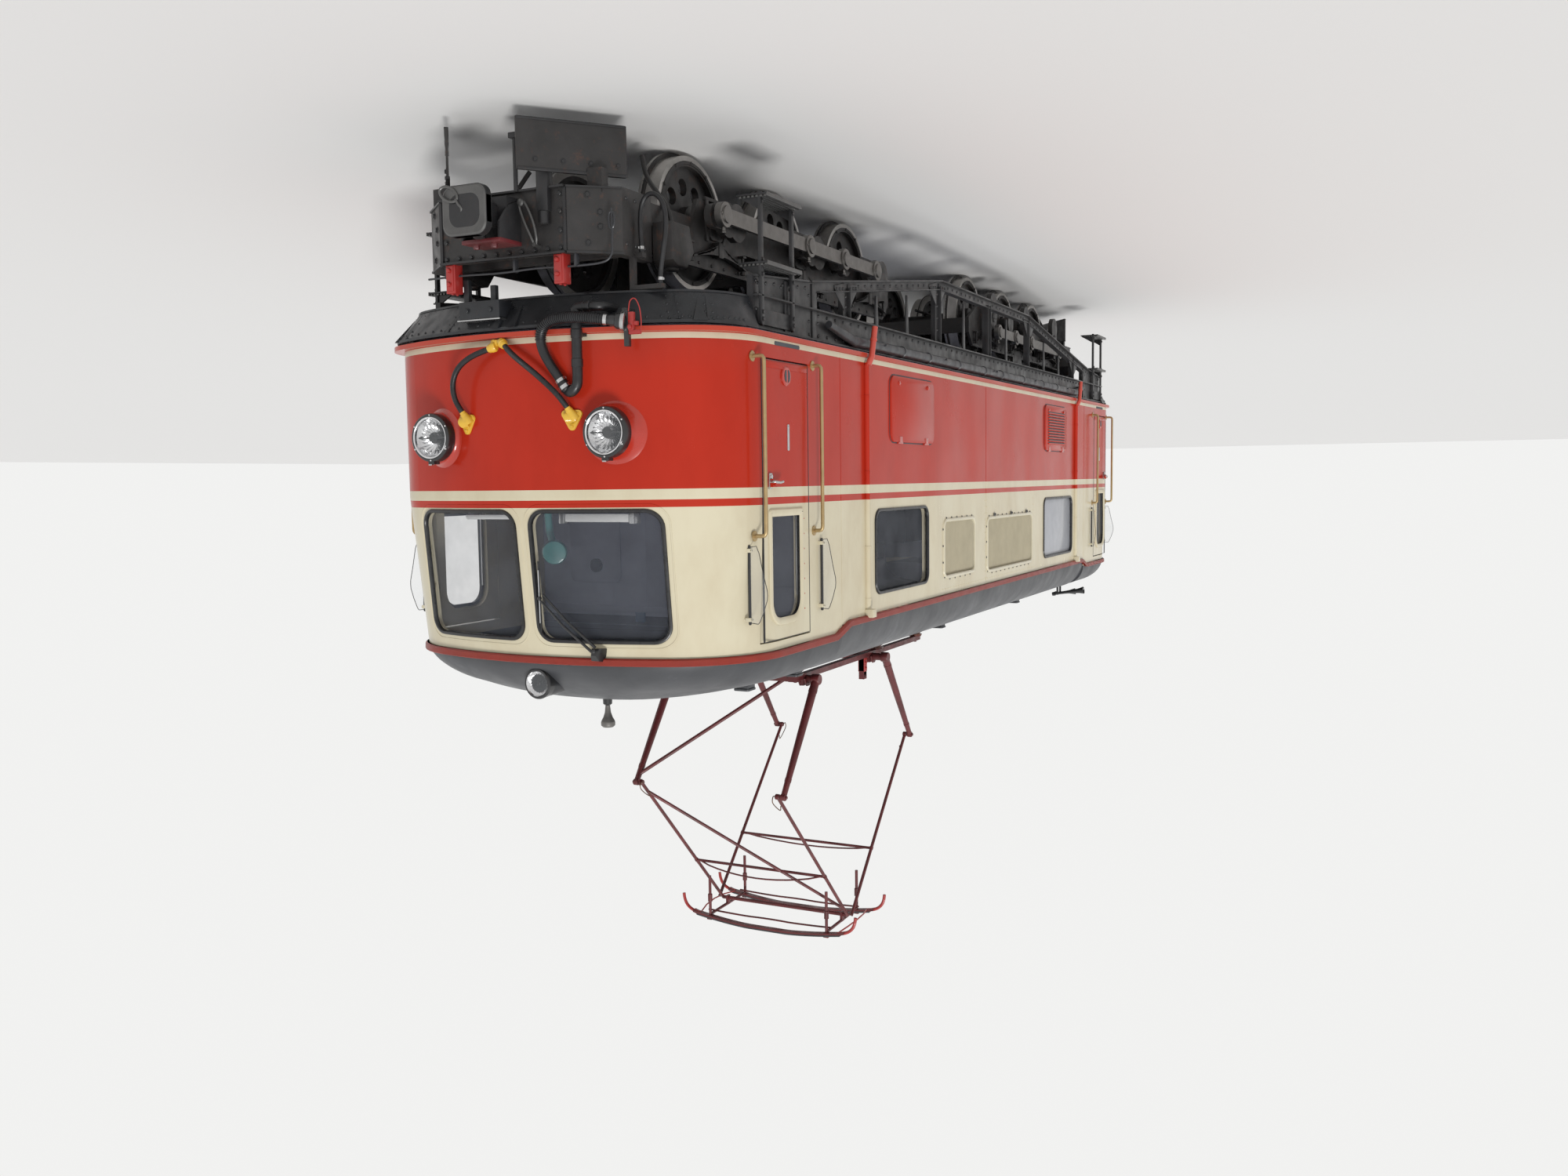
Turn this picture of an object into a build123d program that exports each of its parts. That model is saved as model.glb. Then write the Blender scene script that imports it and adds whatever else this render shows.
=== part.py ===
# Narrow-gauge electric locomotive with two three-axle rod-driven bogies.
# Millimetres. +X is the end with the raised pantograph, +Z is up and Z = 0 is the lowest point of the
# wheel flanges, midway between both ends and both sides.
from math import atan2, cos, degrees, pi, radians, sin, sqrt, tan
import os

from build123d import *

os.makedirs("parts", exist_ok=True)

# Track and wheels
RAIL_TOP = 28
WHEEL_R = 400
WHEEL_BACK = 345
TYRE_WIDTH = 120
FLANGE_WIDTH = 32
WHEEL_DISC = 45
AXLE_R = 60
AXLE_BASE = 1200
CRANK_THROW = 150

# Body plan: straight sides, round corners and a large arc across each end
HALF_WIDTH = 1200
HALF_LENGTH = 5120
END_R = 2300
CORNER_R = 530
CORNER_TOP_R = 640
WALL = 50
CORNER_X = round(HALF_LENGTH - END_R + sqrt((END_R - CORNER_R) ** 2 - (HALF_WIDTH - CORNER_R) ** 2))
CAB_JOINT_X = HALF_LENGTH - 1737
PIVOT_X = HALF_LENGTH - 2370

# Heights above the rails
SKIRT_Z = RAIL_TOP + 1140
TILT_Z = RAIL_TOP + 2050
LOW_GUTTER_Z = RAIL_TOP + 2900
CAB_GUTTER_Z = RAIL_TOP + 2965
END_LEAN = 95
FLOOR_T = 40

# Roofs
ROOF_EDGE_R = 300
ROOF_CROWN_R = 3900
CAB_EDGE_R = 205
CAB_CROWN_R = 3920
CAB_NOSE = 890
CAB_NOSE_POWER = 1.83
CAB_CORNER_GROWTH = 280
CROWN_REACH = sqrt((ROOF_CROWN_R - ROOF_EDGE_R) ** 2 - (HALF_WIDTH - ROOF_EDGE_R) ** 2)
ROOF_CREST_Z = round(LOW_GUTTER_Z - CROWN_REACH + ROOF_CROWN_R)

# Gutter and skirt lip
GUTTER_H = 42
GUTTER_T = 26
GUTTER_BEND_X = CAB_JOINT_X - 103
GUTTER_END_X = round(
    HALF_LENGTH - END_LEAN - END_R + sqrt((END_R - CORNER_TOP_R) ** 2 - (HALF_WIDTH - CORNER_TOP_R) ** 2))
GUTTER_RISE_RUN = 220
SIDE_LIP_T = 16
END_LIP_T = 50
END_LIP_R = 430
LIP_H = 26
PIPE_R = 22
PIPE_X = CAB_JOINT_X - 421

# Cab doors
DOOR_W = 619
DOOR_X1 = CORNER_X + 32
DOOR_X0 = DOOR_X1 - DOOR_W
DOOR_Z0 = RAIL_TOP + 1280
DOOR_Z1 = RAIL_TOP + 2895
DOOR_GAP = 8
DOOR_WIN = (DOOR_X1 - 293, 420, RAIL_TOP + 2468, 640, 130)
HINGE_R = 7
HINGE_H = 120
HINGE_Z = (RAIL_TOP + 1420, RAIL_TOP + 2020, RAIL_TOP + 2620)

# Windscreens
SCREEN_Y = 440
SCREEN_Z0 = RAIL_TOP + 2125
SCREEN_Z1 = RAIL_TOP + 2850
SCREEN_HALF_W = 385
SCREEN_R = 90
GLASS_T = 12

# Side openings: centre x, width, centre z, height, corner radius
SIDE_WINDOW = (round(0.6725 * CAB_JOINT_X), 1080, RAIL_TOP + 2465, 590, 90)
GREY_WINDOW = (round(-0.6607 * CAB_JOINT_X), 1180, RAIL_TOP + 2480, 600, 90)
SMALL_GRILLE = (round(0.2909 * CAB_JOINT_X), 783, RAIL_TOP + 2522, 440, 60)
LARGE_GRILLE = (round(-0.1442 * CAB_JOINT_X), 1451, RAIL_TOP + 2547, 453, 60)
HATCH = (round(0.6125 * CAB_JOINT_X), 897, RAIL_TOP + 1482, 462, 70)
LOUVRE_HATCH = (round(-0.6202 * CAB_JOINT_X), 864, RAIL_TOP + 1488, 450, 70)

# Truss side frames and the end aprons
TRUSS_Y = HALF_WIDTH - 70
TRUSS_T = 36
TRUSS_TOP = RAIL_TOP + 1120
CHORD_TOP_Z = RAIL_TOP + 925
CHORD_LOW_Z = RAIL_TOP + 440
CHORD_END_Z = RAIL_TOP + 760
CHORD_H = 75
POST_X = 1320
POST_W = 80
TRUSS_FLAT_X = POST_X - 60
END_POST_X = PIVOT_X + 370
TRUSS_END_X = PIVOT_X + 960
PLATE_END_X = CORNER_X - 18
BEAM_W = 90
BEAM_Z = RAIL_TOP + 980
END_BEAM_X = PLATE_END_X - 240
APRON_Z = RAIL_TOP + 935
APRON_IN = 100
APRON_TOP_IN = 30
APRON_TOP_OUT = 45
APRON_TOP_R = 400
APRON_T = 16
APRON_LID_T = 12
DUCT_R = 36
DUCT_Z = RAIL_TOP + 1070

# Bogies, sizes from each bogie's own pivot
FRAME_Y = 610
FRAME_T = 26
FRAME_TOP = RAIL_TOP + 700
FRAME_LOW = RAIL_TOP + 300
HEADSTOCK_X = HALF_LENGTH + 80
HEADSTOCK_Z0 = RAIL_TOP + 400
HEADSTOCK_Z1 = RAIL_TOP + 755
BUFFER_X = HEADSTOCK_X + 310
BUFFER_Z = RAIL_TOP + 546
PIN_X = BUFFER_X - 120
COUPLER_PIN_R = 22
PIVOT_PIN_R = 60
CARRIER_Z0 = RAIL_TOP + 842
CARRIER_Z1 = RAIL_TOP + 900
HOSE_BRACKET_Z = RAIL_TOP + 905
GUARD_Z = RAIL_TOP + 195
GUARD_H = 270
CRANK_Y = 700
CRANK_T = 46
ROD_Y = 768
ROD_T = 40
PIN_R = 38
PIN_CLEAR = 1
MOTOR_R = 200
MOTOR_RISE = 375

# Pantograph
PANTO_X = CAB_JOINT_X - 1539
PANTO_Y = 600
PANTO_FAR_Y = 635
PANTO_BASE_Z = ROOF_CREST_Z + 106
PANTO_PIVOT_DX = 640
KNEE_DX = 1208
KNEE_Z = PANTO_BASE_Z + 745
APEX_Z = PANTO_BASE_Z + 1969
ARM_R0 = 32
ARM_R1 = 21
UPPER_R = 13
BASE_Y = 500
BASE_END_DX = (-1790, 850)
BASE_POST_DX = (-1720, -780, 780)
PAN_DX = 300
PAN_HALF = 760
PAN_TOP_Z = APEX_Z + 111

# Headlights
LAMP_Y = 594
LAMP_Z = RAIL_TOP + 1700
LAMP_R = 140
LAMP_FACE_X = HALF_LENGTH + 35
TOP_LAMP_X = (HALF_LENGTH - 340, HALF_LENGTH - 110)
TOP_LAMP_Z = CAB_GUTTER_Z + 145
TOP_LAMP_R = 76

# Handrails, wind deflectors and steps round the cab doors
RAIL_X = (DOOR_X0 - 66, DOOR_X1 + 80)
RAIL_Z = (RAIL_TOP + 1270, RAIL_TOP + 2260)
RAIL_OUT = 60
RAIL_FOOT_IN = (10, 45)
DEFLECTOR_X = (DOOR_X0 - 146, DOOR_X1 + 110)
DEFLECTOR_IN = (-15, 33)
DEFLECTOR_TIP_DX = (-70, 2)
DEFLECTOR_Z = (RAIL_TOP + 2325, RAIL_TOP + 2772)
DEFLECTOR_OUT = 79
DEFLECTOR_T = 6
STEP_X = DOOR_X1 - 305
STEP_HALF_W = 225
STRINGER_DX = 200
TREAD_Z = (RAIL_TOP + 370, RAIL_TOP + 745)


def block(x0, x1, y0, y1, z0, z1):
    """A box from its lowest to its highest corner."""
    return Pos((x0 + x1) / 2, (y0 + y1) / 2, (z0 + z1) / 2) * Box(x1 - x0, y1 - y0, z1 - z0)


def bar(p, q, r, r_end=None):
    """A round bar, or a tapered one, between two points."""
    p, q = Vector(*p), Vector(*q)
    place = Plane(origin=p, z_dir=q - p)
    size = (q - p).length
    base = (Align.CENTER, Align.CENTER, Align.MIN)
    if r_end is None:
        return place * Cylinder(r, size, align=base)
    return place * Cone(r, r_end, size, align=base)


def plate_xz(points, y0, y1):
    """A flat plate with an outline in X and Z, from y0 to y1."""
    outline = Polyline([(x, y0, z) for x, z in points], close=True)
    return extrude(make_face(outline), amount=y1 - y0, dir=(0, 1, 0))


def plate_xy(points, z0, z1):
    """A flat plate with an outline in X and Y, from z0 to z1."""
    outline = Polyline([(x, y, z0) for x, y in points], close=True)
    return extrude(make_face(outline), amount=z1 - z0, dir=(0, 0, 1))


def side_panel(opening, y0, y1, grow=0):
    """A rounded panel in the side wall, from y0 to y1."""
    x, width, z, height, radius = opening
    place = Plane(origin=(x, y0, z), x_dir=(1, 0, 0), z_dir=(0, 1, 0))
    face = place * RectangleRounded(width + 2 * grow, height + 2 * grow, radius + grow)
    return extrude(face, amount=y1 - y0, dir=(0, 1, 0))


def both_sides(shape):
    """The shape and its mirror image across the length."""
    return [shape, mirror(shape, about=Plane.XZ)]


def both_ends(shapes):
    """The shapes and the same turned half round."""
    return list(shapes) + [Rot(0, 0, 180) * s for s in shapes]


def save(node, shapes):
    """Writes one node, from a shape or from several that don't touch."""
    if isinstance(shapes, (list, tuple)):
        solids = []
        for s in shapes:
            solids += list(s.solids())
        shapes = Compound(solids)
    export_step(shapes, f"parts/{node}.step")


def fuse(shapes):
    """One shape from several that meet."""
    return Part() + list(shapes)


def end_outline(z, back_x, grow=0.0, lean=0.0, half_w=HALF_WIDTH, half_l=HALF_LENGTH, corner=CORNER_R):
    """Closed plan outline of one end: sides, round corners and the wide end arc, from back_x outwards."""
    cx = half_l - END_R - lean
    ky = half_w - corner
    span = END_R - corner
    kx = cx + sqrt(span ** 2 - ky ** 2)
    join = atan2(ky, kx - cx)
    mid = (join + pi / 2) / 2
    small = corner + grow
    big = END_R + grow
    w = half_w + grow
    tip = (cx + big * cos(join), big * sin(join))
    bend = (kx + small * cos(mid), ky + small * sin(mid))
    side_low = Line((back_x, -w, z), (kx, -w, z))
    corner_low = ThreePointArc((kx, -w, z), (bend[0], -bend[1], z), (tip[0], -tip[1], z))
    end = ThreePointArc((tip[0], -tip[1], z), (cx + big, 0, z), (tip[0], tip[1], z))
    corner_high = ThreePointArc((tip[0], tip[1], z), (bend[0], bend[1], z), (kx, w, z))
    side_high = Line((kx, w, z), (back_x, w, z))
    close = Line((back_x, w, z), (back_x, -w, z))
    return make_face(Wire([side_low, corner_low, end, corner_high, side_high, close]))


def end_prism(z0, z1, back_x, grow=0.0, lean=0.0, corner=CORNER_R):
    """A body end of constant plan between two heights."""
    return extrude(end_outline(z0, back_x, grow, lean, corner=corner), amount=z1 - z0, dir=(0, 0, 1))


def leaning_end(top_z, back_x, grow):
    """The upper part of a body end, which leans back and grows rounder up to the gutter."""
    low = end_outline(TILT_Z, back_x, grow)
    return loft([low, end_outline(top_z, back_x, grow, END_LEAN, corner=CORNER_TOP_R)], ruled=True)


def apron_form(z0, z1, back_x, inset):
    """The end apron's form: set back at its bottom and flared out under the lip at its top."""
    half_w, half_l = HALF_WIDTH - APRON_TOP_IN, HALF_LENGTH + APRON_TOP_OUT
    top = end_outline(z1, back_x, -inset, half_w=half_w, half_l=half_l, corner=APRON_TOP_R)
    return loft([end_outline(z0, back_x, -APRON_IN - inset), top], ruled=True)


def roof_half_width(z, base_z, edge_r, crown_r, half_w):
    """Half width of the roof section at a height: a small edge arc below, the crown arc above."""
    crown_z = base_z - sqrt((crown_r - edge_r) ** 2 - (half_w - edge_r) ** 2)
    meet = atan2(half_w - edge_r, base_z - crown_z)
    if z <= base_z + edge_r * cos(meet):
        return half_w - edge_r + sqrt(max(edge_r ** 2 - (z - base_z) ** 2, 0))
    return sqrt(max(crown_r ** 2 - (z - crown_z) ** 2, 0))


def roof_crest(base_z, edge_r, crown_r, half_w):
    """Height of the roof's ridge."""
    return base_z - sqrt((crown_r - edge_r) ** 2 - (half_w - edge_r) ** 2) + crown_r


def roof_section(x, base_z, edge_r, crown_r, half_w):
    """The roof's cross section as a face: edge arcs and crown arc on a flat base."""
    crown_z = base_z - sqrt((crown_r - edge_r) ** 2 - (half_w - edge_r) ** 2)
    meet = atan2(half_w - edge_r, base_z - crown_z)
    ty, tz = crown_r * sin(meet), crown_z + crown_r * cos(meet)
    half = meet + (pi / 2 - meet) / 2
    my, mz = half_w - edge_r + edge_r * sin(half), base_z + edge_r * cos(half)
    edges = [
        ThreePointArc((x, -half_w, base_z), (x, -my, mz), (x, -ty, tz)),
        ThreePointArc((x, -ty, tz), (x, 0, crown_z + crown_r), (x, ty, tz)),
        ThreePointArc((x, ty, tz), (x, my, mz), (x, half_w, base_z)),
        Line((x, half_w, base_z), (x, -half_w, base_z)),
    ]
    return make_face(Wire(edges))


def cab_roof_solid(shrink):
    """The cab roof's outer or inner form: plan outlines that draw in as they rise to the ridge."""
    base = CAB_GUTTER_Z
    edge_r = CAB_EDGE_R - shrink
    half_w = HALF_WIDTH - shrink
    crown_r = CAB_CROWN_R - shrink
    crest = roof_crest(base, edge_r, crown_r, half_w)
    rise = crest - base
    back_x = CAB_JOINT_X - (60 if shrink else 0)
    sections = []
    for part in (0.0, 0.22, 0.45, 0.62, 0.78, 0.9, 0.975):
        z = base + part * rise
        w = roof_half_width(z, base, edge_r, crown_r, half_w)
        reach = HALF_LENGTH - END_LEAN - shrink - CAB_NOSE * (1 - sqrt(1 - part ** CAB_NOSE_POWER))
        corner = min(CORNER_TOP_R + CAB_CORNER_GROWTH * part, 0.8 * w)
        sections.append(end_outline(z, back_x, half_w=w, half_l=reach, corner=corner))
    return loft(sections, ruled=True)


# Cab shells: lower walls upright, upper end walls leaning back to the gutter
cab_block = end_prism(SKIRT_Z, TILT_Z, CAB_JOINT_X)
cab_block += leaning_end(CAB_GUTTER_Z, CAB_JOINT_X, 0)
hollow = end_prism(SKIRT_Z - 10, TILT_Z, CAB_JOINT_X - 10, -WALL)
hollow += leaning_end(CAB_GUTTER_Z + 1, CAB_JOINT_X - 10, -WALL)
shell = cab_block - hollow
lip_face = end_outline(
    SKIRT_Z, CAB_JOINT_X, half_w=HALF_WIDTH + SIDE_LIP_T, half_l=HALF_LENGTH + END_LIP_T, corner=END_LIP_R)
lip_block = extrude(lip_face, amount=LIP_H, dir=(0, 0, 1))
shell += lip_block - end_prism(SKIRT_Z - 1, SKIRT_Z + LIP_H + 1, 0, -10)
screen_h = SCREEN_Z1 - SCREEN_Z0
screen_z = (SCREEN_Z0 + SCREEN_Z1) / 2
cab_roof_block = cab_roof_solid(0)
door_hole = block(DOOR_X0, DOOR_X1, -HALF_WIDTH - 100, -HALF_WIDTH + 100, DOOR_Z0, DOOR_Z1)
for sign in (-1, 1):
    place = Plane(origin=(HALF_LENGTH - 400, sign * SCREEN_Y, screen_z), x_dir=(0, 1, 0), z_dir=(1, 0, 0))
    shell -= extrude(place * RectangleRounded(2 * SCREEN_HALF_W, screen_h, SCREEN_R), amount=500)
for hole in both_sides(door_hole):
    shell -= hole
save("cab_shell_front", shell)
save("cab_shell_rear", Rot(0, 0, 180) * shell)

# Windscreens follow the leaning end wall, set back into it
pane = leaning_end(CAB_GUTTER_Z, CAB_JOINT_X, -20) - leaning_end(CAB_GUTTER_Z, CAB_JOINT_X - 10, -20 - GLASS_T)
screens = []
for sign in (-1, 1):
    place = Plane(origin=(HALF_LENGTH - 400, sign * SCREEN_Y, screen_z), x_dir=(0, 1, 0), z_dir=(1, 0, 0))
    screens.append(pane & extrude(place * RectangleRounded(2 * SCREEN_HALF_W, screen_h, SCREEN_R), amount=500))
save("windscreens", both_ends(screens))

# Machine room sides, with windows, filter openings and hatches. The far side is the near one turned round
side = block(-CAB_JOINT_X, CAB_JOINT_X, -HALF_WIDTH, -HALF_WIDTH + WALL, SKIRT_Z, LOW_GUTTER_Z)
side += block(-CAB_JOINT_X, CAB_JOINT_X, -HALF_WIDTH - SIDE_LIP_T, -HALF_WIDTH + 10, SKIRT_Z, SKIRT_Z + LIP_H)
for opening in (SIDE_WINDOW, GREY_WINDOW, SMALL_GRILLE, LARGE_GRILLE):
    side -= side_panel(opening, -HALF_WIDTH - 10, -HALF_WIDTH + WALL + 10)
save("machine_side_left", side)
save("machine_side_right", Rot(0, 0, 180) * side)
glass = [side_panel(o, -HALF_WIDTH + 18, -HALF_WIDTH + 18 + GLASS_T) for o in (SIDE_WINDOW, GREY_WINDOW)]
save("side_windows", both_ends(glass))
mats = [side_panel(o, -HALF_WIDTH + 12, -HALF_WIDTH + 40) for o in (SMALL_GRILLE, LARGE_GRILLE)]
save("filter_grilles", both_ends(mats))
lids = [side_panel(o, -HALF_WIDTH - 14, -HALF_WIDTH) for o in (HATCH, LOUVRE_HATCH)]
save("side_hatches", both_ends(lids))

# Roofs
roof_face = roof_section(-CAB_JOINT_X, LOW_GUTTER_Z, ROOF_EDGE_R, ROOF_CROWN_R, HALF_WIDTH)
ceiling_face = roof_section(
    -CAB_JOINT_X - 10, LOW_GUTTER_Z, ROOF_EDGE_R - WALL, ROOF_CROWN_R - WALL, HALF_WIDTH - WALL)
outer = extrude(roof_face, amount=2 * CAB_JOINT_X, dir=(1, 0, 0))
inner = extrude(ceiling_face, amount=2 * CAB_JOINT_X + 20, dir=(1, 0, 0))
save("roof_machine_room", outer - inner)
cab_roof = cab_roof_solid(0) - cab_roof_solid(WALL)
save("roof_cab_front", cab_roof)
save("roof_cab_rear", Rot(0, 0, 180) * cab_roof)

# Gutter all round, stepping up to the cabs, with its downpipes
gutter_low = LOW_GUTTER_Z - GUTTER_H / 2
gutter_high = CAB_GUTTER_Z - GUTTER_H / 2
rise_x = GUTTER_BEND_X + GUTTER_RISE_RUN
run = [(-GUTTER_END_X - 5, gutter_high), (-rise_x, gutter_high), (-GUTTER_BEND_X, gutter_low)]
low_edge = run + [(-x, z) for x, z in reversed(run)]
high_edge = [(x, z + GUTTER_H) for x, z in reversed(low_edge)]
band = plate_xz(low_edge + high_edge, -HALF_WIDTH - GUTTER_T, -HALF_WIDTH)
end_ring = end_prism(gutter_high, gutter_high + GUTTER_H, GUTTER_END_X - 20, GUTTER_T, END_LEAN, CORNER_TOP_R)
end_ring -= end_prism(gutter_high - 1, gutter_high + GUTTER_H + 1, GUTTER_END_X - 40, 0, END_LEAN, CORNER_TOP_R)
end_ring -= cab_block
pipes = []
for x in (-PIPE_X, PIPE_X):
    y, spout_y = -HALF_WIDTH - PIPE_R, -HALF_WIDTH - SIDE_LIP_T - PIPE_R - 4
    pipes.append(bar((x, y, LOW_GUTTER_Z - 10), (x, y, SKIRT_Z + 70), PIPE_R))
    pipes.append(bar((x, y, SKIRT_Z + 75), (x - 8, spout_y, SKIRT_Z + 30), PIPE_R))
    pipes.append(bar((x - 7, spout_y, SKIRT_Z + 36), (x - 70, spout_y, SKIRT_Z - 175), PIPE_R))
    pipes.append(block(x - 35, x + 35, -HALF_WIDTH - 60, -HALF_WIDTH, LOW_GUTTER_Z - 60, LOW_GUTTER_Z + 10))
gutter = fuse(both_sides(fuse([band] + pipes)) + both_ends([end_ring]))
save("gutters", gutter)

# Cab doors, hinged at their inner edge and opening inwards
win_x, win_w, win_z, win_h, win_r = DOOR_WIN
wall_y, inner_y = -HALF_WIDTH, -HALF_WIDTH + WALL
hinge_x, handle_x = DOOR_X0 + DOOR_GAP, DOOR_X1 - 70 - DOOR_GAP
leaf = block(hinge_x, DOOR_X1 - DOOR_GAP, wall_y, inner_y, DOOR_Z0 + DOOR_GAP, DOOR_Z1 - DOOR_GAP)
leaf -= side_panel(DOOR_WIN, wall_y - 10, inner_y + 10)
leaf -= block(win_x - win_w / 2, win_x + win_w / 2, wall_y - 10, inner_y + 10, win_z - win_h / 2, win_z)
leaf &= cab_block
leaf += block(handle_x - 102, handle_x, wall_y - 45, wall_y - 25, RAIL_TOP + 1975, RAIL_TOP + 1997)
leaf += block(handle_x - 25, handle_x, wall_y - 30, wall_y + 5, RAIL_TOP + 1960, RAIL_TOP + 2010)
for z in HINGE_Z:
    leaf += bar((hinge_x, inner_y, z), (hinge_x, inner_y, z + HINGE_H), HINGE_R)
doors = both_sides(leaf)
save("door_front_left", doors[0])
save("door_front_right", doors[1])
save("door_rear_right", Rot(0, 0, 180) * doors[0])
save("door_rear_left", Rot(0, 0, 180) * doors[1])

# Truss side frames with their deep end plates
slope = (CHORD_END_Z - CHORD_LOW_Z) / (TRUSS_END_X - TRUSS_FLAT_X)
lower = [(-PLATE_END_X, CHORD_END_Z + 60), (-TRUSS_END_X, CHORD_END_Z), (-TRUSS_FLAT_X, CHORD_LOW_Z)]
outline = lower + [(-x, z) for x, z in reversed(lower)] + [(PLATE_END_X, TRUSS_TOP), (-PLATE_END_X, TRUSS_TOP)]
truss = plate_xz(outline, -TRUSS_Y, -TRUSS_Y + TRUSS_T)


def chord_z(x):
    """Upper edge of the bottom chord."""
    return CHORD_LOW_Z + CHORD_H + max(0, abs(x) - TRUSS_FLAT_X) * slope


def bay(x0, x1):
    """One opening of the truss between two posts."""
    bends = [x for x in (-TRUSS_FLAT_X, TRUSS_FLAT_X) if x0 < x < x1]
    floor_pts = [(x, chord_z(x)) for x in [x0] + bends + [x1]]
    return plate_xz(floor_pts + [(x1, CHORD_TOP_Z), (x0, CHORD_TOP_Z)], -TRUSS_Y - 10, -TRUSS_Y + TRUSS_T + 10)


post = POST_W / 2
bays = ((post, POST_X - post), (POST_X + post, END_POST_X - post), (END_POST_X + post, TRUSS_END_X - 140))
for x0, x1 in bays:
    truss -= bay(x0, x1)
    truss -= bay(-x1, -x0)
save("truss_sides", both_sides(truss))

# Underframe: cross beams between the trusses, pivot bolsters and the beams out to each end
beam_y = TRUSS_Y - TRUSS_T
beams = [block(-BEAM_W / 2, BEAM_W / 2, -beam_y, beam_y, BEAM_Z, TRUSS_TOP)]
for x in (POST_X, END_POST_X):
    beams += both_ends([block(x - BEAM_W / 2, x + BEAM_W / 2, -beam_y, beam_y, BEAM_Z, TRUSS_TOP)])
bolster = block(PIVOT_X - 220, PIVOT_X + 220, -beam_y, beam_y, RAIL_TOP + 930, TRUSS_TOP)
bolster += bar((PIVOT_X, 0, CARRIER_Z0 - 30), (PIVOT_X, 0, RAIL_TOP + 940), PIVOT_PIN_R)
end_beam = block(END_BEAM_X - BEAM_W / 2, END_BEAM_X + BEAM_W / 2, -beam_y, beam_y, BEAM_Z, TRUSS_TOP)
for y in (-350, 350):
    end_beam += block(END_BEAM_X, HALF_LENGTH - 220, y - 40, y + 40, BEAM_Z, TRUSS_TOP - APRON_LID_T)
save("underframe", beams + both_ends([bolster, end_beam]))

# End aprons, hung from a lid under the floor
apron_block = apron_form(APRON_Z, TRUSS_TOP, PLATE_END_X, 0)
apron = apron_block - apron_form(APRON_Z - 1, TRUSS_TOP - APRON_LID_T, PLATE_END_X - 20, APRON_T)
save("end_aprons", both_ends([apron]))

# Floor of cabs and machine room
inset = WALL + 3
floor = end_prism(TRUSS_TOP, TRUSS_TOP + FLOOR_T, 0, -inset)
save("floor", fuse(both_ends([floor])))

# Air duct pipes under the body edge
duct_y = TRUSS_Y + DUCT_R + 2
duct_end = END_POST_X - 40
ducts = []
for sign in (-1, 1):
    duct = bar((-duct_end, sign * duct_y, DUCT_Z), (duct_end, sign * duct_y, DUCT_Z), DUCT_R)
    for s in (-1, 1):
        tail = (s * (duct_end + 380), sign * (TRUSS_Y + 30), DUCT_Z - 70)
        duct += Pos(s * duct_end, sign * duct_y, DUCT_Z) * Sphere(DUCT_R)
        duct += bar((s * duct_end, sign * duct_y, DUCT_Z), tail, DUCT_R - 2, 24)
        for x in (s * 40, s * POST_X, s * (PIVOT_X - 150)):
            duct += block(x - 15, x + 15, *sorted((sign * TRUSS_Y, sign * duct_y)), DUCT_Z - 20, DUCT_Z + 20)
    ducts.append(duct)
save("air_ducts", ducts)

# Bulkheads between the cabs and the machine room
bulkheads = []
for s in (-1, 1):
    x, y = s * (CAB_JOINT_X - 43), HALF_WIDTH - inset
    bulkheads.append(block(x - 15, x + 15, -y, y, TRUSS_TOP + FLOOR_T, LOW_GUTTER_Z))
save("cab_bulkheads", bulkheads)

# Control desks with their instrument tops, and the driver's seats
desks = []
floor_z = TRUSS_TOP + FLOOR_T
desk_x, desk_y = (HALF_LENGTH - 600, HALF_LENGTH - 220), HALF_WIDTH - 440
seat_x, seat_y = (HALF_LENGTH - 1040, HALF_LENGTH - 700), (-550, -190)
for s in (0, 180):
    desk = block(*desk_x, -desk_y, desk_y, floor_z, RAIL_TOP + 1960)
    desk += block(desk_x[0] + 80, desk_x[1] - 40, -desk_y + 60, -100, RAIL_TOP + 1960, RAIL_TOP + 2040)
    seat = block(*seat_x, *seat_y, RAIL_TOP + 1600, RAIL_TOP + 1680)
    back_x, back_z = (seat_x[0] - 20, seat_x[0] + 30), (RAIL_TOP + 1670, RAIL_TOP + 2080)
    seat += block(*back_x, seat_y[0] + 10, seat_y[1] - 10, *back_z)
    middle_x, middle_y = sum(seat_x) / 2, sum(seat_y) / 2
    seat += bar((middle_x, middle_y, floor_z), (middle_x, middle_y, RAIL_TOP + 1600), 35)
    desks += [Rot(0, 0, s) * desk, Rot(0, 0, s) * seat]
save("cab_desks_and_seats", desks)

# Main transformer and its tank
tank_y = HALF_WIDTH - 500
save("transformer", block(-900, 900, -tank_y, tank_y, floor_z, LOW_GUTTER_Z - 400))

# Headlights: two low ones and one at the roof on each end
lamps = []
for sign in (-1, 1):
    back = (LAMP_FACE_X - 190, sign * LAMP_Y, LAMP_Z)
    lamp = bar(back, (LAMP_FACE_X - 60, sign * LAMP_Y, LAMP_Z), LAMP_R - 22)
    lamp += bar((LAMP_FACE_X - 62, sign * LAMP_Y, LAMP_Z), (LAMP_FACE_X, sign * LAMP_Y, LAMP_Z), LAMP_R)
    lamps.append(lamp - cab_block)
lamps.append(bar((TOP_LAMP_X[0], 0, TOP_LAMP_Z), (TOP_LAMP_X[1], 0, TOP_LAMP_Z), TOP_LAMP_R) - cab_roof_block)
lamps = [max(lamp.solids(), key=lambda s: s.center().X) for lamp in lamps]
save("headlights", both_ends(lamps))

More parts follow.
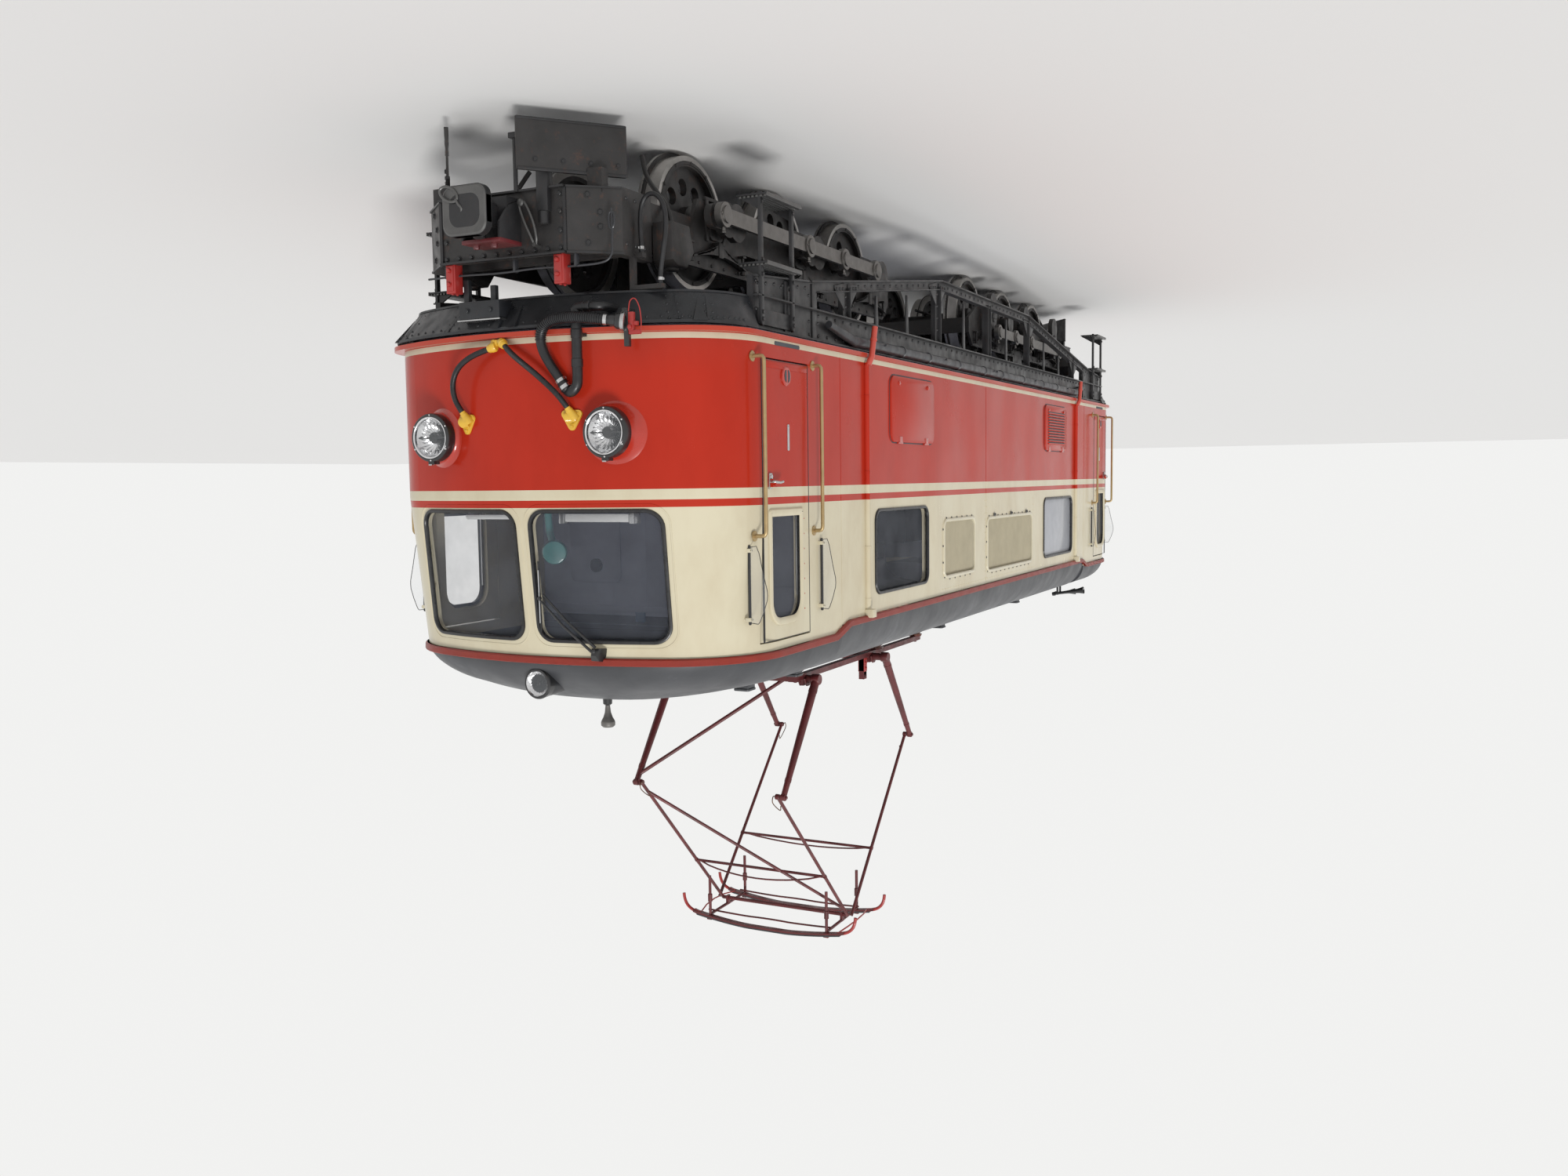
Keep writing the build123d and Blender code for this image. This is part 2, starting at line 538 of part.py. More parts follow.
# Cab handrails
rails = []
for x, foot_in in zip(RAIL_X, RAIL_FOOT_IN):
    y = -HALF_WIDTH - RAIL_OUT
    rail = bar((x, y, RAIL_Z[0]), (x, y, RAIL_Z[1]), 14)
    for z in (RAIL_Z[0] + 15, RAIL_Z[1] - 15):
        rail += bar((x, y, z), (x, -HALF_WIDTH + foot_in, z), 11)
    rails.append(rail - cab_block)
rails = [r for rail in rails for r in both_sides(rail)]
save("handrails", both_ends(rails))

# Footsteps below the cab doors
steps = []
for side_sign in (-1, 1):
    ladder = []
    for x in (STEP_X - STRINGER_DX, STEP_X + STRINGER_DX):
        across = sorted((side_sign * (TRUSS_Y + 18), side_sign * (TRUSS_Y + 40)))
        ladder.append(block(x - 16, x + 16, *across, TREAD_Z[0] - 10, RAIL_TOP + 1100))
    for z in TREAD_Z:
        across = sorted((side_sign * (HALF_WIDTH - 180), side_sign * (HALF_WIDTH + 15)))
        ladder.append(block(STEP_X - STEP_HALF_W, STEP_X + STEP_HALF_W, *across, z, z + 22))
    across = sorted((side_sign * TRUSS_Y, side_sign * (TRUSS_Y + 20)))
    ladder.append(block(STEP_X - 216, STEP_X + 216, *across, RAIL_TOP + 1000, RAIL_TOP + 1090))
    steps.append(fuse(ladder))
save("cab_steps", both_ends(steps))

# Wind deflectors either side of the cab door windows: a clear pane on an upright bar
deflectors = []
for x, inwards, tip_dx in zip(DEFLECTOR_X, DEFLECTOR_IN, DEFLECTOR_TIP_DX):
    y, (z0, z1) = -HALF_WIDTH + inwards, DEFLECTOR_Z
    edge_y = -HALF_WIDTH - DEFLECTOR_OUT
    bar_shape = bar((x, y, z0), (x, y, z1), 9)
    for z in (z0 + 12, z1 - 12):
        bar_shape += bar((x, y, z), (x + 4, y + 60, z), 8)
    out = Vector(tip_dx, edge_y - y, 0)
    # share of the pane's width, share of its height
    corners = ((0, 0.02), (0.40, 0.02), (1, 0.62), (0.46, 0.97), (0, 0.97))
    pane_line = [Vector(x, y, z0) + out * across + Vector(0, 0, (z1 - z0) * up) for across, up in corners]
    face_out = out.cross(Vector(0, 0, 1)).normalized()
    clear = extrude(make_face(Polyline(pane_line, close=True)), amount=DEFLECTOR_T, dir=face_out)
    deflectors += both_sides(bar_shape + clear - cab_block)
save("wind_deflectors", both_ends(deflectors))

# Jumper cable sockets and the dummy plugs that hold the cables' ends, on the front end
ROUTE_POINTS = {
    # x beyond the body's end, y, z of each point, from the socket to the dummy plug
    "jumper_cable_left": [
        (8, -352, 1598), (38, -328, 1543), (64, -288, 1490), (81, -240, 1441), (88, -186, 1396),
        (88, -128, 1354), (81, -70, 1315), (67, -16, 1278), (46, 34, 1240)],
    "jumper_cable_right": [
        (8, 366, 1600), (27, 392, 1550), (40, 405, 1497), (48, 404, 1442), (54, 386, 1390),
        (58, 352, 1346), (59, 306, 1312), (57, 252, 1286), (52, 196, 1267), (46, 142, 1252)],
    # x beyond the body's end, from the rigid pipe's elbow to the coupling head
    "heater_hose": [
        (24, -334, 1462), (36, -300, 1408), (46, -264, 1351), (55, -233, 1292), (64, -220, 1232),
        (72, -232, 1178), (77, -270, 1138), (80, -328, 1120), (79, -392, 1116), (74, -458, 1118),
        (63, -522, 1124), (46, -584, 1132), (21, -642, 1140)],
    # x beyond the headstock, from the cock on its bracket to the rest
    "brake_hose": [
        (-300, -812, 933), (-300, -812, 880), (-298, -822, 827), (-297, -831, 774), (-297, -841, 721),
        (-299, -849, 668), (-302, -852, 614), (-306, -846, 560), (-310, -829, 508), (-314, -798, 466),
        (-318, -756, 446), (-321, -714, 460), (-323, -688, 500), (-324, -679, 552), (-324, -677, 606),
        (-323, -679, 660), (-320, -684, 708), (-320, -684, 757)],
}
ROUTES = {}
for name, points in ROUTE_POINTS.items():
    end_x = HEADSTOCK_X if name == "brake_hose" else HALF_LENGTH
    ROUTES[name] = [(end_x + x, y, z) for x, y, z in points]
CORD_R = {"jumper_cable_left": 15, "jumper_cable_right": 15, "heater_hose": 27, "brake_hose": 13}


def tangent(route, at_end):
    """Unit direction of a route's first run, or of its last."""
    points = [Vector(*p) for p in route]
    run = points[-1] - points[-2] if at_end else points[0] - points[1]
    return run.normalized()


def cord_tube(name):
    """A cord as straight runs joined by tangent arcs, as large as its runs allow."""
    points = [Vector(*p) for p in ROUTES[name]]
    radii = []
    for before, at, after in zip(points, points[1:], points[2:]):
        turn = radians((at - before).get_angle(after - at))
        radii.append(0.45 * min((at - before).length, (after - at).length) / tan(turn / 2))
    path = FilletPolyline(*points, radius=radii)
    start = Plane(origin=points[0], z_dir=points[1] - points[0])
    tube = sweep(start * Circle(CORD_R[name]), path=path)
    print(name, "length", round(path.length), "least radius", round(min(radii)), "volume ratio",
          round(tube.volume / (path.length * pi * CORD_R[name] ** 2), 4))
    return tube


for name in ROUTES:
    save(name, cord_tube(name))
sockets = []
for name in ("jumper_cable_left", "jumper_cable_right"):
    mouth = Vector(*ROUTES[name][0])
    out = tangent(ROUTES[name], False)
    root = mouth + out * 52
    socket = bar(mouth, root, 21, 30) + bar(root, (HALF_LENGTH - 60, mouth.Y * 0.99, root.Z + 4), 32)
    sockets.append(socket - cab_block)
    foot = Vector(*ROUTES[name][-1])
    into = tangent(ROUTES[name], True)
    sockets.append(bar(foot, foot + into * 46, 24))
plug_foot = block(HALF_LENGTH - 30, HALF_LENGTH + 48, 62, 118, SKIRT_Z + LIP_H + 6, SKIRT_Z + 68)
plugs = fuse(sockets[1::2] + [plug_foot - cab_block])
save("jumper_sockets", [sockets[0], sockets[2], plugs])

# Heater pipe with its elbow, and the coupling head that the hose rests in
pipe_x, pipe_y, pipe_z = HALF_LENGTH + 23, -433, APRON_Z + 102
hose_start = Vector(*ROUTES["heater_hose"][0])
hose_in = tangent(ROUTES["heater_hose"], False)
elbow = [(pipe_x, pipe_y, 1430), (pipe_x, pipe_y + 8, 1478), (pipe_x + 1, pipe_y + 38, 1508)]
elbow += [tuple(hose_start + hose_in * 40)]
heater = [bar((pipe_x, pipe_y, pipe_z), (pipe_x, pipe_y, 1432), 24)]
for p, q in zip(elbow, elbow[1:]):
    heater += [bar(p, q, 24), Pos(*q) * Sphere(25)]
heater += [Pos(*elbow[0]) * Sphere(25), bar(tuple(hose_start + hose_in * 41), tuple(hose_start), 24, 27)]
low_bend = (pipe_x - 25, -570, pipe_z - 5)
heater += [Pos(pipe_x, pipe_y, pipe_z) * Sphere(25), bar((pipe_x, pipe_y, pipe_z), low_bend, 24)]
heater += [bar(low_bend, (HALF_LENGTH - 160, -590, pipe_z - 5), 24), Pos(*low_bend) * Sphere(25)]
heater = fuse(heater) - apron_block - lip_block
head_at = Vector(*ROUTES["heater_hose"][-1])
head_in = tangent(ROUTES["heater_hose"], True)
head = bar(head_at, tuple(head_at + head_in * 30), 30)
head += bar(tuple(head_at + head_in * 28), tuple(head_at + head_in * 60), 52)
head += block(HALF_LENGTH - 220, HALF_LENGTH - 5, -708, -690, 1075, TRUSS_TOP - 4) - apron_block - cab_block
save("heater_fittings", [max(shape.solids(), key=lambda v: v.volume) for shape in (heater, head)])

# Roof fittings: whistle on the front cab, twin horn across the rear one and four small boxes
crest = roof_crest(LOW_GUTTER_Z, ROOF_EDGE_R, ROOF_CROWN_R, HALF_WIDTH)
cab_crest = roof_crest(CAB_GUTTER_Z, CAB_EDGE_R, CAB_CROWN_R, HALF_WIDTH)
whistle_x = HALF_LENGTH - 720
whistle = bar((whistle_x, -70, cab_crest - 80), (whistle_x, -70, cab_crest + 90), 9)
whistle += bar((whistle_x, -70, cab_crest + 85), (whistle_x, -70, cab_crest + 155), 12, 37)
whistle -= cab_roof_block
rear_roof = Rot(0, 0, 180) * cab_roof_block
horn_x, horn_z = 920 - HALF_LENGTH, cab_crest + 30
horn = bar((horn_x, -620, horn_z + 30), (horn_x, -990, horn_z - 25), 20, 44)
horn += bar((horn_x - 90, -640, horn_z + 30), (horn_x - 90, -870, horn_z + 5), 18, 38)
horn += block(horn_x - 120, horn_x + 30, -690, -620, horn_z + 5, horn_z + 50)
horn += block(horn_x - 110, horn_x + 20, -670, -640, horn_z - 120, horn_z + 20)
horn -= rear_roof
vents = []
for x in (CAB_JOINT_X - 563, CAB_JOINT_X + 167, -CAB_JOINT_X + 670, -CAB_JOINT_X + 3110):
    vents.append(block(x, x + 100, -650, -550, crest - 90, crest + 22) - outer - cab_roof_block)
save("roof_fittings", [max(s.solids(), key=lambda v: v.volume) for s in [whistle, horn] + vents])


# Bogies, built in the row's frame for the front end and turned round for the rear one
def wheelset(x, phase):
    """One rail axle: axle, wheels with flanges, outside cranks and their pins, quartered left to right."""
    z = RAIL_TOP + WHEEL_R
    shapes = [bar((x, -CRANK_Y - CRANK_T / 2, z), (x, CRANK_Y + CRANK_T / 2, z), AXLE_R)]
    for s in (-1, 1):
        y0, y1 = WHEEL_BACK, WHEEL_BACK + TYRE_WIDTH
        tyre = bar((x, s * y0, z), (x, s * y1, z), WHEEL_R)
        tyre += bar((x, s * y0, z), (x, s * (y0 + FLANGE_WIDTH), z), WHEEL_R + RAIL_TOP)
        tyre -= bar((x, s * (y0 - 5), z), (x, s * (y1 + 5), z), WHEEL_R - 60)
        middle = (y0 + y1) / 2
        disc = bar((x, s * (middle - WHEEL_DISC / 2), z), (x, s * (middle + WHEEL_DISC / 2), z), WHEEL_R - 55)
        for k in range(9):
            a = 2 * pi * k / 9
            px, pz = x + 220 * cos(a), z + 220 * sin(a)
            disc -= bar((px, s * (middle - 40), pz), (px, s * (middle + 40), pz), 52)
        hub = bar((x, s * (y0 - 10), z), (x, s * (y1 + 10), z), 105)
        shapes += [tyre, disc, hub]
        a = phase + (pi / 2 if s > 0 else 0)
        px, pz = x + CRANK_THROW * cos(a), z + CRANK_THROW * sin(a)
        y0, y1 = s * (CRANK_Y - CRANK_T / 2), s * (CRANK_Y + CRANK_T / 2)
        web = bar((x, y0, z), (x, y1, z), 105) + bar((px, y0, pz), (px, y1, pz), 72)
        web += block_between(x, z, px, pz, y0, y1, 140)
        tx, tz = x - 0.8 * CRANK_THROW * cos(a), z - 0.8 * CRANK_THROW * sin(a)
        tail = bar((tx, y0, tz), (tx, y1, tz), 115)
        shapes += [web, tail, bar((px, y1, pz), (px, s * (ROD_Y + ROD_T / 2 + 12), pz), PIN_R)]
    return fuse(shapes)


def block_between(x0, z0, x1, z1, y0, y1, width):
    """A straight web between two centres in X and Z."""
    length = sqrt((x1 - x0) ** 2 + (z1 - z0) ** 2)
    turn = degrees(atan2(z1 - z0, x1 - x0))
    place = Location(((x0 + x1) / 2, (y0 + y1) / 2, (z0 + z1) / 2), (0, -turn, 0))
    return place * Box(length, abs(y1 - y0), width)


def jackshaft(x, phase):
    """Cross shaft that the motor turns, with the same outside cranks as the wheels and a gear."""
    z = RAIL_TOP + WHEEL_R
    half = CRANK_Y + CRANK_T / 2
    shapes = [bar((x, -half, z), (x, half, z), AXLE_R), bar((x, -60, z), (x, 60, z), 150)]
    for s in (-1, 1):
        a = phase + (pi / 2 if s > 0 else 0)
        px, pz = x + CRANK_THROW * cos(a), z + CRANK_THROW * sin(a)
        y0, y1 = s * (CRANK_Y - CRANK_T / 2), s * (CRANK_Y + CRANK_T / 2)
        shapes += [bar((x, y0, z), (x, y1, z), 95), bar((px, y0, pz), (px, y1, pz), 68)]
        shapes.append(block_between(x, z, px, pz, y0, y1, 130))
        shapes.append(bar((px, y1, pz), (px, s * (ROD_Y + ROD_T / 2 + 12), pz), PIN_R))
    return fuse(shapes)


JACK_X = PIVOT_X - AXLE_BASE / 2
AXLES = (PIVOT_X + AXLE_BASE, PIVOT_X, PIVOT_X - AXLE_BASE)


def coupling_rod(sign, phase):
    """The side rod over the crank pins of all three axles and the jackshaft."""
    a = phase + (pi / 2 if sign > 0 else 0)
    z = RAIL_TOP + WHEEL_R + CRANK_THROW * sin(a)
    dx = CRANK_THROW * cos(a)
    y0, y1 = sign * (ROD_Y - ROD_T / 2), sign * (ROD_Y + ROD_T / 2)
    across = sorted((sign * (ROD_Y - 14), sign * (ROD_Y + 14)))
    rod = block(AXLES[2] + dx, AXLES[0] + dx, *across, z - 45, z + 45)
    for x in AXLES + (JACK_X,):
        rod += bar((x + dx, y0, z), (x + dx, y1, z), 75)
    for x in AXLES + (JACK_X,):
        rod -= bar((x + dx, y0 - sign * 5, z), (x + dx, y1 + sign * 5, z), PIN_R + PIN_CLEAR)
    return rod


def bogie_frame():
    """Outside plate frames with axle guards, cross stretchers, headstock and rail guards."""
    shapes = []
    x_in, x_out = PIVOT_X - AXLE_BASE - 490, HEADSTOCK_X
    z_axle = RAIL_TOP + WHEEL_R
    for s in (-1, 1):
        y0, y1 = sorted((s * (FRAME_Y - FRAME_T / 2), s * (FRAME_Y + FRAME_T / 2)))
        low = FRAME_LOW
        outline = [(x_in, FRAME_TOP - 120), (x_in + 120, FRAME_TOP), (x_out - 240, FRAME_TOP)]
        outline += [(x_out - 240, HEADSTOCK_Z0 + 20), (AXLES[0] + 260, HEADSTOCK_Z0 + 20)]
        outline += [(AXLES[0] + 200, low), (AXLES[2] - 220, low), (x_in, low + 140)]
        side_frame = plate_xz(outline, y0, y1)
        for x in AXLES:
            side_frame -= block(x - 85, x + 85, y0 - 5, y1 + 5, low - 10, z_axle + 120)
        side_frame -= bar((JACK_X, y0 - 5, z_axle), (JACK_X, y1 + 5, z_axle), AXLE_R + 15)
        side_frame += block(PIVOT_X - 170, PIVOT_X + 170, y0, y1, FRAME_TOP - 20, CARRIER_Z1)
        for x0, x1 in ((AXLES[0] - 380, AXLES[0] - 820), (AXLES[1] - 880, AXLES[1] - 990)):
            place = Plane(origin=((x0 + x1) / 2, y0 - 5, FRAME_TOP - 110), x_dir=(1, 0, 0), z_dir=(0, 1, 0))
            slot = place * SlotOverall(abs(x1 - x0) + 60, 90)
            side_frame -= extrude(slot, amount=FRAME_T + 10, dir=(0, 1, 0))
        shapes.append(side_frame)
    stretchers = [
        # x, thickness, low z, high z
        (PIVOT_X + AXLE_BASE / 2, 60, FRAME_LOW + 120, FRAME_TOP),
        (x_in + 30, 36, FRAME_TOP - 260, FRAME_TOP - 120),
    ]
    for x, t, z0, z1 in stretchers:
        shapes.append(block(x - t / 2, x + t / 2, -FRAME_Y, FRAME_Y, z0, z1))
    carrier = block(PIVOT_X - 150, PIVOT_X + 150, -FRAME_Y, FRAME_Y, CARRIER_Z0, CARRIER_Z1)
    carrier += bar((PIVOT_X, 0, CARRIER_Z0 - 40), (PIVOT_X, 0, CARRIER_Z0 + 5), 120)
    carrier -= bar((PIVOT_X, 0, CARRIER_Z0 - 60), (PIVOT_X, 0, CARRIER_Z1 + 10), PIVOT_PIN_R + 2)
    shapes.append(carrier)
    half_plan = [
        (x_out, 420), (x_out - 190, 650), (x_out - 480, 650),
        (x_out - 480, 590), (x_out - 210, 590), (x_out - 30, 395)]
    head = plate_xy(half_plan + [(x, -y) for x, y in reversed(half_plan)], HEADSTOCK_Z0, HEADSTOCK_Z1)
    shapes.append(head)
    shapes.append(block(x_out - 260, x_out - 210, -600, 600, HEADSTOCK_Z1 - 60, HEADSTOCK_Z1))
    for s in (-1, 1):
        guard = Location((x_out - 70, s * 420, GUARD_Z), (0, 0, -s * 40)) * Box(600, 14, GUARD_H)
        shapes.append(guard)
        hanger_y = sorted((s * 478, s * 570))
        shapes.append(block(x_out - 180, x_out - 120, *hanger_y, GUARD_Z + 105, HEADSTOCK_Z0 + 30))
        lamp_y = sorted((s * 335, s * 395))
        shapes.append(block(x_out - 64, x_out - 1, *lamp_y, HEADSTOCK_Z1 - 20, HEADSTOCK_Z1 + 152))
    rest_z, bracket_z = HEADSTOCK_Z1, HOSE_BRACKET_Z + 24
    shapes.append(block(x_out - 340, x_out - 300, -700, -620, rest_z - 26, rest_z))
    shapes.append(block(x_out - 315, x_out - 285, -655, -625, rest_z - 10, bracket_z))
    shapes.append(block(x_out - 315, x_out - 285, -835, -625, HOSE_BRACKET_Z, bracket_z))
    return fuse(shapes)


def bogie_coupler():
    """Centre buffer plate with its shank, draw hook and hanging link."""
    place = Plane(origin=(BUFFER_X, 0, BUFFER_Z), x_dir=(0, 1, 0), z_dir=(-1, 0, 0))
    plate = extrude(place * RectangleRounded(290, 262, 60), amount=40)
    shank = block(HEADSTOCK_X, BUFFER_X - 30, -55, 55, BUFFER_Z - 60, BUFFER_Z + 60)
    housing = block(HEADSTOCK_X, HEADSTOCK_X + 110, -120, 120, BUFFER_Z - 100, BUFFER_Z + 110)
    hole = bar((PIN_X, 0, BUFFER_Z - 90), (PIN_X, 0, BUFFER_Z + 90), COUPLER_PIN_R)
    return plate + shank + housing - hole


def bogie_motor():
    """Traction motor and its gear case, between the inner axles."""
    z = RAIL_TOP + WHEEL_R
    motor = bar((JACK_X, -300, z + MOTOR_RISE), (JACK_X, 300, z + MOTOR_RISE), MOTOR_R)
    return motor + block(JACK_X - 40, JACK_X + 40, -290, 290, z + 160, z + 200)


for end, turn, sides in (("front", 0, ("left", "right")), ("rear", 180, ("right", "left"))):
    place = Rot(0, 0, turn)
    save(f"bogie_{end}_frame", place * bogie_frame())
    save(f"bogie_{end}_coupler", place * bogie_coupler())
    save(f"bogie_{end}_motor", place * bogie_motor())
    for number, x in enumerate(AXLES, 1):
        save(f"wheelset_{end}_{number}", place * wheelset(x, 0.0))
    save(f"jackshaft_{end}", place * jackshaft(JACK_X, 0.0))
    for name, sign in zip(sides, (-1, 1)):
        save(f"rod_{end}_{name}", place * coupling_rod(sign, 0.0))

# Pantograph base on its insulators
base = []
for s in (-1, 1):
    y, x, z0, z1 = s * BASE_Y, PANTO_X + s * 800, PANTO_BASE_Z - 45, PANTO_BASE_Z - 5
    base.append(block(PANTO_X + BASE_END_DX[0], PANTO_X + BASE_END_DX[1], y - 25, y + 25, z0, z1))
    base.append(block(x - 20, x + 20, -BASE_Y, BASE_Y, z0, z1))
    for t in (-1, 1):
        x = PANTO_X + s * PANTO_PIVOT_DX
        y = t * BASE_Y
        base.append(block(x - 40, x + 40, y - 18, y + 18, PANTO_BASE_Z - 20, PANTO_BASE_Z + 45))
    for dx in BASE_POST_DX:
        post_x = PANTO_X + dx
        base.append(bar((post_x, s * BASE_Y, PANTO_BASE_Z - 200), (post_x, s * BASE_Y, PANTO_BASE_Z - 40), 45))
latch_x = PANTO_X - 490
base.append(block(latch_x - 30, latch_x + 30, -BASE_Y - 22, -BASE_Y + 22, PANTO_BASE_Z - 10, PANTO_BASE_Z + 165))
base = fuse(base)
for s in (-1, 1):
    x = PANTO_X + s * PANTO_PIVOT_DX
    base -= bar((x, -700, PANTO_BASE_Z), (x, 700, PANTO_BASE_Z), 31)
save("pantograph_base", base - outer)


def lower_frame(s, y):
    """Two tapered arms on a cross shaft, with a diagonal tube on the near frame."""
    x0, x1 = PANTO_X + s * PANTO_PIVOT_DX, PANTO_X + s * KNEE_DX
    shapes = [bar((x0, -y, PANTO_BASE_Z), (x0, y, PANTO_BASE_Z), 30)]
    for t in (-1, 1):
        shapes.append(bar((x0, t * y, PANTO_BASE_Z), (x1, t * y, KNEE_Z), ARM_R0, ARM_R1))
        shapes.append(bar((x1, t * (y - 20), KNEE_Z), (x1, t * (y + 20), KNEE_Z), 24))
        shapes.append(bar((x0, t * (y - 32), PANTO_BASE_Z), (x0, t * (y + 32), PANTO_BASE_Z), 40))
    if s > 0:
        shapes.append(bar((x1 - 44, y - 12, KNEE_Z - 58), (x0 - 24, -0.55 * y, PANTO_BASE_Z + 18), 14))
    return fuse(shapes)


def upper_frame(s, y):
    """Two thin arms from the knees to the top, a cross tube with a bow over it, and a diagonal."""
    knee = (PANTO_X + s * KNEE_DX, KNEE_Z)
    top = (PANTO_X + s * 0, APEX_Z)
    inside = y - 44
    shapes = []
    for t in (-1, 1):
        shapes.append(bar((knee[0], t * inside, knee[1]), (top[0], t * inside, top[1]), UPPER_R))
        shapes.append(bar((knee[0], t * (inside - 16), knee[1]), (knee[0], t * (inside + 16), knee[1]), 20))
    cut = 0.35
    cx = top[0] + cut * (knee[0] - top[0])
    cz = top[1] + cut * (knee[1] - top[1])
    shapes.append(bar((cx, -inside, cz), (cx, inside, cz), UPPER_R - 2))
    if s > 0:
        dx, dz = (knee[0] - top[0]), (knee[1] - top[1])
        low = (top[0] + 0.93 * dx, inside, top[1] + 0.93 * dz)
        high = (top[0] + 0.06 * dx, -inside, top[1] + 0.06 * dz)
        shapes.append(bar(low, high, UPPER_R - 1))
        shapes.append(bar((top[0], -inside, top[1]), (top[0], inside, top[1]), 15))
    return fuse(shapes)


save("pantograph_lower_near", lower_frame(1, PANTO_Y))
save("pantograph_lower_far", lower_frame(-1, PANTO_FAR_Y))
save("pantograph_upper_near", upper_frame(1, PANTO_Y))
save("pantograph_upper_far", upper_frame(-1, PANTO_FAR_Y))

# Collector head: two bow strips on longitudinal bars that hang from the top shaft
head = []
for s in (-1, 1):
    x = PANTO_X + s * PAN_DX
    points = [(-PAN_HALF, PAN_TOP_Z - 165), (-PAN_HALF + 110, PAN_TOP_Z - 53), (-150, PAN_TOP_Z)]
    points += [(-y, z) for y, z in reversed(points)]
    edge = [(x - 25, y, z) for y, z in points] + [(x - 25, y, z - 26) for y, z in reversed(points)]
    head.append(extrude(make_face(Polyline(edge, close=True)), amount=50, dir=(1, 0, 0)))
    for t in (-1, 1):
        head.append(bar((x, t * 510, PAN_TOP_Z - 40), (x, t * 510, PAN_TOP_Z - 380), 12))
for t in (-1, 1):
    head.append(bar((PANTO_X - PAN_DX, t * 510, APEX_Z + 46), (PANTO_X + PAN_DX, t * 510, APEX_Z + 46), 12))
    head.append(block(PANTO_X - 22, PANTO_X + 22, t * 510 - 10, t * 510 + 10, APEX_Z - 22, APEX_Z + 46))
head = fuse(head) - bar((PANTO_X, -700, APEX_Z), (PANTO_X, 700, APEX_Z), 16)
save("pantograph_head", head)
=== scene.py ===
# Looks of a narrow-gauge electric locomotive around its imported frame. Metres, +X towards the end with
# the raised pantograph, +Z up, Z = 0 at the lowest point of the wheel flanges.
from math import atan2, cos, pi, radians, sin, sqrt

import bmesh
import bpy
from mathutils import Matrix, Vector


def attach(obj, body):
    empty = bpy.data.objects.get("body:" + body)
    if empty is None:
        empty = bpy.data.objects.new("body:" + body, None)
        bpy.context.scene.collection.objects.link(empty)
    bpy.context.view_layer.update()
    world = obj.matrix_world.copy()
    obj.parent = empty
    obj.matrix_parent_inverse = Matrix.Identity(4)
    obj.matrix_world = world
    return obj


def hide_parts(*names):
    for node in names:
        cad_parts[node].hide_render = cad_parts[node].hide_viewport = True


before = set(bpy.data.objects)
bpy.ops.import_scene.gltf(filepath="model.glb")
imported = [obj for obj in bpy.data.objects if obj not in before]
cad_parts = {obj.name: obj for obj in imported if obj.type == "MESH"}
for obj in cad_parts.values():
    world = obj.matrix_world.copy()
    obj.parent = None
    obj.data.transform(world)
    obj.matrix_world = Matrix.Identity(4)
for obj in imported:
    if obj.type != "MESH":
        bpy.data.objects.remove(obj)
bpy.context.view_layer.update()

# Directions of the row
AHEAD, ACROSS, UP = (1, 0, 0), (0, 1, 0), (0, 0, 1)
SIDE_OUT = Vector((0, -1, 0))

# Sizes of the body, as in the solids
RAIL_TOP = 0.028
HALF_WIDTH = 1.200
HALF_LENGTH = 5.120
END_R = 2.300
CORNER_R = 0.530
CORNER_TOP_R = 0.640
END_LEAN = 0.095
SKIRT_Z = RAIL_TOP + 1.140
TILT_Z = RAIL_TOP + 2.050
LOW_GUTTER_Z = RAIL_TOP + 2.900
CAB_GUTTER_Z = RAIL_TOP + 2.965
CAB_JOINT_X = 3.383
SIDE_Y = -HALF_WIDTH
PANTO_X = 1.844

# Camera of the photograph, which is upside down
PHOTO_WIDTH = 2000
FOCAL_PIXELS = 1645
SENSOR = 36.0
CAMERA_AT = Vector((10.9547, -4.4737, 1.9882))
CAMERA_YAW = radians(25.96)
CAMERA_PITCH = radians(4.837)
CAMERA_ROLL = radians(-0.738)


def make_camera():
    forward = Vector((-cos(CAMERA_YAW) * cos(CAMERA_PITCH), sin(CAMERA_YAW) * cos(CAMERA_PITCH),
                      sin(CAMERA_PITCH)))
    right = forward.cross(Vector(UP)).normalized()
    up = right.cross(forward)
    across = cos(CAMERA_ROLL) * right + sin(CAMERA_ROLL) * up
    above = -sin(CAMERA_ROLL) * right + cos(CAMERA_ROLL) * up
    data = bpy.data.cameras.new("camera")
    data.sensor_width = SENSOR
    data.lens = FOCAL_PIXELS * SENSOR / PHOTO_WIDTH
    data.clip_start = 0.05
    data.clip_end = 400
    camera = bpy.data.objects.new("camera", data)
    turn = Matrix((-across, -above, -forward)).transposed()
    camera.matrix_world = Matrix.Translation(CAMERA_AT) @ turn.to_4x4()
    bpy.context.scene.collection.objects.link(camera)
    bpy.context.scene.camera = camera


make_camera()


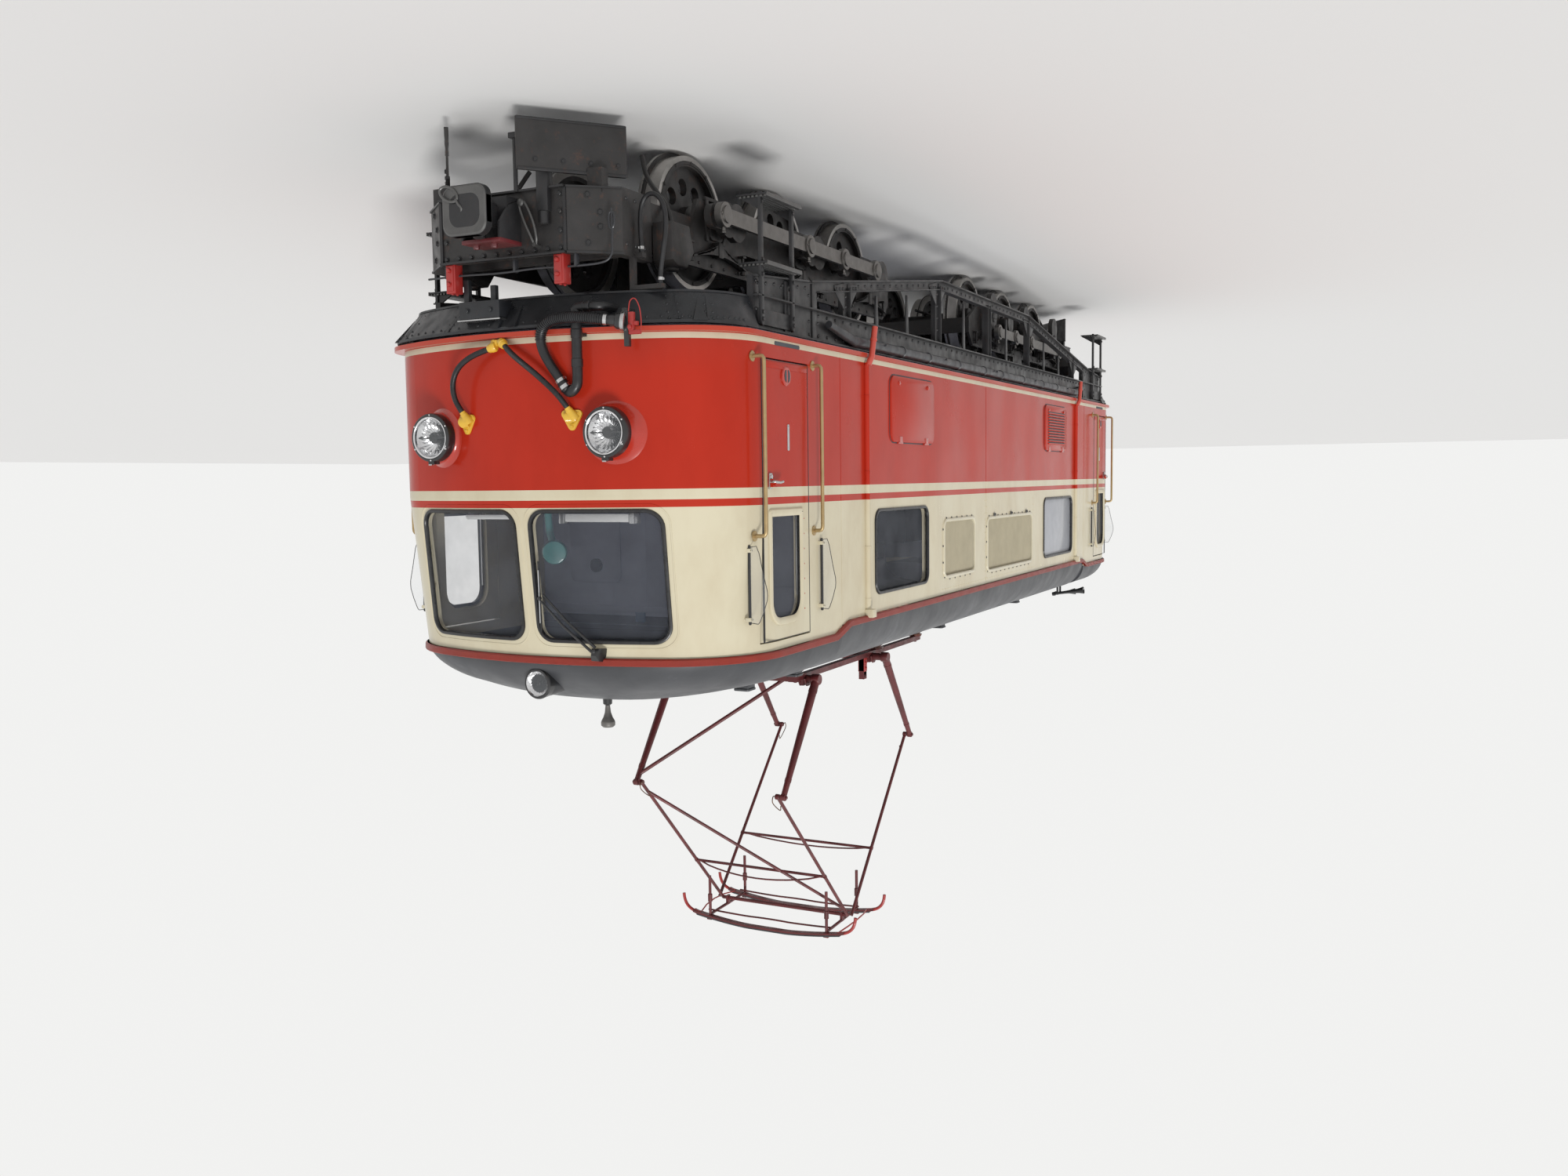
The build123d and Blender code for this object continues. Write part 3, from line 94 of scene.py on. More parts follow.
# Node helpers for materials
class Shader:
    """A node material with short calls for the nodes that repeat."""

    def __init__(self, name):
        self.material = bpy.data.materials.new(name)
        self.material.use_nodes = True
        self.nodes = self.material.node_tree.nodes
        self.links = self.material.node_tree.links
        self.nodes.clear()
        self.out = self.nodes.new("ShaderNodeOutputMaterial")
        self.bsdf = self.nodes.new("ShaderNodeBsdfPrincipled")
        self.links.new(self.bsdf.outputs[0], self.out.inputs["Surface"])
        self.place = self.nodes.new("ShaderNodeTexCoord").outputs["Object"]

    def set(self, **values):
        for key, value in values.items():
            socket = self.bsdf.inputs[key.replace("_", " ")]
            if isinstance(value, bpy.types.NodeSocket):
                self.links.new(value, socket)
            elif hasattr(value, "__len__"):
                socket.default_value = (*value, 1.0)[:4]
            else:
                socket.default_value = value
        return self

    def put(self, socket, value):
        if isinstance(value, bpy.types.NodeSocket):
            self.links.new(value, socket)
        elif hasattr(value, "__len__") and len(socket.default_value) == 4:
            socket.default_value = (*value, 1.0)[:4]
        else:
            socket.default_value = value

    def math(self, kind, a, b=0.0, c=0.0):
        node = self.nodes.new("ShaderNodeMath")
        node.operation = kind
        for socket, value in zip(node.inputs, (a, b, c)):
            self.put(socket, value)
        return node.outputs[0]

    def stretched(self, scale):
        node = self.nodes.new("ShaderNodeMapping")
        self.links.new(self.place, node.inputs["Vector"])
        node.inputs["Scale"].default_value = scale
        return node.outputs[0]

    def noise(self, scale, detail=3.0, rough=0.5, stretch=None, distortion=0.0):
        node = self.nodes.new("ShaderNodeTexNoise")
        self.links.new(self.stretched(stretch) if stretch else self.place, node.inputs["Vector"])
        node.inputs["Scale"].default_value = scale
        node.inputs["Detail"].default_value = detail
        node.inputs["Roughness"].default_value = rough
        node.inputs["Distortion"].default_value = distortion
        return node.outputs["Fac"]

    def ramp(self, value, stops, sharp=False):
        node = self.nodes.new("ShaderNodeValToRGB")
        self.put(node.inputs[0], value)
        ramp = node.color_ramp
        ramp.interpolation = "CONSTANT" if sharp else "LINEAR"
        while len(ramp.elements) < len(stops):
            ramp.elements.new(1.0)
        for element, (at, colour) in zip(ramp.elements, stops):
            element.position = at
            element.color = (*colour, 1.0)[:4] if hasattr(colour, "__len__") else (colour, colour, colour,
                    1.0)
        return node.outputs[0]

    def mix(self, factor, a, b, kind="MIX"):
        node = self.nodes.new("ShaderNodeMix")
        node.data_type = "RGBA"
        node.blend_type = kind
        self.put(node.inputs["Factor"], factor)
        self.put(node.inputs[6], a)
        self.put(node.inputs[7], b)
        return node.outputs[2]

    def part(self, axis):
        node = self.nodes.new("ShaderNodeSeparateXYZ")
        self.links.new(self.place, node.inputs[0])
        return node.outputs[axis]

    def facing(self, axis):
        """How far the surface faces along an axis of the row."""
        geometry = self.nodes.new("ShaderNodeNewGeometry")
        node = self.nodes.new("ShaderNodeSeparateXYZ")
        self.links.new(geometry.outputs["Normal"], node.inputs[0])
        return node.outputs[axis]

    def bump(self, *layers):
        """Bump from (height, strength, distance) layers, the broad one first."""
        below = None
        for height, strength, distance in layers:
            node = self.nodes.new("ShaderNodeBump")
            node.inputs["Strength"].default_value = strength
            node.inputs["Distance"].default_value = distance
            self.links.new(height, node.inputs["Height"])
            if below is not None:
                self.links.new(below, node.inputs["Normal"])
            below = node.outputs[0]
        self.links.new(below, self.bsdf.inputs["Normal"])
        return self


# Colours
ORANGE_RED = (0.440, 0.026, 0.011)
CREAM = (0.640, 0.585, 0.430)
STRIPE_RED = (0.450, 0.030, 0.014)
GUTTER_RED = (0.520, 0.062, 0.038)
LIP_RED = (0.500, 0.055, 0.030)
ROOF_GREY = (0.055, 0.057, 0.062)
FRAME_BLACK = (0.011, 0.011, 0.012)
DUST = (0.085, 0.072, 0.058)
PANTO_RED = (0.078, 0.011, 0.012)
BRASS = (0.470, 0.340, 0.170)
SOCKET_YELLOW = (0.720, 0.430, 0.035)


def livery():
    """Gloss paint in bands by height: red lip, cream line, orange-red, cream belt, thin red stripe, cream."""
    s = Shader("livery")
    low, high = 1.0, 3.1
    bands = [
        (low, LIP_RED), (RAIL_TOP + 1.166, CREAM), (RAIL_TOP + 1.198, ORANGE_RED), (RAIL_TOP + 2.000, CREAM),
        (RAIL_TOP + 2.062, STRIPE_RED), (RAIL_TOP + 2.098, CREAM), (RAIL_TOP + 2.905, GUTTER_RED)]
    height = s.math("DIVIDE", s.math("SUBTRACT", s.part(2), low), high - low)
    paint = s.ramp(height, [((z - low) / (high - low), colour) for z, colour in bands[:6]], sharp=True)
    grime = s.math("MULTIPLY", s.noise(1.1, 5, 0.6, (1, 1, 0.8)), s.noise(5.0, 4, 0.6, (1, 1, 0.5)))
    faded = s.mix(s.ramp(grime, [(0.16, 0.0), (0.42, 1.0)]), paint, (0.88, 0.84, 0.80), "MULTIPLY")
    low_dust = s.math("MULTIPLY", s.ramp(height, [(0.05, 1.0), (0.20, 0.0)]),
                      s.noise(5.0, 6, 0.7, (1, 1, 0.3)))
    colour = s.mix(s.math("MULTIPLY", low_dust, 0.28), faded, DUST)
    s.set(Base_Color=colour, Roughness=s.ramp(s.noise(3.0, 5, 0.6), [(0.3, 0.16), (0.7, 0.28)]))
    s.set(Coat_Weight=0.07, Coat_Roughness=0.03, Specular_IOR_Level=0.14)
    s.bump((s.noise(0.9, 1, 0.4, (1.3, 1.0, 0.8)), 0.7, 0.06),
           (s.noise(3.0, 1, 0.4, (1.2, 1.0, 0.6)), 0.07, 0.010),
           (s.noise(260.0, 2), 0.02, 0.001))
    return s.material


def gloss_paint(name, colour, rough=0.25, coat=0.4, wave=0.10):
    s = Shader(name)
    worn = s.mix(s.ramp(s.noise(6.0, 6, 0.65), [(0.35, 0.0), (0.75, 0.5)]), colour,
                 tuple(0.72 * c for c in colour))
    s.set(Base_Color=worn, Roughness=s.ramp(s.noise(9.0, 4), [(0.3, rough), (0.7, rough + 0.14)]))
    s.set(Coat_Weight=coat, Coat_Roughness=0.1)
    s.bump((s.noise(5.0, 2), wave, 0.01), (s.noise(220.0, 2), 0.03, 0.001))
    return s.material


def dusty_paint(name, colour, rough=0.5, dust=0.5, rust=0.0, metallic=0.0, lump=0.25):
    """Dark paint with dust on what faces up, chipped and greasy patches, and a little rust."""
    s = Shader(name)
    patches = s.mix(s.ramp(s.noise(5.0, 6, 0.65), [(0.35, 0.0), (0.7, 1.0)]), colour,
                    tuple(1.9 * c for c in colour))
    up = s.ramp(s.facing(2), [(0.25, 0.0), (0.9, 1.0)])
    settled = s.math("MULTIPLY", up, s.ramp(s.noise(14.0, 5, 0.7), [(0.25, 0.35), (0.7, 1.0)]))
    veil = s.ramp(s.noise(2.2, 5, 0.6), [(0.4, 0.04), (0.75, 0.30)])
    amount = s.math("MULTIPLY", s.math("MAXIMUM", settled, veil), dust)
    base = s.mix(amount, patches, DUST)
    if rust:
        stain = s.ramp(s.noise(17.0, 6, 0.75), [(0.56, 0.0), (0.72, rust)])
        base = s.mix(stain, base, (0.14, 0.050, 0.022))
    s.set(Base_Color=base, Metallic=metallic, Roughness=s.ramp(s.noise(11.0, 4),
            [(0.3, rough - 0.12), (0.7, rough + 0.16)]))
    s.bump((s.noise(7.0, 3), lump, 0.006), (s.noise(140.0, 3, 0.6), 0.12, 0.001))
    return s.material


def roof_paint():
    """Dull grey roof covering, laid over boards: soft ripples and rain streaks down the curve."""
    s = Shader("roof_covering")
    cloud = s.noise(1.6, 6, 0.65, (1, 1, 1))
    streak = s.noise(7.0, 5, 0.7, (1.2, 0.25, 0.25))
    tone = s.math("MULTIPLY", cloud, streak)
    base = s.ramp(tone, [(0.12, tuple(0.75 * c for c in ROOF_GREY)), (0.30, ROOF_GREY),
                         (0.46, tuple(2.0 * c for c in ROOF_GREY))])
    s.set(Base_Color=base, Roughness=s.ramp(s.noise(3.5, 5, 0.6), [(0.3, 0.38), (0.7, 0.56)]),
          Specular_IOR_Level=0.5)
    s.bump((s.noise(2.0, 2, 0.4), 0.35, 0.018), (s.noise(9.0, 3, 0.5), 0.22, 0.006),
           (s.noise(120.0, 3), 0.12, 0.001))
    return s.material


def bright_metal(name, colour, rough=0.2, grain=0.2, metallic=1.0):
    s = Shader(name)
    tone = s.mix(s.ramp(s.noise(12.0, 5, 0.6), [(0.3, 0.0), (0.75, 0.6)]), colour,
                 tuple(0.6 * c for c in colour))
    s.set(Base_Color=tone, Metallic=metallic, Roughness=s.ramp(s.noise(25.0, 4),
            [(0.3, rough), (0.7, rough + 0.15)]))
    s.bump((s.noise(90.0, 3), grain, 0.0006))
    return s.material


def rubber(name, colour=(0.014, 0.014, 0.015), rough=0.5):
    s = Shader(name)
    s.set(Base_Color=s.mix(s.ramp(s.noise(20.0, 4), [(0.4, 0.0), (0.8, 0.6)]), colour,
                           tuple(2.4 * c + 0.004 for c in colour)))
    s.set(Roughness=s.ramp(s.noise(40.0, 3), [(0.3, rough - 0.1), (0.7, rough + 0.1)]))
    s.bump((s.noise(180.0, 3), 0.15, 0.0008))
    return s.material


def glass(name, tint=(0.20, 0.22, 0.27), rough=0.015, alpha=0.11):
    """Thin window glass: mostly see-through, with a gloss surface and a faint film of dirt."""
    s = Shader(name)
    film = s.ramp(s.noise(4.0, 5, 0.65), [(0.35, alpha * 0.7), (0.75, alpha * 1.35)])
    s.set(Base_Color=tint, Roughness=rough, Alpha=film, Specular_IOR_Level=0.8, IOR=1.5)
    s.bump((s.noise(2.0, 1), 0.04, 0.01))
    return s.material


MATERIALS = {
    "livery": livery(),
    "roof": roof_paint(),
    "gutter": gloss_paint("gutter_red", GUTTER_RED, 0.3),
    "orange": gloss_paint("orange_red", ORANGE_RED, 0.18, 0.6),
    "cream": gloss_paint("cream", CREAM, 0.3, 0.4),
    "signal_red": gloss_paint("signal_red", (0.360, 0.020, 0.016), 0.35),
    "yellow": gloss_paint("socket_yellow", SOCKET_YELLOW, 0.35),
    "frame": dusty_paint("frame_black", FRAME_BLACK, 0.40, 0.13, 0.12),
    "running": dusty_paint("running_gear", (0.013, 0.012, 0.012), 0.46, 0.22, 0.35),
    "apron": dusty_paint("apron_black", (0.010, 0.011, 0.013), 0.36, 0.11, 0.06),
    "duct": dusty_paint("duct_grey", (0.020, 0.021, 0.024), 0.38, 0.22, 0.08, lump=0.04),
    "panto": dusty_paint("pantograph_red", PANTO_RED, 0.42, 0.25, 0.3, lump=0.1),
    "tyre_steel": bright_metal("tyre_steel", (0.50, 0.48, 0.46), 0.28, 0.3),
    "rod_steel": bright_metal("rod_steel", (0.22, 0.21, 0.20), 0.36, 0.3),
    "brass": bright_metal("rail_brass", BRASS, 0.36, 0.2, 0.7),
    "chrome": bright_metal("lamp_chrome", (0.82, 0.82, 0.83), 0.08, 0.03),
    "steel": bright_metal("bright_steel", (0.60, 0.60, 0.60), 0.22, 0.1),
    "aluminium": bright_metal("aluminium", (0.62, 0.63, 0.64), 0.34, 0.1),
    "gasket": rubber("gasket", (0.012, 0.012, 0.013), 0.34),
    "hose": rubber("hose_rubber", (0.009, 0.009, 0.010), 0.42),
    "black": gloss_paint("black_gloss", (0.012, 0.012, 0.013), 0.3),
    "copper": bright_metal("bond_wire", (0.20, 0.12, 0.08), 0.45, 0.2),
    "glass": glass("window_glass"),
    "lens": glass("lamp_glass", (0.55, 0.58, 0.60), 0.01, 0.10),
    "grey_panel": gloss_paint("grey_panel", (0.36, 0.37, 0.40), 0.32, 0.3),
    "mat": gloss_paint("filter_mat", (0.42, 0.375, 0.265), 0.5, 0.0),
    "inside": gloss_paint("inside_grey", (0.42, 0.45, 0.56), 0.5, 0.0),
    # Near black: the transformer's colour, and also painted shade in the hatch, door vent and sill slots
    "inside_dark": gloss_paint("inside_dark", (0.05, 0.06, 0.07), 0.5, 0.0),
    "teal": gloss_paint("lamp_teal", (0.020, 0.160, 0.150), 0.35),
    "seat": rubber("seat_cover", (0.035, 0.030, 0.028), 0.6),
    "sign_blue": gloss_paint("sign_blue", (0.030, 0.110, 0.220), 0.4),
    "white": gloss_paint("enamel_white", (0.75, 0.75, 0.73), 0.4),
    "porcelain": gloss_paint("insulator", (0.16, 0.045, 0.022), 0.15, 0.6),
    "housing": dusty_paint("housing_red", (0.085, 0.012, 0.014), 0.4, 0.25, 0.2),
    "buffer": bright_metal("buffer_steel", (0.135, 0.133, 0.130), 0.36, 0.3, 0.7),
    "carbon": rubber("carbon_strip", (0.022, 0.022, 0.024), 0.45),
}


# Mesh helpers
class Mesh:
    """Collects simple shapes, in the row's frame, into one mesh."""

    def __init__(self):
        self.points = []
        self.faces = []

    def add(self, points, faces):
        start = len(self.points)
        self.points += [tuple(p) for p in points]
        self.faces += [tuple(start + i for i in f) for f in faces]
        return self

    def rings(self, rings, closed=False, caps=True):
        """Skins equal rings of points one after the other."""
        n = len(rings[0])
        points = [p for ring in rings for p in ring]
        faces = []
        count = len(rings)
        for i in range(count if closed else count - 1):
            a, b = i * n, ((i + 1) % count) * n
            faces += [(a + k, a + (k + 1) % n, b + (k + 1) % n, b + k) for k in range(n)]
        if caps and not closed:
            faces += [tuple(reversed(range(n))), tuple((count - 1) * n + k for k in range(n))]
        return self.add(points, faces)

    def tube(self, path, radius, sides=10, closed=False, caps=True):
        """A tube along points. The radius is one value or one for each point."""
        path = [Vector(p) for p in path]
        radii = radius if hasattr(radius, "__len__") else [radius] * len(path)
        side = None
        rings = []
        for p, r, along in zip(path, radii, directions(path, closed)):
            if side is None:
                side = along.orthogonal().normalized()
            side = (side - along * side.dot(along)).normalized()
            other = along.cross(side)
            rings.append([p + r * (cos(t) * side + sin(t) * other) for t in around(sides)])
        return self.rings(rings, closed, caps)

    def rod(self, p, q, radius, sides=14):
        return self.tube([p, q], radius, sides)

    def lathe(self, profile, at, axis, sides=32, closed=False, caps=True):
        """Turns (distance along the axis, radius) points about an axis through a point."""
        at, axis = Vector(at), Vector(axis).normalized()
        side = axis.orthogonal().normalized()
        other = axis.cross(side)
        turns = around(sides)
        return self.rings([[at + axis * h + r * (cos(t) * side + sin(t) * other) for t in turns]
                           for h, r in profile], closed, caps)

    def block(self, low, high, bevel=0.0, turn=None):
        """A box between two corners, with bevelled edges, turned about its centre if asked."""
        low, high = [min(a, b) for a, b in zip(low, high)], [max(a, b) for a, b in zip(low, high)]
        size = [b - a for a, b in zip(low, high)]
        centre = Vector([(a + b) / 2 for a, b in zip(low, high)])
        made = bmesh.new()
        bmesh.ops.create_cube(made, size=1.0)
        for v in made.verts:
            v.co = Vector([c * s for c, s in zip(v.co, size)]) + centre
        if bevel:
            bmesh.ops.bevel(made, geom=made.edges[:], offset=min(bevel, 0.45 * min(size)), segments=2,
                            affect="EDGES", profile=0.6)
        if turn is not None:
            bmesh.ops.rotate(made, verts=made.verts, cent=centre, matrix=turn)
        made.verts.index_update()
        self.add([v.co[:] for v in made.verts], [[v.index for v in f.verts] for f in made.faces])
        made.free()
        return self

    def slab(self, outline, at, across, up, thick, bevel=0.0):
        """A plate with an outline of (across, up) pairs, grown from the plane at a point along its normal."""
        at, across, up = Vector(at), Vector(across), Vector(up)
        out = across.cross(up).normalized()
        levels = [(outline, 0.0), (outline, thick - bevel)]
        if bevel:
            levels += [(shrink(outline, bevel * 0.3), thick - bevel * 0.3), (shrink(outline, bevel), thick)]
        return self.rings([[at + a * across + b * up + h * out for a, b in line] for line, h in levels])

    def plate(self, outline, y, thick, bevel=0.0, side=-1):
        """An upright plate along the row with an outline of (x, z) pairs, grown from y towards a side."""
        return self.slab([(-side * x, z) for x, z in outline], (0, y, 0), (-side, 0, 0), UP, thick, bevel)

    def rivets(self, points, normal, radius=0.012, height=0.007, sides=8):
        """Round rivet heads standing on a surface."""
        out = Vector(normal).normalized()
        side = out.orthogonal().normalized()
        other = out.cross(side)
        n = sides
        faces = [(i * n + k, i * n + (k + 1) % n, (i + 1) * n + (k + 1) % n, (i + 1) * n + k)
                 for i in range(2) for k in range(n)]
        faces += [(2 * n + k, 2 * n + (k + 1) % n, 3 * n) for k in range(n)]
        for p in points:
            p = Vector(p)
            head = [p + out * h * height + radius * r * (cos(t) * side + sin(t) * other)
                    for h, r in ((-0.002, 1.0), (0.35, 0.94), (0.8, 0.6)) for t in around(sides)]
            self.add(head + [p + out * height], faces)
        return self

    def bolts(self, points, normal, radius=0.016, height=0.012):
        """Hexagon heads on thin washers."""
        out = Vector(normal).normalized()
        for p in points:
            self.lathe([(0, radius * 1.35), (0.003, radius * 1.35), (0.003, radius * 0.9)], p, out, 14)
            self.lathe([(0, radius), (height * 0.8, radius), (height, radius * 0.82)], p, out, 6)
        return self

    def strip(self, path, normals, profile, closed=True):
        """Sweeps a profile of (across, out) pairs along a path that lies on a surface."""
        path = [Vector(p) for p in path]
        rings = []
        for p, normal, along in zip(path, normals, directions(path, closed)):
            out = (normal - along * normal.dot(along)).normalized()
            across = along.cross(out)
            rings.append([p + a * across + b * out for a, b in profile])
        return self.rings(rings, closed)

    def turned(self, keep=True):
        """Adds the same shapes turned half round, for the far side and the rear end."""
        points = [(-x, -y, z) for x, y, z in self.points]
        if keep:
            self.add(points, list(self.faces))
        else:
            self.points = points
        return self

    def mirrored(self, keep=True):
        """Adds the mirror image on the other side of the row."""
        points = [(x, -y, z) for x, y, z in self.points]
        faces = [tuple(reversed(f)) for f in self.faces]
        if keep:
            self.add(points, faces)
        else:
            self.points, self.faces = points, faces
        return self

    def done(self, name, material, slot, body="body", replaces=()):
        """Makes the piece, which rides on a body."""
        mesh = bpy.data.meshes.new(name)
        mesh.from_pydata(self.points, [], self.faces)
        made = bmesh.new()
        made.from_mesh(mesh)
        bmesh.ops.recalc_face_normals(made, faces=made.faces)
        made.to_mesh(mesh)
        made.free()
        mesh.materials.append(MATERIALS[material])
        mesh.polygons.foreach_set("use_smooth", [True] * len(mesh.polygons))
        mesh.set_sharp_from_angle(angle=SHARP_ANGLE)
        piece = bpy.data.objects.new(name, mesh)
        bpy.context.scene.collection.objects.link(piece)
        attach(piece, body)
        if replaces:
            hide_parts(*replaces)
        return piece


SHARP_ANGLE = radians(35.0)


def meshes(count):
    return [Mesh() for _ in range(count)]


def make_pieces(rows, mirror=False, turn=True):
    """Makes pieces of rows of mesh, name, material, slot and replaced nodes, each shape first repeated on the
    far side and at the rear end."""
    for mesh, name, material, slot, *nodes in rows:
        if mirror:
            mesh.mirrored()
        if turn:
            mesh.turned()
        mesh.done(name, material, slot, replaces=nodes)


# Points, outlines and profiles
def around(count):
    """Angles at even steps round a circle."""
    return [2 * pi * k / count for k in range(count)]


def evenly(low, high, parts):
    """Values from one to another in even steps."""
    return [low + (high - low) * k / parts for k in range(parts + 1)]


def directions(path, closed):
    """The direction of a path at each of its points."""
    count = len(path)
    for i, p in enumerate(path):
        before = path[(i - 1) % count] if closed or i else p
        after = path[(i + 1) % count] if closed or i < count - 1 else p
        yield (after - before).normalized()


def gap(a, b):
    return sqrt((b[0] - a[0]) ** 2 + (b[1] - a[1]) ** 2)


def between(a, b, parts):
    """Points at even steps from one to just before the other."""
    return [(a[0] + (b[0] - a[0]) * k / parts, a[1] + (b[1] - a[1]) * k / parts) for k in range(parts)]


def edges_of(outline):
    return zip(outline, outline[1:] + outline[:1])


def collar(foot, foot_r, top, top_r):
    """Profile of a raised ring, by half its width and its radius at the foot and at the top."""
    return [(-foot, foot_r), (-top, top_r), (top, top_r), (foot, foot_r)]


def band(half, radius):
    return [(-half, radius), (half, radius)]


def smooth_line(points, parts=6):
    """Catmull-Rom line through points, for bent wire and pipe."""
    points = [Vector(p) for p in points]
    ends = [2 * points[0] - points[1]] + points + [2 * points[-1] - points[-2]]
    line = []
    for a, b, c, d in zip(ends, ends[1:], ends[2:], ends[3:]):
        for t in [k / parts for k in range(parts)]:
            line.append(0.5 * (2 * b + (c - a) * t + (2 * a - 5 * b + 4 * c - d) * t * t
                               + (3 * b - a - 3 * c + d) * t ** 3))
    return line + [points[-1]]


def shrink(outline, amount):
    """An outline moved inwards by an amount, for convex and gently curved outlines."""
    area = sum(a[0] * b[1] - b[0] * a[1] for a, b in edges_of(outline))
    sign = 1 if area > 0 else -1
    result = []
    for before, here, after in zip(outline[-1:] + outline[:-1], outline, outline[1:] + outline[:1]):
        n = []
        for (ax, ay), (bx, by) in ((before, here), (here, after)):
            length = sqrt((bx - ax) ** 2 + (by - ay) ** 2) or 1.0
            n.append((-(by - ay) / length * sign, (bx - ax) / length * sign))
        mx, my = n[0][0] + n[1][0], n[0][1] + n[1][1]
        size = sqrt(mx * mx + my * my) or 1.0
        share = amount / max(0.35, size / 2)
        result.append((here[0] + mx / size * share, here[1] + my / size * share))
    return result


def rounded(cx, cy, width, height, radius, steps=6):
    """Outline of a rounded rectangle as (across, up) pairs, anticlockwise. The radius is one value or four:
    low right, high right, high left and low left."""
    radii = radius if hasattr(radius, "__len__") else [radius] * 4
    corners = [(1, -1, -pi / 2), (1, 1, 0), (-1, 1, pi / 2), (-1, -1, pi)]
    outline = []
    for (sx, sy, start), r in zip(corners, radii):
        ox, oy = cx + sx * (width / 2 - r), cy + sy * (height / 2 - r)
        for k in range(steps + 1):
            t = start + k * pi / 2 / steps
            outline.append((ox + r * cos(t), oy + r * sin(t)))
    return outline


def corner_of(centre, half_w, corner):
    """Centre of a round corner in plan, and how far the end's arc turns before it meets that corner."""
    y = half_w - corner
    x = centre + sqrt((END_R - corner) ** 2 - y ** 2)
    return x, y, atan2(y, x - centre)


def nose_x(y, z, out=0.0):
    """Where the body's end lies at a place across and up, moved outwards by an amount."""
    share = min(max((z - TILT_Z) / (CAB_GUTTER_Z - TILT_Z), 0.0), 1.0)
    centre = HALF_LENGTH - END_R - END_LEAN * share
    corner = CORNER_R + (CORNER_TOP_R - CORNER_R) * share
    corner_x, corner_y, join = corner_of(centre, HALF_WIDTH, corner)
    if abs(y) <= (END_R + out) * sin(join):
        return centre + sqrt((END_R + out) ** 2 - y * y)
    return corner_x + sqrt(max((corner + out) ** 2 - (abs(y) - corner_y) ** 2, 0.0))


def nose_point(y, z, out=0.0):
    return Vector((nose_x(y, z, out), y, z))


def nose_normal(y, z):
    step = 0.004
    across = nose_point(y + step, z) - nose_point(y - step, z)
    up = nose_point(y, z + step) - nose_point(y, z - step)
    return across.cross(up).normalized()


def nose_ring(mesh, outline, profile):
    """A strip on the body's end along a closed outline of (y, z) pairs."""
    return mesh.strip([nose_point(y, z) for y, z in outline], [nose_normal(y, z) for y, z in outline],
                      profile)


def side_ring(mesh, outline, profile):
    """A strip on the near side wall along a closed outline of (x, z) pairs."""
    return mesh.strip([(x, SIDE_Y, z) for x, z in outline], [SIDE_OUT] * len(outline), profile)


# Free cords on the front end, from socket or pipe to plug or coupling head
ROUTES = {
    "jumper_cable_left": [
        (5128, -352, 1598), (5158, -328, 1543), (5184, -288, 1490), (5201, -240, 1441), (5208, -186, 1396),
        (5208, -128, 1354), (5201, -70, 1315), (5187, -16, 1278), (5166, 34, 1240)],
    "jumper_cable_right": [
        (5128, 366, 1600), (5147, 392, 1550), (5160, 405, 1497), (5168, 404, 1442), (5174, 386, 1390),
        (5178, 352, 1346), (5179, 306, 1312), (5177, 252, 1286), (5172, 196, 1267), (5166, 142, 1252)],
    "heater_hose": [
        (5144, -334, 1462), (5156, -300, 1408), (5166, -264, 1351), (5175, -233, 1292), (5184, -220, 1232),
        (5192, -232, 1178), (5197, -270, 1138), (5200, -328, 1120), (5199, -392, 1116), (5194, -458, 1118),
        (5183, -522, 1124), (5166, -584, 1132), (5141, -642, 1140)],
    "brake_hose": [
        (4900, -812, 933), (4900, -812, 880), (4902, -822, 827), (4903, -831, 774), (4903, -841, 721),
        (4901, -849, 668), (4898, -852, 614), (4894, -846, 560), (4890, -829, 508), (4886, -798, 466),
        (4882, -756, 446), (4879, -714, 460), (4877, -688, 500), (4876, -679, 552), (4876, -677, 606),
        (4877, -679, 660), (4880, -684, 708), (4880, -684, 757)],
}
CORDS = {
    # radius, length, body, far end
    "jumper_cable_left": (0.015, 0.549, "body", "connector"),
    "jumper_cable_right": (0.015, 0.509, "body", "connector"),
    "heater_hose": (0.027, 0.745, "body", "fitting"),
    "brake_hose": (0.013, 0.860, "bogie_front", "object"),
}


def route_line(name):
    """The route as one smooth line."""
    points = [Vector(p) / 1000 for p in ROUTES[name]]
    curve = bpy.data.curves.new(name, "CURVE")
    curve.dimensions = "3D"
    spline = curve.splines.new("NURBS")
    spline.points.add(len(points) - 1)
    for control, p in zip(spline.points, points):
        control.co = (*p, 1.0)
    spline.order_u = 3
    spline.use_endpoint_u = True
    curve.resolution_u = 8
    return curve


def line_points(name):
    """Points along the smooth line, read from the curve with no bevel."""
    probe = bpy.data.objects.new("probe", route_line(name))
    bpy.context.scene.collection.objects.link(probe)
    mesh = bpy.data.meshes.new_from_object(probe)
    points = [v.co.copy() for v in mesh.vertices]
    bpy.data.objects.remove(probe)
    return points


def make_cord(name, with_pieces):
    radius, length, body, far_end = CORDS[name]
    curve = route_line(name)
    curve.bevel_depth = radius
    curve.bevel_resolution = 6
    curve.use_fill_caps = True
    curve.materials.append(MATERIALS["hose"])
    piece = bpy.data.objects.new("cord_" + name, curve)
    bpy.context.scene.collection.objects.link(piece)
    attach(piece, body)
    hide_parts(name)


def along_cord(name, pitch, start, stop):
    """Places and directions at even steps along a cord's smooth line, between two shares of its length."""
    points = line_points(name)
    lengths = [0.0]
    for a, b in zip(points, points[1:]):
        lengths.append(lengths[-1] + (b - a).length)
    at, stop = start * lengths[-1], stop * lengths[-1]
    result = []
    i = 0
    while at <= stop:
        while i < len(points) - 2 and lengths[i + 1] < at:
            i += 1
        run = points[i + 1] - points[i]
        share = (at - lengths[i]) / run.length
        result.append((points[i] + run * share, run.normalized()))
        at += pitch
    return result


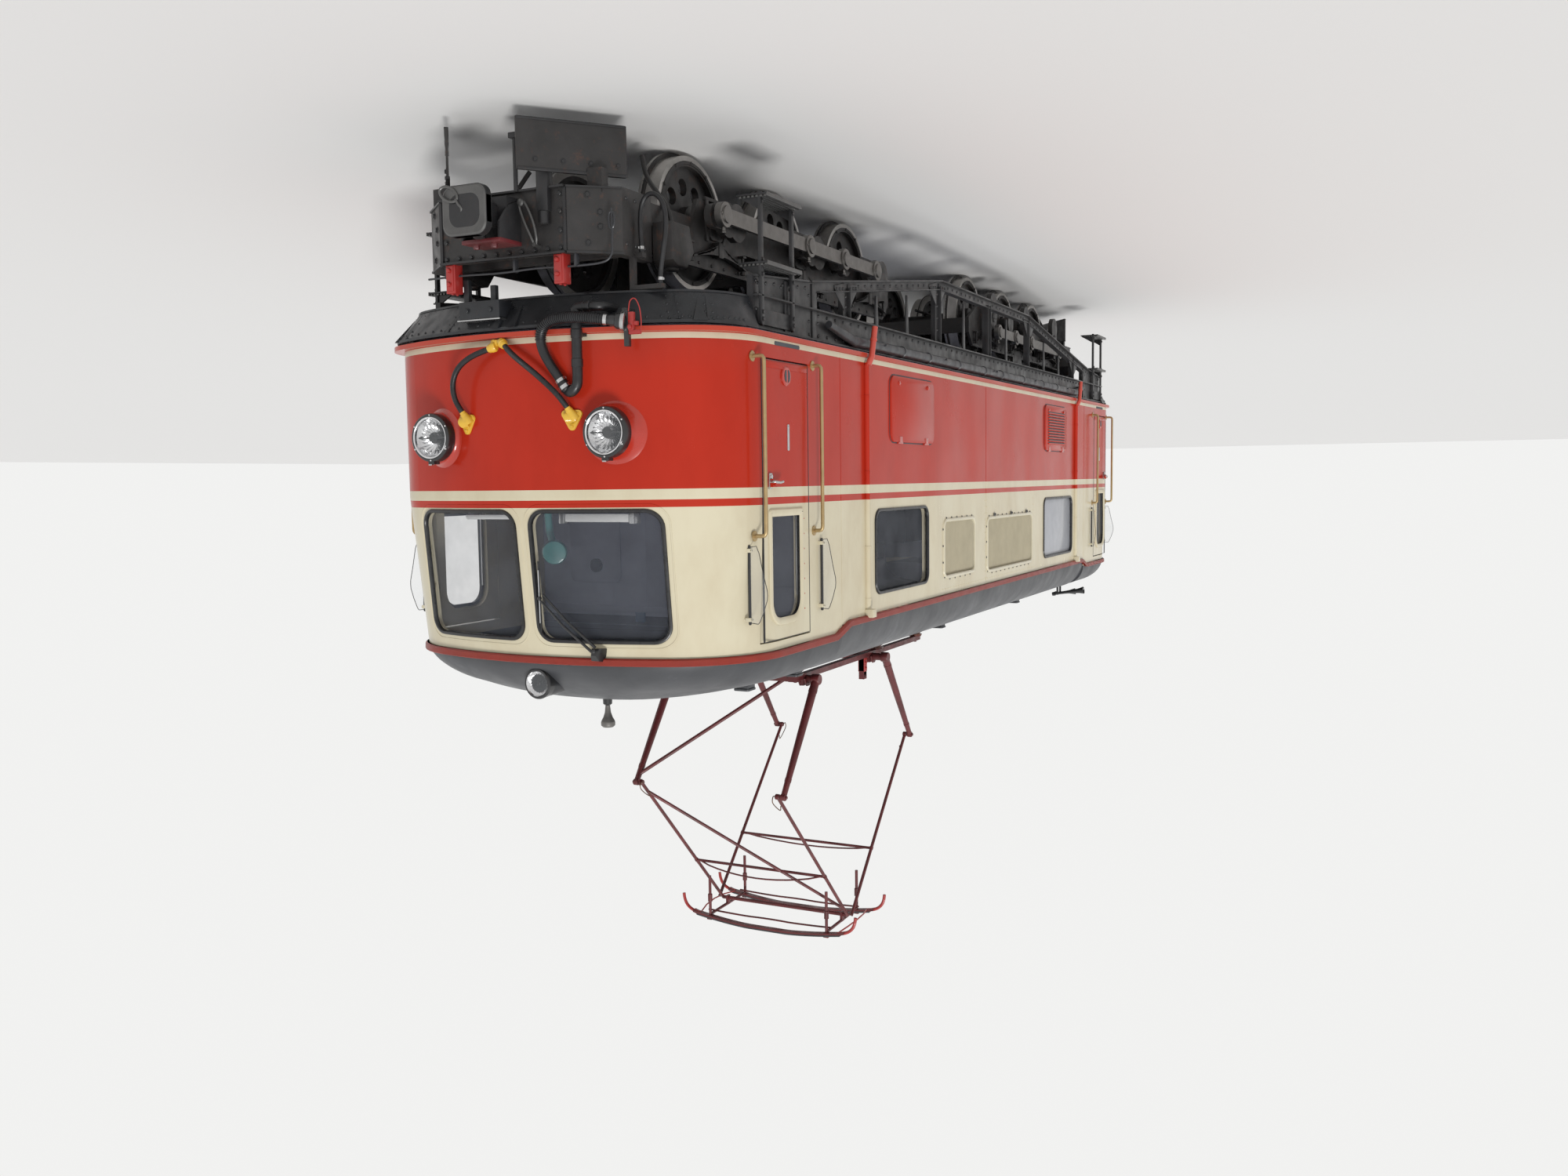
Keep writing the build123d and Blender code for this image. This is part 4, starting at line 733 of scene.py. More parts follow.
def cord_rings(name, pitch, start, stop, grow, half, title):
    """Raised ribs round a cord."""
    ribs = Mesh()
    radius, _, body, _ = CORDS[name]
    for p, along in along_cord(name, pitch, start, stop):
        ribs.lathe(collar(half, radius * 0.97, half * 0.5, radius + grow), p, along, 20)
    return ribs.done(title, "hose", "hose_rubber", body)


def clip_at(name, share, title, half=0.009, grow=0.003):
    """A hose clip round a cord at a share of its length."""
    (p, along), = along_cord(name, 10.0, share, share + 0.001)
    radius, _, body, _ = CORDS[name]
    r = radius + grow
    clip = Mesh()
    clip.lathe(collar(half, r - 0.002, half, r), p, along, 24)
    side = along.orthogonal().normalized()
    clip.rod(p + side * r - along * half * 0.7, p + side * r + along * half * 0.7, 0.006, sides=8)
    return clip.done(title, "steel", "frame_black", body)


for side in ("left", "right"):
    name = "jumper_cable_" + side
    make_cord(name, [cord_rings(name, 0.0085, 0.05, 0.95, 0.0012, 0.0030, f"jumper_{side}_ribs")])
make_cord("heater_hose", [
    cord_rings("heater_hose", 0.0125, 0.36, 0.95, 0.0035, 0.0042, "heater_hose_ribs"),
    clip_at("heater_hose", 0.03, "heater_hose_clip"), clip_at("heater_hose", 0.965, "heater_hose_end_clip")])
make_cord("brake_hose", [
    clip_at("brake_hose", 0.03, "brake_hose_clip", 0.008, 0.002),
    clip_at("brake_hose", 0.97, "brake_hose_end_clip", 0.008, 0.002)])


# Solids that stay, with their finishes
KEPT = {
    "livery": ["cab_shell_front", "cab_shell_rear", "machine_side_left", "machine_side_right",
               "door_front_left", "door_front_right", "door_rear_left", "door_rear_right"],
    "inside": ["floor", "cab_bulkheads", "cab_desks_and_seats"],
    "inside_dark": ["transformer"],
    "glass": ["windscreens", "side_windows"],
    "frame": ["underframe", "truss_sides", "bogie_front_coupler", "bogie_rear_coupler", "bogie_front_motor",
              "bogie_rear_motor"],
    "apron": ["end_aprons"],
    "running": ["bogie_front_frame", "bogie_rear_frame", "jackshaft_front", "jackshaft_rear"]
    + [f"wheelset_{end}_{n}" for end in ("front", "rear") for n in (1, 2, 3)],
    "rod_steel": [f"rod_{end}_{side}" for end in ("front", "rear") for side in ("left", "right")],
    "duct": ["air_ducts"],
    "panto": ["pantograph_base"],
}
for finish, names in KEPT.items():
    for name in names:
        piece = bpy.data.objects[name]
        piece.data.materials.clear()
        piece.data.materials.append(MATERIALS[finish])


# Roofs
def roof_line(half_w, base, edge_r, crown_r, steps=10):
    """Cross section of a roof from the near edge to the far one, as (y, z)."""
    crown_z = base - sqrt((crown_r - edge_r) ** 2 - (half_w - edge_r) ** 2)
    meet = atan2(half_w - edge_r, base - crown_z)
    line = []
    for k in range(steps + 1):
        t = k / steps * (pi / 2 - meet)
        line.append((-(half_w - edge_r) - edge_r * cos(t), base + edge_r * sin(t)))
    for k in range(1, 4 * steps):
        t = -meet + 2 * meet * k / (4 * steps)
        line.append((crown_r * sin(t), crown_z + crown_r * cos(t)))
    return line + [(-y, z) for y, z in reversed(line[:steps + 1])]


def machine_roof():
    roof = Mesh()
    outer = roof_line(HALF_WIDTH, LOW_GUTTER_Z, 0.300, 3.900)
    inner = roof_line(HALF_WIDTH - 0.05, LOW_GUTTER_Z, 0.250, 3.850)
    section = outer + list(reversed(inner))
    stations = [-CAB_JOINT_X + 2 * CAB_JOINT_X * k / 40 for k in range(41)]
    roof.rings([[(x, y, z) for y, z in section] for x in stations])
    roof.done("roof_skin", "roof", slot="roof_grey", replaces=["roof_machine_room"])


def plan_line(half_w, half_l, corner, back_x):
    """Plan outline of a roof level, from the near side round the end to the far side, as (x, y)."""
    cx = half_l - END_R
    kx, ky, join = corner_of(cx, half_w, corner)
    line = [(back_x + (kx - back_x) * k / 6, -half_w) for k in range(6)]
    for k in range(9):
        t = -pi / 2 + (pi / 2 - join) * k / 8
        line.append((kx + corner * cos(t), -ky + corner * sin(t)))
    for k in range(1, 24):
        t = -join + 2 * join * k / 24
        line.append((cx + END_R * cos(t), END_R * sin(t)))
    return line + [(x, -y) for x, y in reversed(line[:15])]


def cab_roof(inset, back_x):
    """Rings of the cab roof from the gutter up to the ridge."""
    edge_r, crown_r, half_w = 0.205 - inset, 3.920 - inset, HALF_WIDTH - inset
    base = CAB_GUTTER_Z
    crown_z = base - sqrt((crown_r - edge_r) ** 2 - (half_w - edge_r) ** 2)
    crest = crown_z + crown_r
    meet = atan2(half_w - edge_r, base - crown_z)
    rings = []
    for k in range(30):
        t = sin(pi / 2 * k / 29.3)
        z = base + t * (crest - base)
        if z <= base + edge_r * cos(meet):
            w = half_w - edge_r + sqrt(max(edge_r ** 2 - (z - base) ** 2, 0))
        else:
            w = sqrt(max(crown_r ** 2 - (z - crown_z) ** 2, 0))
        reach = HALF_LENGTH - END_LEAN - inset - 0.890 * (1 - sqrt(1 - t ** 1.83))
        corner = min(CORNER_TOP_R + 0.280 * t, 0.8 * w)
        rings.append([(x, y, z) for x, y in plan_line(w, reach, corner, back_x)])
    return rings


for title, material, inset, back_x, nodes in (
        ("cab_roof_skin", "roof", 0.0, CAB_JOINT_X, ("roof_cab_front", "roof_cab_rear")),
        ("cab_ceiling", "inside", 0.05, CAB_JOINT_X - 0.04, ())):
    for end in ("front", "rear"):
        roof = Mesh()
        roof.rings(cab_roof(inset, back_x))
        if end == "rear":
            roof.turned(keep=False)
        node = [n for n in nodes if n.endswith(end)]
        roof.done(f"{title}_{end}", material, slot="roof_grey" if nodes else "inside_grey", replaces=node)
machine_roof()


# Gutter all round, with the step up to each cab, and the downpipes
def gutter_z(x):
    share = min(max((x - 3.28) / 0.22, 0.0), 1.0)
    return LOW_GUTTER_Z + (CAB_GUTTER_Z - LOW_GUTTER_Z) * share


def gutter_loop():
    """The gutter's path round the body, and the direction outwards at each of its points."""
    line = [((x, -HALF_WIDTH), (0, -1)) for x in (0.0, 1.1, 2.2, 3.28, 3.335, 3.39, 3.445, 3.50, 3.9)]
    cx = HALF_LENGTH - END_R - END_LEAN
    kx, ky, join = corner_of(cx, HALF_WIDTH, CORNER_TOP_R)
    for k in range(11):
        t = -pi / 2 + (pi / 2 - join) * k / 10
        line.append(((kx + CORNER_TOP_R * cos(t), -ky + CORNER_TOP_R * sin(t)), (cos(t), sin(t))))
    for k in range(1, 30):
        t = -join + 2 * join * k / 30
        line.append(((cx + END_R * cos(t), END_R * sin(t)), (cos(t), sin(t))))
    line += [((x, -y), (nx, -ny)) for (x, y), (nx, ny) in reversed(line[1:20])]
    line += [((-x, -y), (-nx, -ny)) for (x, y), (nx, ny) in line]
    return [(x, y, gutter_z(abs(x))) for (x, y), _ in line], [Vector((*n, 0)) for _, n in line]


GUTTER_SECTION = [
    (-0.021, -0.003), (0.021, -0.003), (0.021, 0.016), (0.013, 0.025), (-0.017, 0.027), (-0.021, 0.024),
    (-0.017, 0.021), (0.010, 0.020), (0.014, 0.013), (0.014, 0.004), (-0.021, 0.003)]
DOWNPIPE_X = 2.962
gutter, pipes = meshes(2)
gutter.strip(*gutter_loop(), GUTTER_SECTION)
for x in (-DOWNPIPE_X, DOWNPIPE_X):
    spout = [(x, -1.224, SKIRT_Z + 0.075), (x - 0.004, -1.232, SKIRT_Z + 0.050),
             (x - 0.010, -1.243, SKIRT_Z + 0.025), (x - 0.020, -1.243, SKIRT_Z - 0.010),
             (x - 0.070, -1.243, SKIRT_Z - 0.175)]
    gutter.tube(spout, [0.021, 0.021, 0.020, 0.020, 0.020], 14)
    gutter.lathe(band(0.008, 0.0235), (x - 0.045, -1.243, SKIRT_Z - 0.09), (-0.29, 0, -0.95), 14)
    pipes.tube([(x, -1.207, LOW_GUTTER_Z - 0.03), (x, -1.207, SKIRT_Z + 0.085), (x, -1.220, SKIRT_Z + 0.062)],
               0.0225, 18)
    pipes.block((x - 0.034, -1.258, LOW_GUTTER_Z - 0.062), (x + 0.034, -1.198, LOW_GUTTER_Z - 0.006), 0.006)
    for z in (1.45, 1.95, 2.45, 2.80):
        pipes.lathe(band(0.007, 0.0255), (x, -1.207, z), UP, 18)
make_pieces([(gutter, "gutter_run", "gutter", "gutter_red", "gutters"),
             (pipes, "downpipes", "livery", "body_orange")])


# Openings of the sides, as x, width, z, height and corner radius
SIDE_WINDOW = (2.275, 1.080, 2.493, 0.590, 0.090)
GREY_WINDOW = (-2.235, 1.180, 2.508, 0.600, 0.090)
SMALL_GRILLE = (0.984, 0.783, 2.550, 0.440, 0.060)
LARGE_GRILLE = (-0.488, 1.451, 2.575, 0.453, 0.060)
HATCH = (2.072, 0.897, 1.510, 0.462, 0.070)
LOUVRE_HATCH = (-2.098, 0.864, 1.516, 0.450, 0.070)
DOOR_WIN = (4.197, 0.420, 2.496, 0.640, 0.130)
DOOR_X0, DOOR_X1 = 3.871, 4.490
DOOR_Z0, DOOR_Z1 = RAIL_TOP + 1.280, RAIL_TOP + 2.895
BEAD = [(-0.014, -0.012), (0.009, -0.012), (0.009, 0.004), (0.005, 0.010), (-0.003, 0.012), (-0.011, 0.009),
        (-0.014, 0.003)]


def panel_outline(opening, grow=0.0, steps=8):
    x, width, z, height, radius = opening
    return rounded(x, z, width + 2 * grow, height + 2 * grow, max(radius + grow, 0.004), steps)


# Window gaskets, grey panes, and the black gaskets and thin borders of the front screens
side_gaskets, grey, screen_gaskets, borders = meshes(4)
side_ring(side_gaskets, panel_outline(SIDE_WINDOW, -0.009), BEAD)
side_ring(side_gaskets, panel_outline(GREY_WINDOW, -0.006), BEAD)
grey.plate(panel_outline(GREY_WINDOW, -0.004), -1.176, 0.010, 0.003)
SCREEN_Y, SCREEN_Z = 0.440, (2.153 + 2.878) / 2
for y in (-SCREEN_Y, SCREEN_Y):
    line = []
    for a, b in edges_of(rounded(y, SCREEN_Z, 0.770, 0.725, 0.090, 8)):
        line += between(a, b, max(1, int(gap(a, b) / 0.06)))
    nose_ring(screen_gaskets, line, [(-a, b) for a, b in BEAD])
    line = []
    for a, b in edges_of(rounded(y, SCREEN_Z, 0.850, 0.800, 0.110, 8)):
        line += between(a, b, 6)
    nose_ring(borders, line, [(-0.006, -0.002), (0.006, -0.002), (0.003, 0.003), (-0.003, 0.003)])
make_pieces([
    (side_gaskets, "side_window_gaskets", "gasket", "frame_black"),
    (grey, "grey_panes", "grey_panel", "window_glass"),
    (screen_gaskets, "screen_gaskets", "gasket", "frame_black"),
    (borders, "screen_borders", "livery", "grille_cream")])


# Headlights, with a fairing on the body's end
def fluted_mirror(mesh, at, levels, flute, widest, count):
    """A mirror turned about an axis along the row from (distance, radius) levels, with flutes in between."""
    rings = []
    for h, r in levels:
        depth = flute if 0.01 < r < widest else 0.0
        rings.append([Vector(at) + Vector((h + depth * (k % 2), r * cos(t), r * sin(t)))
                      for k, t in enumerate(around(count))])
    mesh.rings(rings, caps=False)


LAMP_Y, LAMP_Z, LAMP_FACE = 0.594, 1.728, 5.155
flare, ring, chrome, lens, screws, shield = meshes(6)
for y in (-LAMP_Y, LAMP_Y):
    levels = []
    for share, r in ((0.0, 0.171), (0.10, 0.158), (0.28, 0.146), (0.6, 0.136), (1.0, 0.130)):
        level = []
        for t in around(48):
            place = y + r * cos(t), LAMP_Z + r * sin(t)
            wall = nose_x(*place, 0.0005)
            level.append((wall + (LAMP_FACE - 0.048 - wall) * share, *place))
        levels.append(level)
    flare.rings(levels, caps=False)
    at = (LAMP_FACE, y, LAMP_Z)
    ring.lathe([(-0.062, 0.118), (-0.056, 0.139), (-0.014, 0.140), (-0.004, 0.136), (0.0, 0.128),
                (-0.002, 0.119), (-0.020, 0.114), (-0.050, 0.112)], at, AHEAD, 56, closed=True)
    ring.block((LAMP_FACE - 0.055, y - 0.022, LAMP_Z + 0.134), (LAMP_FACE - 0.005, y + 0.022, LAMP_Z + 0.152),
               0.004)
    chrome.lathe([(-0.010, 0.120), (0.003, 0.119), (0.005, 0.115), (0.001, 0.110), (-0.012, 0.107)],
                 at, AHEAD, 56, caps=False)
    fluted_mirror(chrome, at, ((-0.012, 0.107), (-0.030, 0.098), (-0.048, 0.084), (-0.064, 0.064),
                               (-0.074, 0.042), (-0.080, 0.020), (-0.081, 0.003)), 0.006, 0.10, 48)
    lens.lathe([(-0.006, 0.110), (0.003, 0.104), (0.009, 0.086), (0.013, 0.060), (0.015, 0.030),
                (0.0155, 0.002)], at, AHEAD, 48, caps=False)
    shield.lathe([(-0.078, 0.030), (-0.040, 0.034), (-0.030, 0.030), (-0.028, 0.004)], at, AHEAD, 28)
    shield.block((LAMP_FACE - 0.030, y - 0.100, LAMP_Z - 0.004),
                 (LAMP_FACE - 0.022, y + 0.100, LAMP_Z + 0.004), 0.001)
    for k in range(6):
        t = 2 * pi * (k + 0.5) / 6
        screws.rivets([(LAMP_FACE - 0.002, y + 0.1295 * cos(t), LAMP_Z + 0.1295 * sin(t))], AHEAD, 0.006,
                      0.005)
    screws.block((LAMP_FACE - 0.022, y - 0.012, LAMP_Z + 0.150),
                 (LAMP_FACE + 0.004, y + 0.012, LAMP_Z + 0.158), 0.002)
make_pieces([
    (flare, "headlight_fairings", "orange", "body_orange"),
    (ring, "headlight_rings", "black", "frame_black", "headlights"),
    (chrome, "headlight_reflectors", "chrome", "lamp_chrome"),
    (lens, "headlight_lenses", "lens", "window_glass"),
    (screws, "headlight_screws", "steel", "lamp_chrome"),
    (shield, "headlight_shields", "black", "frame_black")])

# Top headlight, faired into the cab roof
hood, face, mirror, pane = meshes(4)
at = (5.010, 0, 3.138)
hood.lathe([(-0.46, 0.060), (-0.42, 0.076), (-0.34, 0.082), (-0.16, 0.084), (-0.020, 0.085), (-0.020, 0.060)],
           at, AHEAD, 40)
hood.rings([[(4.60 + 0.36 * (0.5 + 0.5 * cos(t)), w * sin(t), 3.085 + h * 0.6) for t in around(32)]
            for w, h in ((0.150, 0.000), (0.115, 0.030), (0.090, 0.060), (0.078, 0.080))], caps=False)
face.lathe([(-0.060, 0.078), (-0.056, 0.087), (-0.008, 0.090), (0.0, 0.084), (-0.002, 0.073),
            (-0.040, 0.071)], at, AHEAD, 40, closed=True)
mirror.lathe([(-0.006, 0.075), (0.000, 0.074), (-0.006, 0.070)], at, AHEAD, 40, caps=False)
fluted_mirror(mirror, at, ((-0.006, 0.070), (-0.014, 0.062), (-0.024, 0.052), (-0.032, 0.040),
                           (-0.036, 0.024), (-0.037, 0.002)), 0.005, 0.065, 40)
face.lathe([(-0.036, 0.010), (-0.022, 0.012), (-0.018, 0.008), (-0.017, 0.002)], at, AHEAD, 20)
pane.lathe([(-0.003, 0.068), (0.003, 0.060), (0.007, 0.040), (0.009, 0.018), (0.0095, 0.002)], at, AHEAD, 40,
           caps=False)
make_pieces([
    (hood, "top_light_hoods", "apron", "roof_grey"), (face, "top_light_rings", "black", "frame_black"),
    (mirror, "top_light_reflectors", "chrome", "lamp_chrome"),
    (pane, "top_light_lenses", "lens", "window_glass")])

# Cab handrails, with ends bent back to brackets on the body
rails, brackets = meshes(2)
RAIL_Y, RAIL_Z0, RAIL_Z1 = -1.260, 1.298, 2.318
for x, wall in ((3.805, -1.200), (4.570, -1.187)):
    bend = [(x, wall, RAIL_Z0 + 0.014), (x, RAIL_Y + 0.028, RAIL_Z0 + 0.014),
            (x, RAIL_Y + 0.010, RAIL_Z0 + 0.017),
            (x, RAIL_Y + 0.002, RAIL_Z0 + 0.028), (x, RAIL_Y, RAIL_Z0 + 0.045)]
    rails.tube(bend + [(px, py, RAIL_Z0 + RAIL_Z1 - pz) for px, py, pz in reversed(bend)], 0.0115, 14)
    for z in (RAIL_Z0 + 0.014, RAIL_Z1 - 0.014):
        brackets.lathe([(0, 0.030), (0.006, 0.030), (0.009, 0.018)], (x, wall + 0.001, z), SIDE_OUT, 20)
        brackets.bolts([(x - 0.021, wall - 0.005, z), (x + 0.021, wall - 0.005, z)], SIDE_OUT, 0.005, 0.004)
make_pieces([(rails, "cab_rails", "brass", "rail_brass", "handrails"),
             (brackets, "cab_rail_feet", "brass", "rail_brass")], mirror=True)

# Footsteps
stringers, treads = meshes(2)
STRINGERS_X = (3.985, 4.385)
for x in STRINGERS_X:
    outline = [(x - 0.016, 0.388), (x + 0.016, 0.388), (x + 0.016, 1.098), (x + 0.011, 1.120), (x, 1.128),
               (x - 0.011, 1.120), (x - 0.016, 1.098)]
    stringers.plate(outline, -1.148, 0.020, 0.004)
    stringers.bolts([(x, -1.168, z) for z in (0.44, 0.76, 0.84, 1.05, 1.09)], SIDE_OUT, 0.011, 0.008)
stringers.block((3.969, -1.150, 1.028), (4.401, -1.131, 1.118), 0.005)
for z in (0.398, 0.773):
    stringers.block((3.960, -1.212, z), (4.410, -1.022, z + 0.010), 0.002)
    for x in STRINGERS_X:
        stringers.slab([(0, 0), (0.12, 0), (0.12, 0.004), (0.0, 0.075)], (x - 0.006, -1.150, z + 0.012),
                       ACROSS, UP, 0.012)
    for k in range(7):
        y = -1.204 + 0.026 * k
        treads.block((3.966, y, z + 0.008), (4.404, y + 0.016, z + 0.022), 0.003)
    treads.block((3.960, -1.215, z - 0.002), (4.410, -1.205, z + 0.022), 0.003)
make_pieces([(stringers, "step_stringers", "frame", "frame_black", "cab_steps"),
             (treads, "step_treads", "buffer", "frame_black")], mirror=True)

# Wind deflectors: an upright bar with a clear pane that points outwards
bars, panes, edges, clamps = meshes(4)
PANE_Z0, PANE_Z1 = 2.353, 2.800
PANE = [(0.03, 0.025), (0.40, 0.012), (0.55, 0.10), (0.80, 0.38), (0.985, 0.56), (1.0, 0.62), (0.985, 0.68),
        (0.80, 0.82), (0.56, 0.955), (0.46, 0.985), (0.03, 0.975)]
for x, y, tip_dx in ((3.725, -1.215, -0.070), (4.600, -1.167, 0.002)):
    foot, tip, rise = Vector((x, y, PANE_Z0)), Vector((tip_dx, -1.278 - y, 0)), Vector(UP)
    bars.tube([(x, y, PANE_Z0), (x, y, PANE_Z0 + 0.004), (x, y, PANE_Z1 - 0.004), (x, y, PANE_Z1)],
              [0.0055, 0.0085, 0.0085, 0.0055], 14)
    panes.slab([(a * tip.length, b * (PANE_Z1 - PANE_Z0)) for a, b in PANE], foot, tip.normalized(), rise,
               0.0045, 0.001)
    edges.tube([foot + tip * a + rise * b * (PANE_Z1 - PANE_Z0) + tip.normalized().cross(rise) * 0.002
                for a, b in PANE], 0.0022, 8)
    for z in (PANE_Z0 + 0.030, PANE_Z1 - 0.030):
        clamps.block((x - 0.016, y - 0.012, z - 0.011), (x + 0.016, y + 0.022, z + 0.011), 0.003)
        clamps.tube([(x, y + 0.012, z), (x + 0.002, y + 0.052, z)], 0.0085, 12)
        clamps.bolts([(x - 0.008, y - 0.012, z), (x + 0.008, y - 0.012, z)], SIDE_OUT, 0.005, 0.003)
make_pieces([
    (bars, "deflector_bars", "black", "frame_black", "wind_deflectors"),
    (panes, "deflector_panes", "lens", "window_glass"),
    (edges, "deflector_edges", "gasket", "frame_black"),
    (clamps, "deflector_clamps", "cream", "grille_cream")], mirror=True)


# Pantograph. The near frames are on the side of the higher x, and a little narrower.
PIVOT_Z, KNEE_Z, APEX_Z = 3.448, 4.193, 5.417
KNEE_DX, PIVOT_DX = 1.208, 0.640


def panto_names(level, side):
    """The body, which is also the replaced node, and the piece's name."""
    body = f"pantograph_{level}_{'near' if side > 0 else 'far'}"
    return body, body.replace("pantograph_", "panto_")


def lower_frame(side, half):
    body, title = panto_names("lower", side)
    x0, x1 = PANTO_X + side * PIVOT_DX, PANTO_X + side * KNEE_DX
    dx, dz = x1 - x0, KNEE_Z - PIVOT_Z
    arms = Mesh()
    arms.rod((x0, -half - 0.028, PIVOT_Z), (x0, half + 0.028, PIVOT_Z), 0.0295, sides=22)
    for t in (-1, 1):
        y = t * half
        arms.tube([(x0, y, PIVOT_Z), (x0 + 0.5 * dx, y, PIVOT_Z + 0.5 * dz), (x1, y, KNEE_Z)],
                  [0.0315, 0.027, 0.0205], 18)
        arms.lathe(collar(0.032, 0.036, 0.026, 0.040), (x0, y, PIVOT_Z), ACROSS, 24)
        arms.lathe(collar(0.020, 0.020, 0.016, 0.024), (x1, y, KNEE_Z), ACROSS, 20)
        arms.bolts([(x1, y + t * 0.018, KNEE_Z)], (0, t, 0), 0.012, 0.012)
        for share in (0.10, 0.86):
            arms.lathe(band(0.012, 0.034 - 0.011 * share), (x0 + share * dx, y, PIVOT_Z + share * dz),
                       (dx, 0, dz), 18)
    if side > 0:
        arms.tube([(x1 - 0.044, half - 0.012, KNEE_Z - 0.058), (x0 - 0.024, -0.55 * half, PIVOT_Z + 0.018)],
                  0.0138, 14)
        lug = [(0, 0), (0.050, -0.012), (0.040, 0.040)]
        arms.slab(lug, (x1 - 0.02, half - 0.036, KNEE_Z - 0.02), AHEAD, UP, 0.006)
    arms.done(title, "panto", "pantograph_red", body, [body])


def upper_frame(side, half):
    body, title = panto_names("upper", side)
    knee = Vector((PANTO_X + side * KNEE_DX, 0, KNEE_Z))
    top = Vector((PANTO_X, 0, APEX_Z))
    inside = half - 0.044
    normal = Vector((knee.z - top.z, 0, -(knee.x - top.x))).normalized()
    if normal.z < 0:
        normal = -normal

    def at(share, y):
        p = top + (knee - top) * share
        return Vector((p.x, y, p.z))

    arms, wire = meshes(2)
    for y in (-inside, inside):
        arms.tube([at(1, y), at(0, y)], 0.0128, 14)
        arms.lathe(collar(0.016, 0.017, 0.012, 0.020), at(1, y), ACROSS, 20)
        arms.lathe(band(0.011, 0.016), at(0.35, y), knee - top, 16)
    arms.tube([at(0.35, -inside), at(0.35, inside)], 0.0108, 12)
    bow = []
    for share in [k / 12 for k in range(13)]:
        rise = 0.085 * sin(pi * share) ** 0.75 if 0 < share < 1 else 0.0
        bow.append(at(0.35, -inside * 0.93 + 2 * inside * 0.93 * share) + normal * (0.004 + rise))
    arms.tube(bow, 0.0065, 10)
    if side > 0:
        arms.tube([at(0.93, inside), at(0.06, -inside)], 0.0118, 12)
        arms.rod(at(0, -inside), at(0, inside), 0.0148, sides=16)
    arms.done(title, "panto", "pantograph_red", body, [body])
    for t in (-1, 1):
        p, q = at(0.93, t * (inside - 0.018)), at(1.0, t * (inside - 0.018))
        out = (p - q).normalized()
        loop = [p, p + normal * 0.03 + out * 0.01, q + normal * 0.055, q + normal * 0.02 - out * 0.03, q]
        wire.tube(smooth_line(loop), 0.0035, 8)
    wire.done(title + "_bonds", "copper", "pantograph_red", body)


for side, half in ((1, 0.600), (-1, 0.635)):
    lower_frame(side, half)
    upper_frame(side, half)

# Collector head
PAN_TOP = 5.528
PAN_DX = 0.300


def pan_z(y):
    """Top of a pan: flat in the middle, bent down to the horns."""
    a = abs(y)
    if a < 0.15:
        return PAN_TOP
    if a < 0.65:
        return PAN_TOP - 0.053 * ((a - 0.15) / 0.5) ** 1.5
    return PAN_TOP - 0.053 - 0.112 * ((a - 0.65) / 0.11) ** 1.2


head, strips, horns = meshes(3)
for s in (-1, 1):
    x = PANTO_X + s * PAN_DX
    ys = evenly(-0.66, 0.66, 40)
    pan = ((-0.024, -0.026), (0.024, -0.026), (0.024, -0.010), (-0.024, -0.010))
    carbon = ((-0.025, -0.012), (0.025, -0.012), (0.022, 0.0), (-0.022, 0.0))
    head.rings([[(x + dx, y, pan_z(y) + dz) for dx, dz in pan] for y in ys])
    strips.rings([[(x + dx, y, pan_z(y) + dz) for dx, dz in carbon] for y in ys[1:-1]])
    for t in (-1, 1):
        bend = ((0.600, 0.062), (0.655, 0.074), (0.700, 0.096), (0.730, 0.128), (0.746, 0.168),
                (0.752, 0.208))
        horns.tube(smooth_line([(x, t * y, PAN_TOP - drop) for y, drop in bend]), 0.0125, 12)
        y = t * 0.510
        head.tube([(x, y, PAN_TOP - 0.040), (x, y, PAN_TOP - 0.380)], 0.0118, 12)
        head.lathe(band(0.03, 0.018), (x, y, PAN_TOP - 0.20), UP, 16)
        head.block((x - 0.022, y - 0.022, PAN_TOP - 0.062), (x + 0.022, y + 0.022, PAN_TOP - 0.024), 0.005)
    for share in (0.45, 0.30):
        head.tube([(x - s * 0.05 * (1 - share), y, pan_z(y) - 0.055 - 0.030 * cos(pi * y / 1.1))
                   for y in evenly(-0.54, 0.54, 20)], 0.006, 8)
for t in (-1, 1):
    y = t * 0.510
    head.tube([(PANTO_X - PAN_DX, y, APEX_Z + 0.046), (PANTO_X + PAN_DX, y, APEX_Z + 0.046)], 0.0118, 12)
    head.block((PANTO_X - 0.022, y - 0.010, APEX_Z - 0.022), (PANTO_X + 0.022, y + 0.010, APEX_Z + 0.056),
               0.004)
    for s in (-1, 1):
        horns.tube([(PANTO_X + s * PAN_DX, t * 0.60, pan_z(0.6) - 0.02),
                    (PANTO_X + s * 0.15, t * 0.63, pan_z(0.6) - 0.035),
                    (PANTO_X, t * 0.64, pan_z(0.6) - 0.04)], 0.006, 8)
head.done("panto_head_frame", "panto", "pantograph_red", "pantograph_head", ["pantograph_head"])
strips.done("panto_contact_strips", "carbon", "frame_black", "pantograph_head")
horns.done("panto_horns", "signal_red", "pantograph_red", "pantograph_head")

